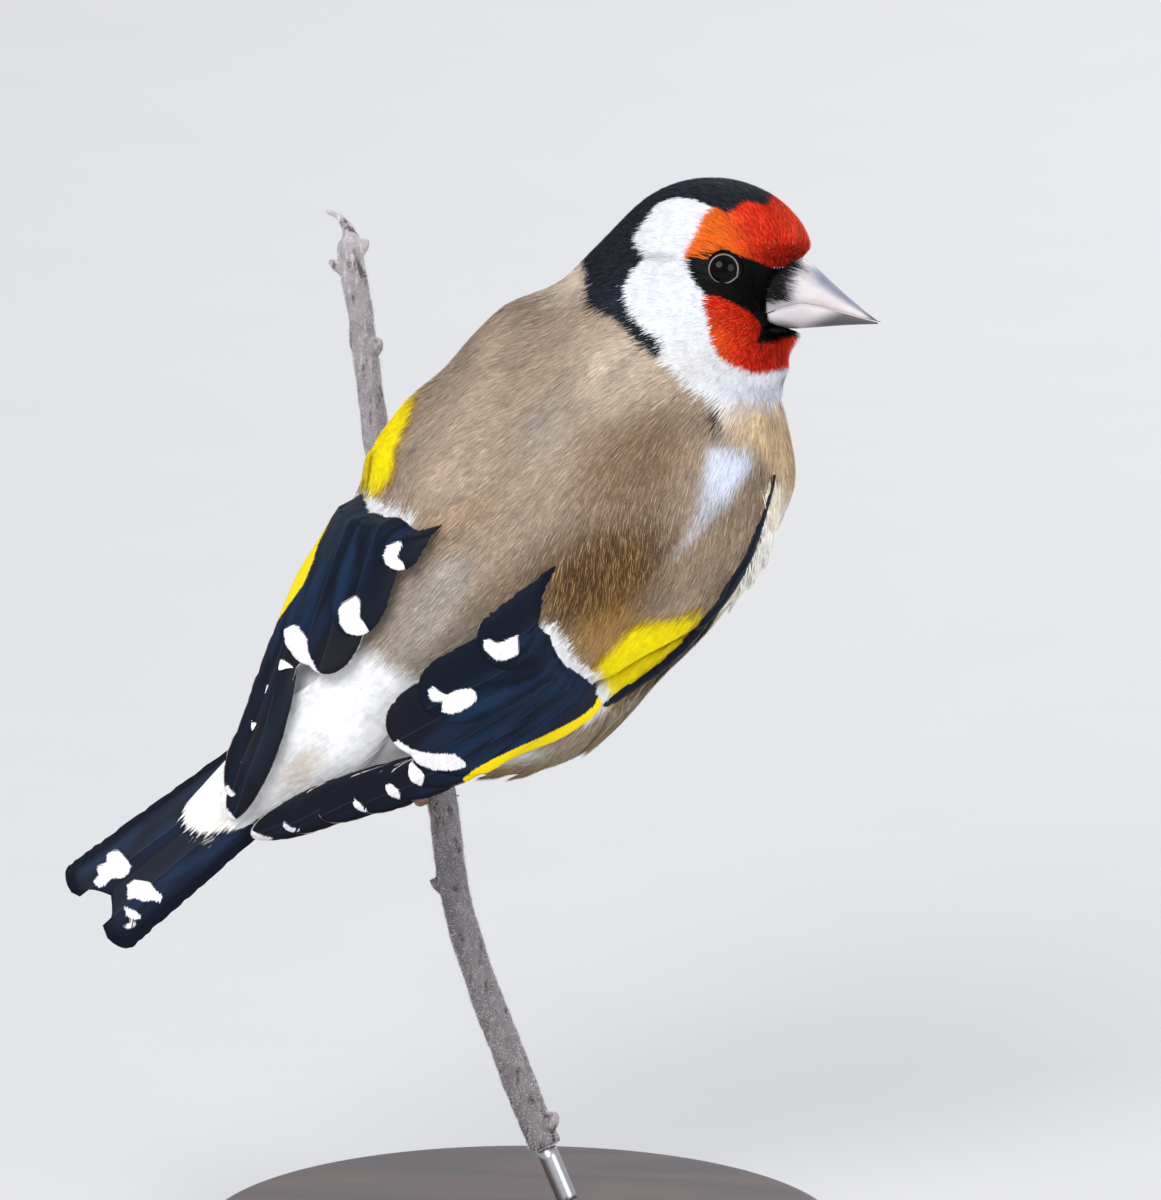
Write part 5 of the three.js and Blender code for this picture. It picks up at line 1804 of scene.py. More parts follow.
RIGHT_PLAN = WingPlan(
    side=Side.RIGHT,
    front=(
        (-3, 3), (-4, 4.9), (-5.6, 5.3), (-7.5, 6.3), (-9.9, 8.1), (-10.9, 8.6), (-11.2, 10), (-10.9, 10.9),
        (-11.8, 13.2), (-12.1, 15.1), (-11.8, 16.4), (-11, 18.2), (-10.7, 19.8), (-10.9, 20.6), (-11, 26),
    ),
    outer=(
        (-54.6, 3.1), (-52.5, 4.2), (-48.4, 6.6), (-42.9, 9.7), (-37.4, 12.8), (-33.5, 14.6), (-31.2, 15.6),
        (-27.4, 17.3), (-24.6, 18.3), (-21.5, 19.2), (-18.1, 20.2), (-14.7, 20.9), (-11, 21.2),
    ),
    primaries=((-36.0, 10.2), (-39.2, 9.4), (-43.3, 7.7), (-47.2, 5.6), (-51.3, 3.4), (-54.9, 1.5)),
    secondaries=(
        ((1.5, 19.3), (-15, 16.6), (-30.9, 13.5)),
        ((2, 18), (-15.5, 15.2), (-32.6, 11.6)),
        ((2.5, 16.5), (-16, 13.8), (-33.9, 9.0)),
    ),
    tertials=(
        ((2.5, 14.5), (-16, 10.7), (-34.2, 5.4)),
        ((2.3, 13.6), (-13.5, 10.0), (-28.4, 5.4)),
        ((3, 9.6), (-7.8, 8.1), (-18.7, 6.5)),
    ),
    widths=(6.2, 7.2, 8.0, 10.0, 10.2, 8.4),
    spots={
        "t1": (
            (-17.3, 5), (-16.6, 5.2), (-16.2, 6.6), (-14.8, 7.1), (-13.7, 7.6), (-14.3, 8.2), (-15.3, 9.3),
            (-17, 8.8), (-17.9, 7.9), (-17.9, 5.9),
        ),
        "t2": (
            (-26.4, 4.4), (-25.7, 4.6), (-25.3, 6.6), (-24.2, 6.9), (-22.7, 7.9), (-22.3, 8.7), (-23, 9.7),
            (-24.4, 9.7), (-26.6, 8.7), (-27.3, 7.6), (-26.2, 6.8), (-27.2, 5.8), (-27, 5.2),
        ),
        "row": (
            (-33.5, 6.2), (-33.2, 8.2), (-31.6, 10.6), (-29.7, 12.5), (-29.7, 14.6), (-31.2, 14),
            (-32.8, 12.4), (-33.6, 11), (-34.6, 8.8), (-34.8, 6.2),
        ),
        "p1": ((-34.8, 7.6), (-34.2, 9.6), (-34.3, 11.6), (-35.5, 12.6), (-36.4, 10.4), (-35.7, 8.4)),
        "p2": ((-39.1, 8.8), (-38.0, 9.4), (-37.9, 10.8), (-38.6, 11.6), (-39.7, 10)),
        "p3": ((-42.5, 6.7), (-42.5, 9.8), (-43.3, 9.6), (-44, 8), (-43.2, 7)),
        "p5": ((-51, 2.9), (-50.6, 4.6), (-50, 5.6), (-51.4, 5), (-51.8, 3.3)),
        "p6": ((-54.4, 1.2), (-54, 2.6), (-53.2, 3.9), (-54.8, 3.6), (-55.6, 1.8)),
    },
    gold=(
        (-11.4, 20.7), (-12.9, 20.7), (-15.8, 20.2), (-18.3, 19.4), (-21.2, 18.4), (-24, 17.3), (-26.8, 16.3),
        (-29.2, 15.6), (-31.4, 15.3), (-31.4, 19), (-20, 25), (-9, 25), (-9, 20.8),
    ),
)
LEFT_PLAN = WingPlan(
    side=Side.LEFT,
    front=(
        (-9, -8), (-9.9, -9.1), (-12.6, -11.1), (-13.3, -12), (-13.6, -14.7), (-14.7, -15.9), (-15.2, -17.3),
        (-16, -18.1), (-15.2, -20.4), (-14.8, -22), (-14.8, -28),
    ),
    outer=(
        (-55.1, -3), (-53.1, -4.8), (-49.6, -7.1), (-46.4, -8.8), (-41.7, -11.2), (-38.3, -13.3),
        (-35.2, -14.9), (-30.4, -17.1), (-25.4, -19), (-20.4, -20.5), (-16.6, -21), (-12.5, -21.9),
    ),
    primaries=((-37.9, -10.2), (-41.2, -9.4), (-45.6, -7.4), (-49.4, -5.6), (-53.3, -3.6), (-55.2, -1.4)),
    secondaries=(
        ((1, -22), (-16.5, -18.8), (-33.6, -12.9)),
        ((1, -21.6), (-17, -18), (-35.2, -10.7)),
        ((1, -21), (-17, -17), (-35.3, -8.8)),
    ),
    tertials=(
        ((1, -20.5), (-17, -15.4), (-34.6, -6.2)),
        ((0, -19), (-14, -14.6), (-28.8, -7.1)),
        ((-2, -15.5), (-10.6, -12.3), (-19.3, -9.6)),
    ),
    widths=(5.6, 6.6, 7.4, 9.0, 9.0, 7.0),
    spots={
        "t1": (
            (-17.3, -11.9), (-15.7, -11.1), (-16, -10.5), (-17.4, -9.9), (-17.5, -8.5), (-18, -8.1),
            (-18.8, -8.8), (-19.2, -10.3), (-18.6, -11.3),
        ),
        "t2": (
            (-26.7, -10.7), (-24.5, -10.2), (-24.6, -9.3), (-26.1, -7.8), (-26.1, -7), (-26.6, -5.5),
            (-27.8, -6.3), (-28.7, -7.7), (-28.4, -9.2), (-27.5, -10.3),
        ),
        "row": (
            (-32.9, -13.3), (-32.3, -12.7), (-32.6, -10.8), (-33.9, -9), (-34.8, -6), (-35.6, -6.8),
            (-35.8, -9.4), (-35.9, -11.6), (-34, -13.6),
        ),
        "p1": ((-38.4, -11.9), (-37.2, -11.9), (-36.6, -10.8), (-36.3, -8.4), (-37.6, -9), (-38.2, -10.2)),
        "p2": ((-41, -10.9), (-39.9, -9.8), (-39.3, -8), (-40.2, -8.4), (-41.3, -8.8), (-41.4, -10)),
        "p3": ((-45, -8.8), (-44.5, -7.4), (-44.2, -6), (-45.4, -6.4), (-45.9, -7.6)),
        "p5": ((-52.5, -5), (-52.8, -3.1), (-53.8, -3.2), (-53.6, -5)),
        "p6": ((-54.6, -3.2), (-54.9, -1.2), (-54.3, 0.5), (-55.8, 0), (-56.2, -2.2)),
    },
    gold=(
        (-13.3, -18.9), (-14.9, -20.5), (-17, -20.3), (-19.5, -19.4), (-23.9, -17.9), (-25, -17.1),
        (-28.1, -15.8), (-30, -15.5), (-35.4, -14.6), (-35.4, -19), (-20, -26), (-11, -26),
    ),
    front_lift=1.3,
)
EDGE_VANES = (
    ((22.8, 15.8), (14.5, 20.3), (3.6, 22.6), 1.0),
    ((9.5, 21.3), (1.4, 22.95), (-6.5, 22.3), 1.0),
    ((2, 23.0), (-5, 22.55), (-12.4, 20.9), 0.9),
)


class VaneMaker:
    """Makes thin closed vanes with a shaft ridge and the attributes that their finish reads."""

    rows = 46
    thickness = 0.12
    across_steps = (
        -1, -0.96, -0.84, -0.68, -0.5, -0.32, -0.15, -0.05, 0, 0.05, 0.15, 0.32, 0.5, 0.68, 0.84, 0.96, 1,
    )

    def __init__(self, space: BirdSpace) -> None:
        """Starts with no feathers."""
        self.space = space
        self.parts = MeshParts()
        self.vane_values: list[Array] = []
        self.mark_values: list[Array] = []
        self.rng = np.random.default_rng(SEED + 3)

    def half_width(self, t: Array, vane: Vane) -> Array:
        """Half width along a feather: a narrow root, even sides and a rounded tip."""
        root = 0.4 + 0.6 * ramp(t, 0, 0.25) if not vane.on_coat else 0.1 + 0.9 * ramp(t, 0, 0.6)
        q = np.clip((t - vane.tip_start) / (1 - vane.tip_start), 0, 1)
        return vane.width / 2 * root * np.sqrt(np.clip(1 - q**2.2, 0.0, 1)) + 0.02

    def gap_of(self, outlines: tuple[Outline2D, ...], points: Array) -> Array:
        """Depth of points inside any of some outlines over the back."""
        gap = np.full(points.shape[:2], -3.0)
        for outline in outlines:
            inner = edge_gap(list(outline), points[..., 0], self.space.across_back(points))
            gap = np.maximum(gap, inner)
        return gap

    def add(
        self, surface: Callable, length: float, vane: Vane, outward: int, fit: Callable | None = None
    ) -> None:
        """Adds one feather.

        Args:
            surface: gives points for arrays of share along, distance across and height.
            length: the feather's length.
            vane: its sizes and marks.
            outward: the sign of across on its outer web.
            fit: moves the finished points, where they tuck under the coat.
        """
        t = 1 - (1 - np.linspace(0, 1, self.rows)) ** 1.5
        v = np.array(self.across_steps)
        half = self.half_width(t, vane)
        nicks = 1 - 0.03 * np.abs(self.rng.normal(size=(self.rows, 1))) * (np.abs(v) > 0.9)
        across = half[:, None] * v[None, :] * nicks
        along = t[:, None] + vane.slant / length * v[None, :] * outward * ramp(t, 0.7, 1)[:, None]
        ridge = 0.08 * (np.abs(v) < 0.01) + 0.03 * (np.abs(np.abs(v) - 0.05) < 0.01)
        camber = (0.3 * (1 - v**2) + ridge)[None, :] + 0 * along
        edge_thin = np.where(np.abs(v) > 0.95, 0.35, 1.0)
        top = surface(along, across, camber + self.thickness * edge_thin[None, :])
        low = surface(along, across, camber * 0.9)
        marks_at = top
        if fit:
            top, low = fit(top), fit(low) - (top - low) * 0.5
        self.add_sheet(top, low)
        back = np.repeat((1 - t)[:, None] * length, len(v), axis=1)
        outer = across * outward
        edge = np.minimum(half[:, None] - np.abs(across), np.sqrt(np.maximum(back, 0)) * 0.8)
        spot = self.gap_of(vane.spots, marks_at)
        gold = self.gap_of((vane.gold,) if vane.gold else (), marks_at)
        number = self.rng.random() + (1.0 if vane.rim else 0.0)
        values = np.stack([back, outer, edge], axis=-1).reshape(-1, 3)
        marks = np.stack([spot, gold, np.full(across.shape, number)], axis=-1).reshape(-1, 3)
        self.vane_values += [values, values]
        self.mark_values += [marks, marks]

    def add_sheet(self, top: Array, low: Array) -> None:
        """Adds a closed sheet between two grids of points."""
        rows, columns = top.shape[:2]
        index = np.arange(rows * columns).reshape(rows, columns)
        a, b = index[:-1, :-1].ravel(), index[:-1, 1:].ravel()
        c, d = index[1:, 1:].ravel(), index[1:, :-1].ravel()
        offset = rows * columns
        upper = np.stack([a, b, c, d], axis=-1)
        rim = np.concatenate([index[0], index[1:, -1], index[-1, -2::-1], index[-2:0:-1, 0]])
        following = np.roll(rim, -1)
        border = np.stack([rim, rim + offset, following + offset, following], axis=-1)
        quads = [upper, upper[:, ::-1] + offset, border]
        points = np.concatenate([top.reshape(-1, 3), low.reshape(-1, 3)])
        middle = columns // 2
        normal = np.cross(top[-2, middle] - top[1, middle], top[rows // 2, -1] - top[rows // 2, 0])
        outward = (top - low).mean(axis=(0, 1))
        quads = np.concatenate(quads)
        if normal @ outward > 0:
            quads = quads[:, ::-1]
        self.parts.add(points, quads)

    def build(self, name: str) -> bpy.types.Object:
        """All the feathers as one object."""
        self.parts.points = [self.space.to_part(points) for points in self.parts.points]
        made = self.parts.build(name)
        add_vector(made, "Vane", np.concatenate(self.vane_values))
        add_vector(made, "Marks", np.concatenate(self.mark_values))
        return made


@dataclass
class Wing:
    """One folded wing: primaries, secondaries, tertials and the dark feathers of its leading edge."""

    plan: WingPlan
    space: BirdSpace
    shape: BirdShape
    tip_lift: float

    def over_bed(self, vane: Vane) -> tuple[Callable, float]:
        """The surface that a vane is laid on.

        Args:
            vane: the feather.

        Returns:
            A function from share along, distance across and height to points, and the feather's length.
        """
        if vane.on_coat:
            return self.over_coat(vane)
        side = self.plan.side
        places = (vane.root, vane.middle, vane.tip)
        start, middle, end = (self.shape.bed_angle(*place, side) for place in places)
        run = vane.tip[0] - vane.root[0]
        share = (vane.middle[0] - vane.root[0]) / run
        curve = np.polyfit([0, share, 1], [start, middle, end], 2)
        radius = float(np.linalg.norm(
            self.shape.on_bed(vane.middle[0], middle, side, 1.0) - self.shape.bed_centre(vane.middle[0])))
        arc = math.radians(end - start) * radius
        length = math.hypot(run, arc)

        def surface(along: Array, across: Array, height: Array) -> Array:
            """Points of the feather, whose across grows towards the bird's side."""
            slope = np.radians(np.polyval(np.polyder(curve), np.clip(along, 0, 1))) * radius
            norm = np.hypot(run, slope)
            x = vane.root[0] + run * along + across * slope / norm
            angle = np.polyval(curve, along)
            centre = self.shape.bed_centre(x)
            reach = np.linalg.norm(self.shape.on_bed(x, angle, side, 1.0) - centre, axis=-1)
            angle = angle + np.degrees(across * (-run / norm) / reach)
            lift = vane.lift[0] + (vane.lift[1] - vane.lift[0]) * along
            return self.shape.on_bed(x, angle, side, height + lift)

        return surface, length

    def over_coat(self, vane: Vane) -> tuple[Callable, float]:
        """The surface and length of a vane that lies on the coat, along its places as the back is seen."""
        places = np.array([vane.root, vane.middle, vane.tip])
        run = vane.tip[0] - vane.root[0]
        curve = np.polyfit((places[:, 0] - vane.root[0]) / run, places[:, 1], 2)

        def surface(along: Array, across: Array, height: Array) -> Array:
            """Points of the feather."""
            slope = np.polyval(np.polyder(curve), along)
            norm = np.hypot(run, slope)
            x = vane.root[0] + run * along + across * slope / norm
            aside = np.polyval(curve, along) - across * run / norm
            flat = self.shape.seen(x.ravel(), aside.ravel())
            level = height + vane.lift[0] + (vane.lift[1] - vane.lift[0]) * along
            return self.shape.settle(flat, level.ravel(), 3)[0].reshape(*height.shape, 3)

        return surface, math.hypot(run, vane.tip[1] - vane.root[1])

    def tucked(self, points: Array) -> Array:
        """Points with those ahead of the wing's front edge pushed under the coat."""
        flat = points.reshape(-1, 3)
        ahead = flat[:, 0] - self.plan.front_x(self.space.across_back(flat))
        over = ramp(ahead, -3.4, 0.8)
        near = over > 0
        moved = flat.copy()
        level = self.shape.distance(flat[near])
        drop = np.maximum(level + 0.55, 0) * over[near]
        moved[near] -= unit(self.shape.slope(flat[near])) * drop[:, None]
        return moved.reshape(points.shape)

    def feathers(self) -> list[Vane]:
        """The wing's feathers, from the lowest to the highest."""
        plan = self.plan
        sign = -plan.side.value
        lift = self.tip_lift
        vanes: list[Vane] = []
        count = len(plan.primaries)
        for i, tip in reversed(list(enumerate(plan.primaries))):
            order = i / (count - 1)
            width = 6.4 - 1.2 * order
            root = (2 - 3 * order, sign * (17.6 + 3.4 * order))
            middle_x = (root[0] + tip[0]) / 2
            edge = abs(plan.outer_edge(middle_x)) - 0.38 * width - 0.25 * (count - 1 - i)
            spot = plan.spots.get(f"p{i + 1}")
            vanes.append(Vane(
                root, (middle_x, sign * edge), tip, width,
                (1.15 - 0.35 * order + plan.front_lift, 1.35 - 0.5 * order + lift),
                spots=(spot,) if spot else (), gold=plan.gold, rim=True, tip_start=0.86))
        for i, (root, middle, tip) in enumerate(plan.secondaries):
            vanes.append(Vane(
                root, middle, tip, plan.widths[i],
                (1.3 + 0.12 * i + 0.6 * plan.front_lift, 1.5 + 0.15 * i + lift * 0.8),
                spots=(plan.spots["row"],), gold=plan.gold, tip_start=0.88))
        for i, (root, middle, tip) in enumerate(plan.tertials):
            vanes.append(Vane(
                root, middle, tip, plan.widths[3 + i],
                (1.75 + 0.2 * i, 2.0 + 0.3 * i + lift * (0.8 - 0.3 * i)),
                spots=(plan.spots[("row", "t2", "t1")[i]],), rim=i == 0, tip_start=0.8))
        if plan.side is Side.RIGHT:
            vanes += [Vane(*given, (0.0, 0.1 + 0.06 * i), on_coat=True) for i, given in enumerate(EDGE_VANES)]
        return vanes

    def build(self, finish: bpy.types.Material) -> bpy.types.Object:
        """Makes the wing's flight feathers."""
        maker = VaneMaker(self.space)
        for vane in self.feathers():
            surface, length = self.over_bed(vane)
            maker.add(surface, length, vane, 1, None if vane.on_coat else self.tucked)
        name = self.plan.side.name.lower()
        made = maker.build(f"flight_feathers_{name}")
        return dressed(made, finish, Slot.FLIGHT, f"wing_{name}")


TAIL_SPOTS = (
    (
        (-68, -9), (-68, -7.6), (-68.2, -6.1), (-69.3, -5.8), (-70.4, -5.9), (-70.9, -6.9), (-71.9, -6.7),
        (-73.2, -7.1), (-73, -8.1), (-71.9, -8.3), (-71.4, -9.2), (-70.2, -8.6), (-69.4, -9.4),
    ),
    (
        (-70.2, -4.9), (-69.2, -4.7), (-68, -3.1), (-68.2, -1.7), (-68.1, -0.6), (-69, -0.5), (-69.4, -1.3),
        (-70.2, -1.7), (-70.6, -2.9), (-71.6, -3.5),
    ),
    ((-72.4, -3.4), (-71.9, -2), (-71.7, -0.6), (-72.6, -1), (-73.2, -2)),
    ((-74.3, -1.7), (-73.4, -1.4), (-72.9, -0.5), (-73.7, -0.7), (-74.3, -1.2)),
)


@dataclass
class Tail:
    """Six pairs of tail feathers that part into two lobes, with white spots near their ends."""

    space: BirdSpace
    pairs: int = 6
    yaw: float = 6.5
    root: tuple[float, float, float] = (-42.5, 1.1, 5.6)
    length: float = 32.2
    width: float = 6.4

    def build(self, finish: bpy.types.Material) -> bpy.types.Object:
        """Makes the tail feathers."""
        maker = VaneMaker(self.space)
        for pair in reversed(range(self.pairs)):
            for side in (1, -1):
                self.add_feather(maker, pair, side)
        made = maker.build("tail_feathers")
        return dressed(made, finish, Slot.FLIGHT, "tail")

    def add_feather(self, maker: VaneMaker, pair: int, side: int) -> None:
        """Adds the feather of a pair on one side."""
        turn = math.radians(self.yaw + side * (1.9 + 0.2 * pair))
        heading = np.array([-math.cos(turn), math.sin(turn), 0.0])
        sideways = np.array([heading[1], -heading[0], 0.0])
        length = self.length + 0.12 * pair
        level = 0.7 - 0.3 * pair - (0.12 if side > 0 else 0)
        start = np.array(self.root) + sideways * side * (1.2 + 0.12 * pair)

        def surface(along: Array, across: Array, height: Array) -> Array:
            """Points of the feather."""
            middle = start + heading * (length * along)[..., None] + sideways * across[..., None]
            rise = level * ramp(along, 0, 0.5) + height
            return middle + np.array([0, 0, 1.0]) * rise[..., None]

        vane = Vane((0, 0), (0, 0), (1, 0), self.width, (0, 0), TAIL_SPOTS, tip_start=0.94, slant=1.4)
        maker.add(surface, length, vane, side)


# Bill and eyes


BILL_IVORY = tone(200, 195, 198)
BILL_GREY = tone(70, 68, 76)
BILL_SLATE = tone(112, 118, 140)
BILL_PINK = tone(214, 176, 164)
BILL_TIP = tone(46, 42, 48)
BILL_UNDER = tone(176, 168, 168)
BILL_EDGE = tone(30, 24, 30)
PUPIL_BLACK = tone(4, 3, 4)
IRIS_BROWN = tone(13, 8, 7)
EYE_BLACK = tone(6, 5, 6)
LID_GREY = tone(118, 118, 122)
LID_DARK = tone(34, 33, 34)


@dataclass
class Bill:
    """The cone of the bill in its two halves, in the head's frame."""

    space: BirdSpace
    root_x: float = 6.4
    tip_x: float = 22.0
    half_width: float = 3.7
    rings: int = 64
    arc_steps: int = 26
    gap: float = 0.12
    bristle_count: int = 420
    culmen: tuple = (
        (6.4, 4.4), (9, 4.0), (12, 3.1), (14, 1.7), (16, -0.2), (18, -2.0), (20, -3.7), (21.4, -4.8),
        (22, -5.2),
    )
    gape: tuple = (
        (6.4, -4.5), (8, -4.0), (9.8, -3.3), (12.2, -2.8), (14.5, -3.2), (17, -3.9), (20, -4.7), (22, -5.2),
    )
    gonys: tuple = (
        (6.4, -5.5), (9, -5.8), (11.5, -5.95), (14.3, -5.75), (17.7, -5.5), (20, -5.4), (21.5, -5.36),
    )

    def profile(self, points: tuple, x: Array) -> Array:
        """Height of a profile at x, smoothed through its points."""
        points = np.array(points)
        fine = np.linspace(points[0, 0], points[-1, 0], 200)
        z = np.interp(fine, points[:, 0], points[:, 1])
        kernel = np.hanning(17)
        padded = np.concatenate([2 * z[0] - z[1:9][::-1], z, 2 * z[-1] - z[-9:-1][::-1]])
        return np.interp(x, fine, np.convolve(padded, kernel / kernel.sum(), "valid"))

    def half(self, upper: bool) -> Array:
        """Rings of one half of the bill."""
        side = 1 if upper else -1
        end = self.tip_x if upper else self.tip_x - 0.35
        t = 1 - (1 - np.linspace(0, 1, self.rings)) ** 1.3
        x = self.root_x + (end - self.root_x) * t
        edge = self.profile(self.gape, x) + side * self.gap / 2
        ridge = np.maximum(side * (self.profile(self.culmen if upper else self.gonys, x) - edge), 0.1)
        narrow = np.clip((x - self.root_x) / (self.tip_x - self.root_x), 0, 1)
        width = np.maximum(self.half_width * (1 - narrow) ** 0.85 * (1.0 if upper else 0.93), 0.12)
        turn = np.linspace(0, math.pi, self.arc_steps)
        peak = np.sin(turn) ** 0.8
        tuck = 1 - 0.05 * np.cos(turn * 2) ** 2
        y = width[:, None] * np.cos(turn) * tuck
        z = edge[:, None] + side * ridge[:, None] * peak
        places = np.stack([np.repeat(x[:, None], self.arc_steps, axis=1), y, z], axis=-1)
        if upper:
            for flank in (1, -1):
                pit = np.linalg.norm(places - np.array([12.4, flank * 1.9, 0.9]), axis=-1)
                places[..., 1] -= flank * 0.5 * np.exp(-((pit / 0.42) ** 2))
        return places

    def colours(self, places: Array, upper: bool) -> Array:
        """Ivory, with a grey base, slate along the ridge, a pinkish cutting edge and a dark tip."""
        x, z = places[:, 0], places[:, 2]
        colour = np.tile(BILL_IVORY, (len(places), 1))
        colour = mix(colour, BILL_GREY, 0.9 * (1 - ramp(x, 8.4, 12.6)) * ramp(z, -4.2, -2))
        low = z - self.profile(self.gape, x)
        if upper:
            ridge = self.profile(self.culmen, x) - self.profile(self.gape, x)
            height = low / np.maximum(ridge, 0.2)
            colour = mix(colour, BILL_SLATE, 0.9 * ramp(height, 0.35, 0.85) * ramp(x, 11.5, 15))
            colour = mix(colour, BILL_PINK, 0.4 * (1 - ramp(height, 0, 0.35)) * ramp(x, 11, 15))
            colour = mix(colour, BILL_TIP, 0.95 * ramp(x, 19.4, 21.3))
        else:
            colour = mix(colour, BILL_UNDER, 0.6 * ramp(-low, 0.4, 2.2))
            dark = ramp(x + 1.3 * -low, 15, 18)
            colour = mix(colour, BILL_EDGE, 0.9 * dark)
        return colour

    def surface(self, x: Array, turn: Array) -> Array:
        """Places on the upper half at stations and degrees up from its cutting edge."""
        narrow = np.clip((x - self.root_x) / (self.tip_x - self.root_x), 0, 1)
        width = self.half_width * (1 - narrow) ** 0.85
        edge = self.profile(self.gape, x)
        rise = (self.profile(self.culmen, x) - edge) * np.sin(np.radians(turn)) ** 0.8
        return np.stack([x, width * np.cos(np.radians(turn)), edge + rise], axis=-1)

    def bristles(self, finish: bpy.types.Material) -> bpy.types.Object:
        """Makes the dark bristles that lie forward over the nostrils."""
        rng = np.random.default_rng(SEED + 6)
        parts = MeshParts()
        t = np.linspace(0, 1, 6)
        for side in Side:
            for _ in range(self.bristle_count):
                start, turn = rng.uniform(7.4, 9.2), rng.uniform(6, 84)
                reach = rng.uniform(1.6, 4.0) * (1.1 - 0.4 * abs(turn - 50) / 40)
                path = self.surface(start + reach * t, turn - rng.uniform(2, 12) * t)
                path = path * np.array([1, side.value, 1]) + np.array([0, side.value * 0.7, 0.4]) * 0.22
                parts.add_tube(self.space.to_part(self.space.from_head(path)), 0.055 * (1.05 - t), 3)
        made = parts.build("nasal_bristles")
        add_tint(made, np.tile(LORE_BLACK, (len(made.data.vertices), 1)))
        return dressed(made, finish, Slot.HEAD)

    def build(self, finish: bpy.types.Material) -> list[bpy.types.Object]:
        """Makes both halves of the bill."""
        made = []
        for upper, name in ((True, "upper"), (False, "lower")):
            rings = self.half(upper)
            count, sides = rings.shape[:2]
            places = rings.reshape(-1, 3)
            caps = np.concatenate([rings[:1].mean(axis=1), rings[-1:].mean(axis=1)])
            quads, triangles = ring_faces(count, sides), end_caps(count, sides)
            if not upper:
                quads, triangles = quads[:, ::-1], triangles[:, ::-1]
            places = np.concatenate([places, caps])
            part = self.space.to_part(self.space.from_head(places))
            piece = mesh_object(f"bill_horn_{name}", part, [quads, triangles])
            add_tint(piece, self.colours(places, upper))
            made.append(dressed(piece, finish, Slot.BILL, f"bill_{name}"))
        return made


@dataclass
class Eye:
    """An eyeball with its iris and pupil, and the grey rim of its lids."""

    side: Side
    space: BirdSpace
    at: tuple[float, float, float] = (2.28, 6.1, 1.42)
    radius: float = 2.75
    pupil: float = 1.25
    iris: float = 1.9
    lid_radius: float = 1.82
    lid_width: float = 0.24

    def frame_point(self, u: Array, v: Array, out: Array) -> Array:
        """Points of the part's frame from places round the eye's own axis."""
        places = np.stack([self.at[0] + u, self.side.value * (self.at[1] + out), self.at[2] + v], axis=-1)
        return self.space.to_part(self.space.from_head(places))

    def ball(self, finish: bpy.types.Material) -> bpy.types.Object:
        """Makes the eyeball, as rings round its axis from the front to the back."""
        rings, sides = 40, 56
        polar = np.linspace(0.02, math.pi - 0.02, rings)
        turn = np.arange(sides) / sides * 2 * math.pi
        rho = np.repeat((self.radius * np.sin(polar))[:, None], sides, axis=1)
        out = np.repeat((self.radius * np.cos(polar))[:, None], sides, axis=1)
        points = self.frame_point(rho * np.cos(turn), rho * np.sin(turn), out).reshape(-1, 3)
        ends = self.frame_point(np.zeros(2), np.zeros(2), np.array([self.radius, -self.radius]))
        quads, caps = ring_faces(rings, sides), end_caps(rings, sides)
        if self.side is Side.LEFT:
            quads, caps = quads[:, ::-1], caps[:, ::-1]
        name = self.side.name.lower()
        made = mesh_object(f"eyeball_{name}", np.concatenate([points, ends]), [quads, caps])
        reach = np.concatenate([np.where(out > 0, rho, 9.0).ravel(), [0.0, 9.0]])
        colour = np.tile(PUPIL_BLACK, (len(reach), 1))
        colour = mix(colour, IRIS_BROWN, ramp(reach, self.pupil, self.pupil + 0.15))
        colour = mix(colour, EYE_BLACK, ramp(reach, self.iris - 0.15, self.iris))
        add_tint(made, colour)
        return dressed(made, finish, Slot.EYE, f"eye_{name}")

    def lids(self, finish: bpy.types.Material) -> bpy.types.Object:
        """Makes the grey rim round the eye, with a fine beaded edge and a small notch in front."""
        sides, steps = 96, 9
        turn = np.arange(sides) / sides * 2 * math.pi
        notch = np.exp(-(((turn - 2 * math.pi + 0.5 + math.pi) % (2 * math.pi) - math.pi) / 0.16) ** 2)
        beads = 0.012 * np.sin(turn * 31)
        across = np.linspace(-1, 1, steps)
        middle = self.lid_radius + 0.06 * np.cos(turn) + 0.12 * notch
        rho = middle[:, None] + across[None, :] * self.lid_width / 2
        sphere = np.sqrt(self.radius**2 - np.minimum(rho, self.radius * 0.98) ** 2)
        out = sphere + 0.02 + (0.15 + beads[:, None]) * (1 - across[None, :] ** 2) ** 0.5
        low = sphere - 0.25
        top = self.frame_point(rho * np.cos(turn)[:, None], rho * np.sin(turn)[:, None], out)
        under = self.frame_point(rho * np.cos(turn)[:, None], rho * np.sin(turn)[:, None], low)
        ring = np.concatenate([top, under[:, ::-1]], axis=1)
        count = ring.shape[1]
        i, j = np.meshgrid(np.arange(sides), np.arange(count), indexing="ij")
        a, b = i * count + j, i * count + (j + 1) % count
        c, d = ((i + 1) % sides) * count + (j + 1) % count, ((i + 1) % sides) * count + j
        quads = np.stack([a, b, c, d], axis=-1).reshape(-1, 4)
        if self.side is Side.RIGHT:
            quads = quads[:, ::-1]
        made = mesh_object(f"lids_{self.side.name.lower()}", ring.reshape(-1, 3), [quads])
        shade = np.tile(LID_GREY, (len(made.data.vertices), 1))
        dark = np.concatenate([ramp(np.abs(across), 0.5, 1.0), np.ones(steps)])
        shade = mix(shade, LID_DARK, np.tile(dark, sides))
        add_tint(made, shade)
        return dressed(made, finish, Slot.HEAD)


# Stem, legs and feet


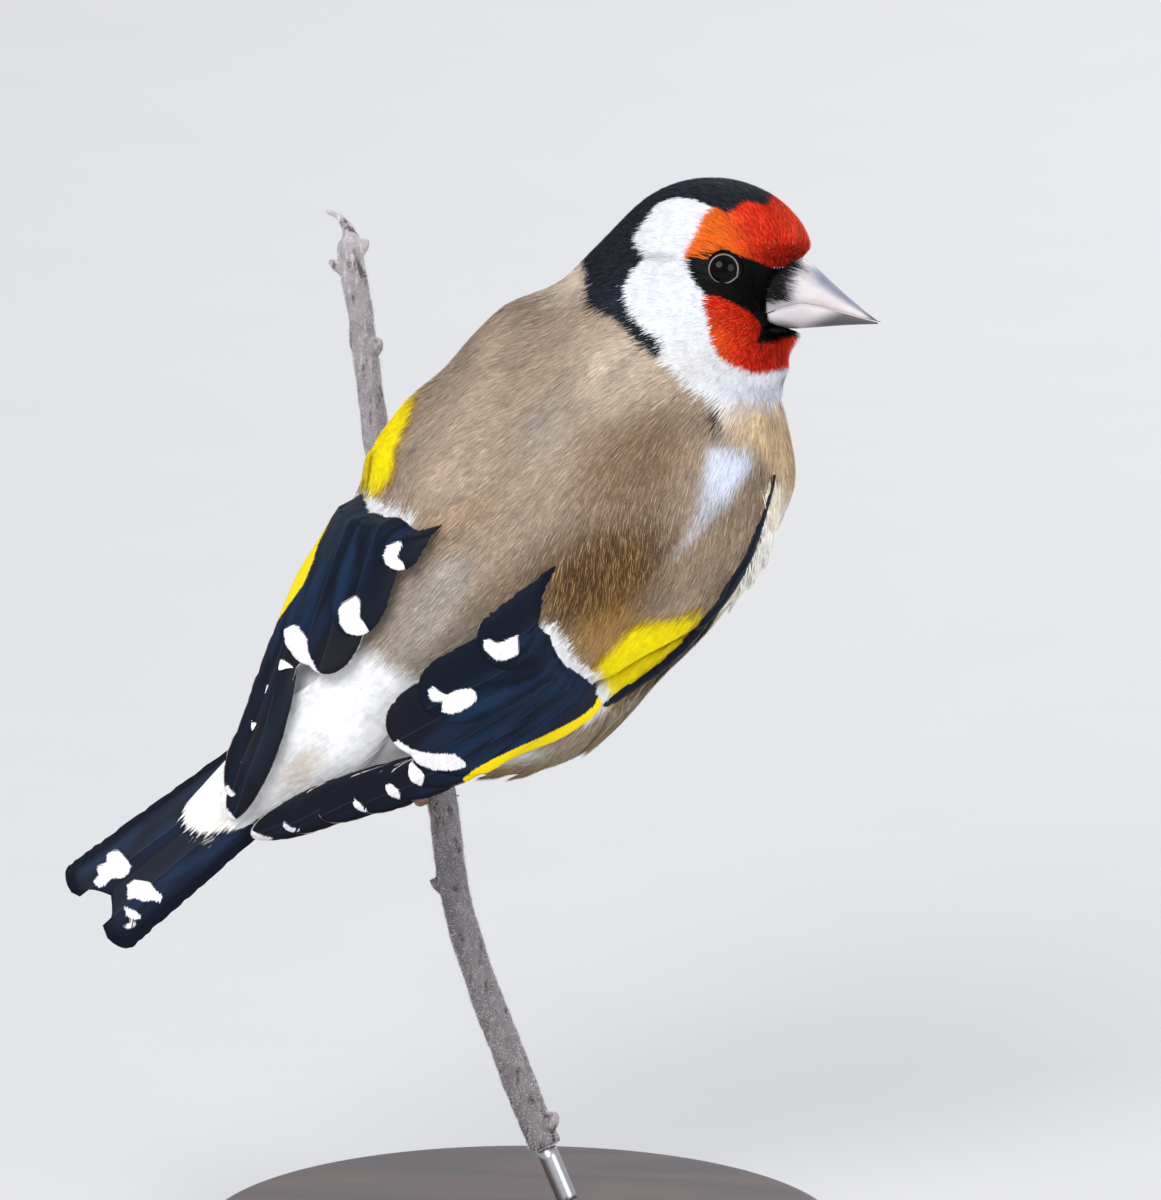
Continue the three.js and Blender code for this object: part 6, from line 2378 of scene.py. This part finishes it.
STEM_ROUTE = (
    (-1, -79.6), (-2.8, -75.3), (-5.4, -68.5), (-8, -61.9), (-10.3, -55.1), (-12.3, -48.5), (-13.3, -41.8),
    (-14.1, -35), (-17.4, -14), (-21.4, 4), (-23.3, 17.6), (-24.4, 25.9), (-25.7, 33.1),
)


class Stem:
    """The cut stem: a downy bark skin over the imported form, with wool on it."""

    depth = -31.0
    radius = 1.85
    voxel = 0.22

    def __init__(self, space: BirdSpace) -> None:
        """Works out the stem's middle line in the part's frame."""
        self.space = space
        knots = np.array([space.centre + space.plane(r, u, self.depth) for r, u in STEM_ROUTE])
        self.line = self.through(knots)
        steps = np.linalg.norm(np.diff(self.line, axis=0), axis=-1)
        self.run = np.concatenate([[0], np.cumsum(steps)])

    def through(self, knots: Array) -> Array:
        """A smooth line through points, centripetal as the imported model's is."""
        ends = np.concatenate([[2 * knots[0] - knots[1]], knots, [2 * knots[-1] - knots[-2]]])
        pieces = []
        for p0, p1, p2, p3 in zip(ends, ends[1:], ends[2:], ends[3:]):
            t1 = np.linalg.norm(p1 - p0) ** 0.5
            t2 = t1 + np.linalg.norm(p2 - p1) ** 0.5
            t3 = t2 + np.linalg.norm(p3 - p2) ** 0.5
            t = np.linspace(t1, t2, 30, endpoint=False)[:, None]
            a1 = (t1 - t) / t1 * p0 + t / t1 * p1
            a2 = (t2 - t) / (t2 - t1) * p1 + (t - t1) / (t2 - t1) * p2
            a3 = (t3 - t) / (t3 - t2) * p2 + (t - t2) / (t3 - t2) * p3
            b1 = (t2 - t) / t2 * a1 + t / t2 * a2
            b2 = (t3 - t) / (t3 - t1) * a2 + (t - t1) / (t3 - t1) * a3
            pieces.append((t2 - t) / (t2 - t1) * b1 + (t - t1) / (t2 - t1) * b2)
        return np.concatenate([*pieces, knots[-1:]])

    def at_up(self, up: float) -> tuple[Array, Array, float]:
        """Middle, direction and radius of the stem at a height in the upright plane."""
        heights = (self.line - self.space.centre) @ self.space.up
        share = np.interp(up, heights, self.run)
        point = np.array([np.interp(share, self.run, self.line[:, k]) for k in range(3)])
        after = np.array([np.interp(share + 0.5, self.run, self.line[:, k]) for k in range(3)])
        along = unit(after - point)
        return point, along, self.radius * (1.1 - 0.24 * share / self.run[-1])

    def build(self, finish: bpy.types.Material) -> bpy.types.Object:
        """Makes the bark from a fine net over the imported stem."""
        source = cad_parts["perch_stem"]
        made = bpy.data.objects.new("stem_bark", source.data.copy())
        bpy.context.scene.collection.objects.link(made)
        made.data.materials.clear()
        weld = made.modifiers.new("weld", "WELD")
        weld.merge_threshold = 0.00001
        remesh = made.modifiers.new("net", "REMESH")
        remesh.mode = "VOXEL"
        remesh.voxel_size = self.voxel * MM
        smooth = made.modifiers.new("smooth", "SMOOTH")
        smooth.iterations = 6
        freeze(made)
        mesh = made.data
        points = read_points(mesh)
        mesh.update()
        normals = np.zeros(len(points) * 3, np.float32)
        mesh.vertices.foreach_get("normal", normals)
        normals = normals.reshape(-1, 3)
        along = points * np.array([1, 1, 0.25])
        rough = 0.05 * waves(along, 0.9, 11) + 0.035 * waves(along, 0.45, 12) + 0.06 * waves(points, 3.5, 13)
        write_points(mesh, points + normals * (rough + 0.05)[:, None])
        mesh.polygons.foreach_set("use_smooth", np.full(len(mesh.polygons), True))
        up = (points - self.space.centre) @ self.space.up
        pale = ramp(up, 27, 35)
        distance = self.gap_to_line(points)
        pale = np.maximum(pale, 0.8 * ramp(distance, self.radius + 0.35, self.radius + 1.1))
        shade = 0.8 + 0.6 * ramp(up, -30, 15)
        add_tint(made, np.repeat((shade + (1.9 - shade) * pale)[:, None], 3, axis=1))
        return dressed(made, finish, Slot.BARK, "perch_stem")

    def gap_to_line(self, points: Array) -> Array:
        """Distance of points from the stem's middle line."""
        tree = KDTree(len(self.line))
        for i, knot in enumerate(self.line):
            tree.insert(knot, i)
        tree.balance()
        return np.array([tree.find(point)[2] for point in points])

    def wool_tree(self, finish: bpy.types.Material) -> bpy.types.NodeTree:
        """Geometry nodes that set short hairs over a surface."""
        tree = bpy.data.node_groups.new("stem_wool", "GeometryNodeTree")
        tree.interface.new_socket("Geometry", in_out="INPUT", socket_type="NodeSocketGeometry")
        for name, value in (("Density", 2.6e6), ("Hair Length", 0.0005), ("Hair Radius", 0.00003)):
            socket = tree.interface.new_socket(name, in_out="INPUT", socket_type="NodeSocketFloat")
            socket.default_value = value
        tree.interface.new_socket("Geometry", in_out="OUTPUT", socket_type="NodeSocketGeometry")
        wiring = Wiring(tree)
        given = wiring.add("NodeGroupInput")
        result = wiring.add("NodeGroupOutput")
        spread = wiring.add("GeometryNodeDistributePointsOnFaces")
        wiring.feed(spread.inputs["Mesh"], given.outputs["Geometry"])
        wiring.feed(spread.inputs["Density"], given.outputs["Density"])
        spread.inputs["Seed"].default_value = SEED
        hair = wiring.add("GeometryNodeMeshCone")
        hair.inputs["Vertices"].default_value = 3
        hair.inputs["Radius Top"].default_value = 0.0
        wiring.feed(hair.inputs["Radius Bottom"], given.outputs["Hair Radius"])
        wiring.feed(hair.inputs["Depth"], given.outputs["Hair Length"])
        tilt = wiring.add("FunctionNodeRandomValue", data_type="FLOAT_VECTOR")
        tilt.inputs[0].default_value = (-1.15, -1.15, 0.0)
        tilt.inputs[1].default_value = (1.15, 1.15, 6.28)
        tilt.inputs["Seed"].default_value = SEED + 1
        turned = wiring.add("FunctionNodeRotateEuler", rotation_type="EULER", space="LOCAL")
        wiring.feed(turned.inputs["Rotation"], spread.outputs["Rotation"])
        wiring.feed(turned.inputs["Rotate By"], tilt.outputs[0])
        size = wiring.add("FunctionNodeRandomValue", data_type="FLOAT")
        size.inputs[2].default_value = 0.5
        size.inputs[3].default_value = 1.4
        instances = wiring.add("GeometryNodeInstanceOnPoints")
        wiring.feed(instances.inputs["Points"], spread.outputs["Points"])
        wiring.feed(instances.inputs["Instance"], hair.outputs["Mesh"])
        wiring.feed(instances.inputs["Rotation"], turned.outputs[0])
        wiring.feed(instances.inputs["Scale"], size.outputs[1])
        real = wiring.add("GeometryNodeRealizeInstances")
        wiring.feed(real.inputs[0], instances.outputs[0])
        painted = wiring.add("GeometryNodeSetMaterial")
        painted.inputs["Material"].default_value = finish
        wiring.feed(painted.inputs["Geometry"], real.outputs[0])
        wiring.feed(result.inputs[0], painted.outputs[0])
        return tree

    def wool(self, bark: bpy.types.Object, finish: bpy.types.Material) -> bpy.types.Object:
        """Makes the wool on the bark."""
        made = bpy.data.objects.new("stem_wool", bark.data.copy())
        bpy.context.scene.collection.objects.link(made)
        modifier = made.modifiers.new("wool", "NODES")
        modifier.node_group = self.wool_tree(finish)
        sockets = {item.name: item.identifier for item in modifier.node_group.interface.items_tree}
        modifier[sockets["Density"]] = 9.0e6
        modifier[sockets["Hair Length"]] = 0.45 * MM
        modifier[sockets["Hair Radius"]] = 0.022 * MM
        freeze(made)
        return dressed(made, finish, Slot.BARK)


@dataclass(frozen=True)
class Toe:
    """A toe: degrees round the stem and spread along it."""

    round: float
    spread: float


TOES = (Toe(150, 3.5), Toe(162, 0.1), Toe(145, -3.1), Toe(-112, 1.8))
LEG_PLACES = ((Side.LEFT, -17.5, (-15, 5, -13), 22), (Side.RIGHT, -32.6, (-17, -7, -13), -8))
LEG_PINK = tone(168, 124, 108)
LEG_BROWN = tone(112, 78, 66)
CLAW_BROWN = tone(66, 50, 44)
CLAW_DARK = tone(28, 22, 22)


@dataclass
class Leg:
    """One leg: shank with scutes, toes that grip the stem, and claws."""

    side: Side
    space: BirdSpace
    stem: Stem
    up: float
    hip: tuple[float, float, float]
    facing: float
    toe_radius: float = 0.62
    gap: float = 0.3
    joint_radius: float = 1.15
    claw_length: float = 3.4

    def __post_init__(self) -> None:
        """Works out the stem's frame at the foot."""
        self.at, self.along, self.stem_radius = self.stem.at_up(self.up)
        out = self.space.out + self.space.right * math.tan(math.radians(self.facing))
        self.out = unit(out - self.along * (out @ self.along))
        self.round = -np.cross(self.along, self.out)
        self.clear = self.stem_radius + self.gap + self.toe_radius + 0.05

    def around(self, angle: Array, rise: Array, distance: Array) -> Array:
        """Points round the stem at the foot."""
        turn = np.radians(angle)[..., None]
        reach = np.asarray(distance)[..., None]
        lift = np.asarray(rise)[..., None]
        return self.at + (self.out * np.cos(turn) + self.round * np.sin(turn)) * reach + self.along * lift

    def toe_path(self, toe: Toe, t: Array) -> Array:
        """A toe's middle line from the sole to the claw."""
        knuckle = 0.16 * np.sin(t * math.pi * 3) ** 2
        lift = 0.9 * (1 - ramp(t * 3, 0, 1))
        return self.around(toe.round * t, toe.spread * ramp(t * 2.4, 0, 1), self.clear + knuckle + lift)

    def scaled_radii(self, base: Array, scutes: float, sides: int, depth: float) -> Array:
        """Radii with overlapping scutes along a bar."""
        t = np.linspace(0, 1, len(base))
        step = (t * scutes) % 1.0
        ridge = depth * (step**0.6 - 0.5)
        turn = np.arange(sides) / sides * 2 * math.pi
        weight = 0.7 + 0.3 * np.cos(turn)
        return base[:, None] * (1 + ridge[:, None] * weight[None, :])

    def foot(self, finish: bpy.types.Material) -> bpy.types.Object:
        """Makes the toes and their joint."""
        parts = MeshParts()
        sides, steps = 16, 72
        t = np.linspace(0, 1, steps)
        for toe in TOES:
            pads = 1 + 0.16 * np.sin(t * math.pi * 3 + 0.4) ** 2
            base = self.toe_radius * (1.12 - 0.36 * t) * pads * np.where(t > 0.97, 0.85, 1.0)
            parts.add_tube(self.toe_path(toe, t), self.scaled_radii(base, 13, sides, 0.14), sides)
        joint = self.around(np.array(0.0), np.array(0.0), np.array(self.stem_radius + 2.0))
        knob = np.linspace(-1, 1, 14)
        path = joint + self.along * (knob * self.joint_radius * 1.1)[:, None]
        parts.add_tube(path, self.joint_radius * np.sqrt(np.clip(1 - knob**2, 0.02, 1)) * 1.02, 20)
        name = self.side.name.lower()
        made = parts.build(f"toes_{name}")
        add_tint(made, self.skin_tint(made))
        return dressed(made, finish, Slot.LEG, f"foot_{name}")

    def skin_tint(self, made: bpy.types.Object) -> Array:
        """Pinkish brown with darker ridges."""
        points = read_points(made.data)
        colour = np.tile(LEG_PINK, (len(points), 1))
        return mix(colour, LEG_BROWN, 0.5 + 0.5 * np.clip(waves(points, 1.2, 21), -1, 1))

    def shank(self, finish: bpy.types.Material) -> bpy.types.Object:
        """Makes the shank from the belly feathers down to the foot."""
        joint = self.around(np.array(0.0), np.array(0.0), np.array(self.stem_radius + 2.1))
        sole = joint + self.out * self.joint_radius * 0.8
        hip = self.space.to_part(np.array(self.hip))
        heel = (hip + sole) / 2 + self.space.up * 1.5 + self.out * 0.5
        t = np.linspace(0, 1, 90)[:, None]
        path = hip * (1 - t) ** 2 + heel * 2 * t * (1 - t) + sole * t**2
        t = t[:, 0]
        thick = np.where(t < 0.55, 3.0 - 2.0 * ramp(t / 0.55, 0, 1), 1.0 - 0.15 * (t - 0.55) / 0.45)
        parts = MeshParts()
        parts.add_tube(path, self.scaled_radii(thick, 16, 20, 0.09), 20)
        name = self.side.name.lower()
        made = parts.build(f"shank_{name}")
        add_tint(made, self.skin_tint(made))
        return dressed(made, finish, Slot.LEG, f"leg_{name}")

    def claws(self, finish: bpy.types.Material) -> bpy.types.Object:
        """Makes the four hooked claws."""
        parts = MeshParts()
        t = np.linspace(0, 1, 26)
        for toe in TOES:
            turn = math.degrees(1 / self.clear) * (1 if toe.round > 0 else -1)
            reach = (self.gap - 0.35) + self.claw_length * t
            arch = 0.6 * np.sin(t * 2.3)
            path = self.around(toe.round + turn * reach, np.full(len(t), toe.spread), self.clear + arch)
            parts.add_tube(path, 0.52 * (1 - t) ** 0.8 + 0.05, 12, 0.8)
        name = self.side.name.lower()
        made = parts.build(f"claw_horn_{name}")
        points = read_points(made.data)
        colour = np.tile(CLAW_BROWN, (len(points), 1))
        add_tint(made, mix(colour, CLAW_DARK, 0.5 + 0.5 * np.clip(waves(points, 2.0, 31), -1, 1)))
        nodes = [f"claw_{name}_{i + 1}" for i in range(len(TOES))]
        return dressed(made, finish, Slot.CLAW, *nodes)


# Stand and studio


@dataclass
class Stand:
    """The turned wooden base and the steel rod that carries the stem."""

    stem: Stem
    radius: float = 41.0
    height: float = 6.5
    rod_radius: float = 1.3
    gap: float = 0.3
    segments: int = 160

    def lathe(self, name: str, profile: list[tuple[float, float]]) -> bpy.types.Object:
        """A turned form about the vertical through the origin."""
        turn = np.arange(self.segments) / self.segments * 2 * math.pi
        profile = np.array(profile)
        heights = np.ones(self.segments)
        rings = [np.stack([r * np.cos(turn), r * np.sin(turn), z * heights], axis=-1) for r, z in profile]
        count = len(profile)
        points = np.concatenate([*rings, [[0, 0, profile[0, 1]], [0, 0, profile[-1, 1]]]])
        return mesh_object(name, points, [ring_faces(count, self.segments), end_caps(count, self.segments)])

    def base(self, finish: bpy.types.Material) -> bpy.types.Object:
        """Makes the base: a flat foot, a rounded shoulder and a shallow turned bead."""
        r, h = self.radius, self.height
        profile = [(r * 0.5, 0), (r - 0.9, 0), (r - 0.35, 0.12), (r - 0.08, 0.4), (r, 0.8), (r, h - 2.2)]
        profile += [(r - 0.12, h - 2.0), (r - 0.5, h - 1.85), (r - 0.6, h - 1.7), (r - 0.5, h - 1.5)]
        for angle in np.linspace(10, 90, 9):
            a = math.radians(angle)
            profile.append((r - 1.9 + 1.4 * math.cos(a), h - 1.4 + 1.4 * math.sin(a)))
        profile += [(r - 3.2, h), (r * 0.5, h)]
        made = self.lathe("turned_base", profile)
        bevel = made.modifiers.new("bevel", "BEVEL")
        bevel.width = 0.08 * MM
        bevel.limit_method = "ANGLE"
        freeze(made)
        return dressed(made, finish, Slot.WOOD, "stand_base")

    def rod(self, finish: bpy.types.Material) -> bpy.types.Object:
        """Makes the rod up to the stem's cut end, narrowed a little at its top."""
        foot, along = self.stem.line[0], unit(self.stem.line[3] - self.stem.line[0])
        top = foot - along * self.gap
        low = top - along * (top[2] - self.height - self.gap) / along[2]
        t = np.linspace(0, 1, 12)[:, None]
        parts = MeshParts()
        radii = np.full(12, self.rod_radius)
        radii[0], radii[-1] = self.rod_radius * 0.86, self.rod_radius
        t[1] = 0.015
        parts.add_tube(top + (low - top) * t, radii, 40)
        made = parts.build("steel_rod")
        return dressed(made, finish, Slot.METAL, "stand_rod")


@dataclass(frozen=True)
class Lamp:
    """A soft round light: its place in metres, its size, its power and its warmth of 0 to 1."""

    name: str
    at: tuple[float, float, float]
    size: float
    watts: float
    warm: float


LAMPS = (
    Lamp("key", (-0.42, -0.95, 0.9), 0.75, 12.0, 0.3),
    Lamp("fill", (0.9, -0.9, 0.5), 0.8, 7.0, 0.0),
    Lamp("rim", (0.4, 0.9, 0.8), 0.5, 6.0, 0.0),
)


@dataclass
class Studio:
    """Floor, lights and the camera at the photograph's angle."""

    space: BirdSpace
    distance: float = 3500.0
    frame_height: float = 150.0
    frame_right: float = 3.44
    frame_up: float = -10.7
    floor_size: float = 9000.0

    def camera(self) -> None:
        """Sets the camera as the photograph has it: a long lens, a little above the bird."""
        target = self.space.centre + self.space.plane(self.frame_right, self.frame_up, 0)
        data = bpy.data.cameras.new("long_lens")
        data.sensor_width = 36.0
        data.lens = data.sensor_width * self.distance / self.frame_height
        data.clip_start = 0.1
        data.clip_end = 60.0
        camera = bpy.data.objects.new("camera", data)
        bpy.context.scene.collection.objects.link(camera)
        axes = np.stack([self.space.right, self.space.up, self.space.out], axis=-1)
        place = Matrix(axes.tolist()).to_4x4()
        place.translation = Vector((target + self.space.out * self.distance) * MM)
        camera.matrix_world = place
        bpy.context.scene.camera = camera

    def light(self, given: Lamp) -> None:
        """Adds a light that looks at the bird."""
        data = bpy.data.lights.new(given.name, "AREA")
        data.shape = "DISK"
        data.size = given.size
        data.energy = given.watts
        data.color = (1.0, 1.0 - 0.06 * given.warm, 1.0 - 0.14 * given.warm)
        lamp = bpy.data.objects.new(given.name, data)
        bpy.context.scene.collection.objects.link(lamp)
        lamp.location = Vector(given.at)
        aim = Vector(self.space.centre * MM) - lamp.location
        lamp.rotation_euler = aim.to_track_quat("-Z", "Y").to_euler()

    def build(self, finish: bpy.types.Material) -> None:
        """Makes the floor, the sky and the lights."""
        half = self.floor_size / 2
        corners = np.array([[-half, -half, 0], [half, -half, 0], [half, half, 0], [-half, half, 0]])
        floor = mesh_object("floor", corners, [np.array([[0, 1, 2, 3]])], smooth=False)
        floor.data.materials.append(finish)
        world = bpy.data.worlds.new("studio")
        world.use_nodes = True
        sky = world.node_tree.nodes["Background"]
        sky.inputs["Color"].default_value = (0.86, 0.9, 1.0, 1.0)
        sky.inputs["Strength"].default_value = 0.65
        bpy.context.scene.world = world
        for lamp in LAMPS:
            self.light(lamp)
        self.camera()
        bpy.context.scene.view_settings.view_transform = "Standard"


def main() -> None:
    """Builds every piece in order and reports each."""
    logging.basicConfig(level=logging.INFO, format="%(message)s")
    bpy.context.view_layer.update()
    space = BirdSpace(Pose())
    shape = BirdShape(space)
    plumage = Plumage(space, shape)
    Studio(space).build(FloorFinish().build())
    coat_finish = CoatFinish().build()
    skin = Skin(shape, plumage)
    # Painted shade: the skin's finish darkens it by a further tenth.
    skin.build(CoatFinish("skin", 0.9).build())
    log.info("skin: %d points", len(skin.points))
    Coat(space, shape, plumage, skin).build(coat_finish)
    vane_finish = VaneFinish().build()
    for plan, lift in ((LEFT_PLAN, 0.0), (RIGHT_PLAN, 0.9)):
        made = Wing(plan, space, shape, lift).build(vane_finish)
        log.info("%s: %d faces", made.name, len(made.data.polygons))
    log.info("%s", Tail(space).build(vane_finish).name)
    horn = HornFinish().build()
    bill = Bill(space)
    for made in (*bill.build(horn), bill.bristles(coat_finish)):
        log.info("%s", made.name)
    eye_finish = EyeFinish().build()
    for side in Side:
        eye = Eye(side, space)
        log.info("%s, %s", eye.ball(eye_finish).name, eye.lids(horn).name)
    stem = Stem(space)
    bark = stem.build(BarkFinish().build())
    log.info("%s: %d faces", bark.name, len(bark.data.polygons))
    wool = stem.wool(bark, FuzzFinish().build())
    log.info("%s: %d faces", wool.name, len(wool.data.polygons))
    scales = LegFinish().build()
    claw_horn = HornFinish("claw_horn", 0.3, 0.5, 900.0).build()
    for side, up, hip, facing in LEG_PLACES:
        leg = Leg(side, space, stem, up, hip, facing)
        log.info("%s, %s, %s", leg.shank(scales).name, leg.foot(scales).name, leg.claws(claw_horn).name)
    stand = Stand(stem)
    log.info("%s, %s", stand.base(WoodFinish().build()).name, stand.rod(SteelFinish().build()).name)


if __name__ == "__main__":
    main()
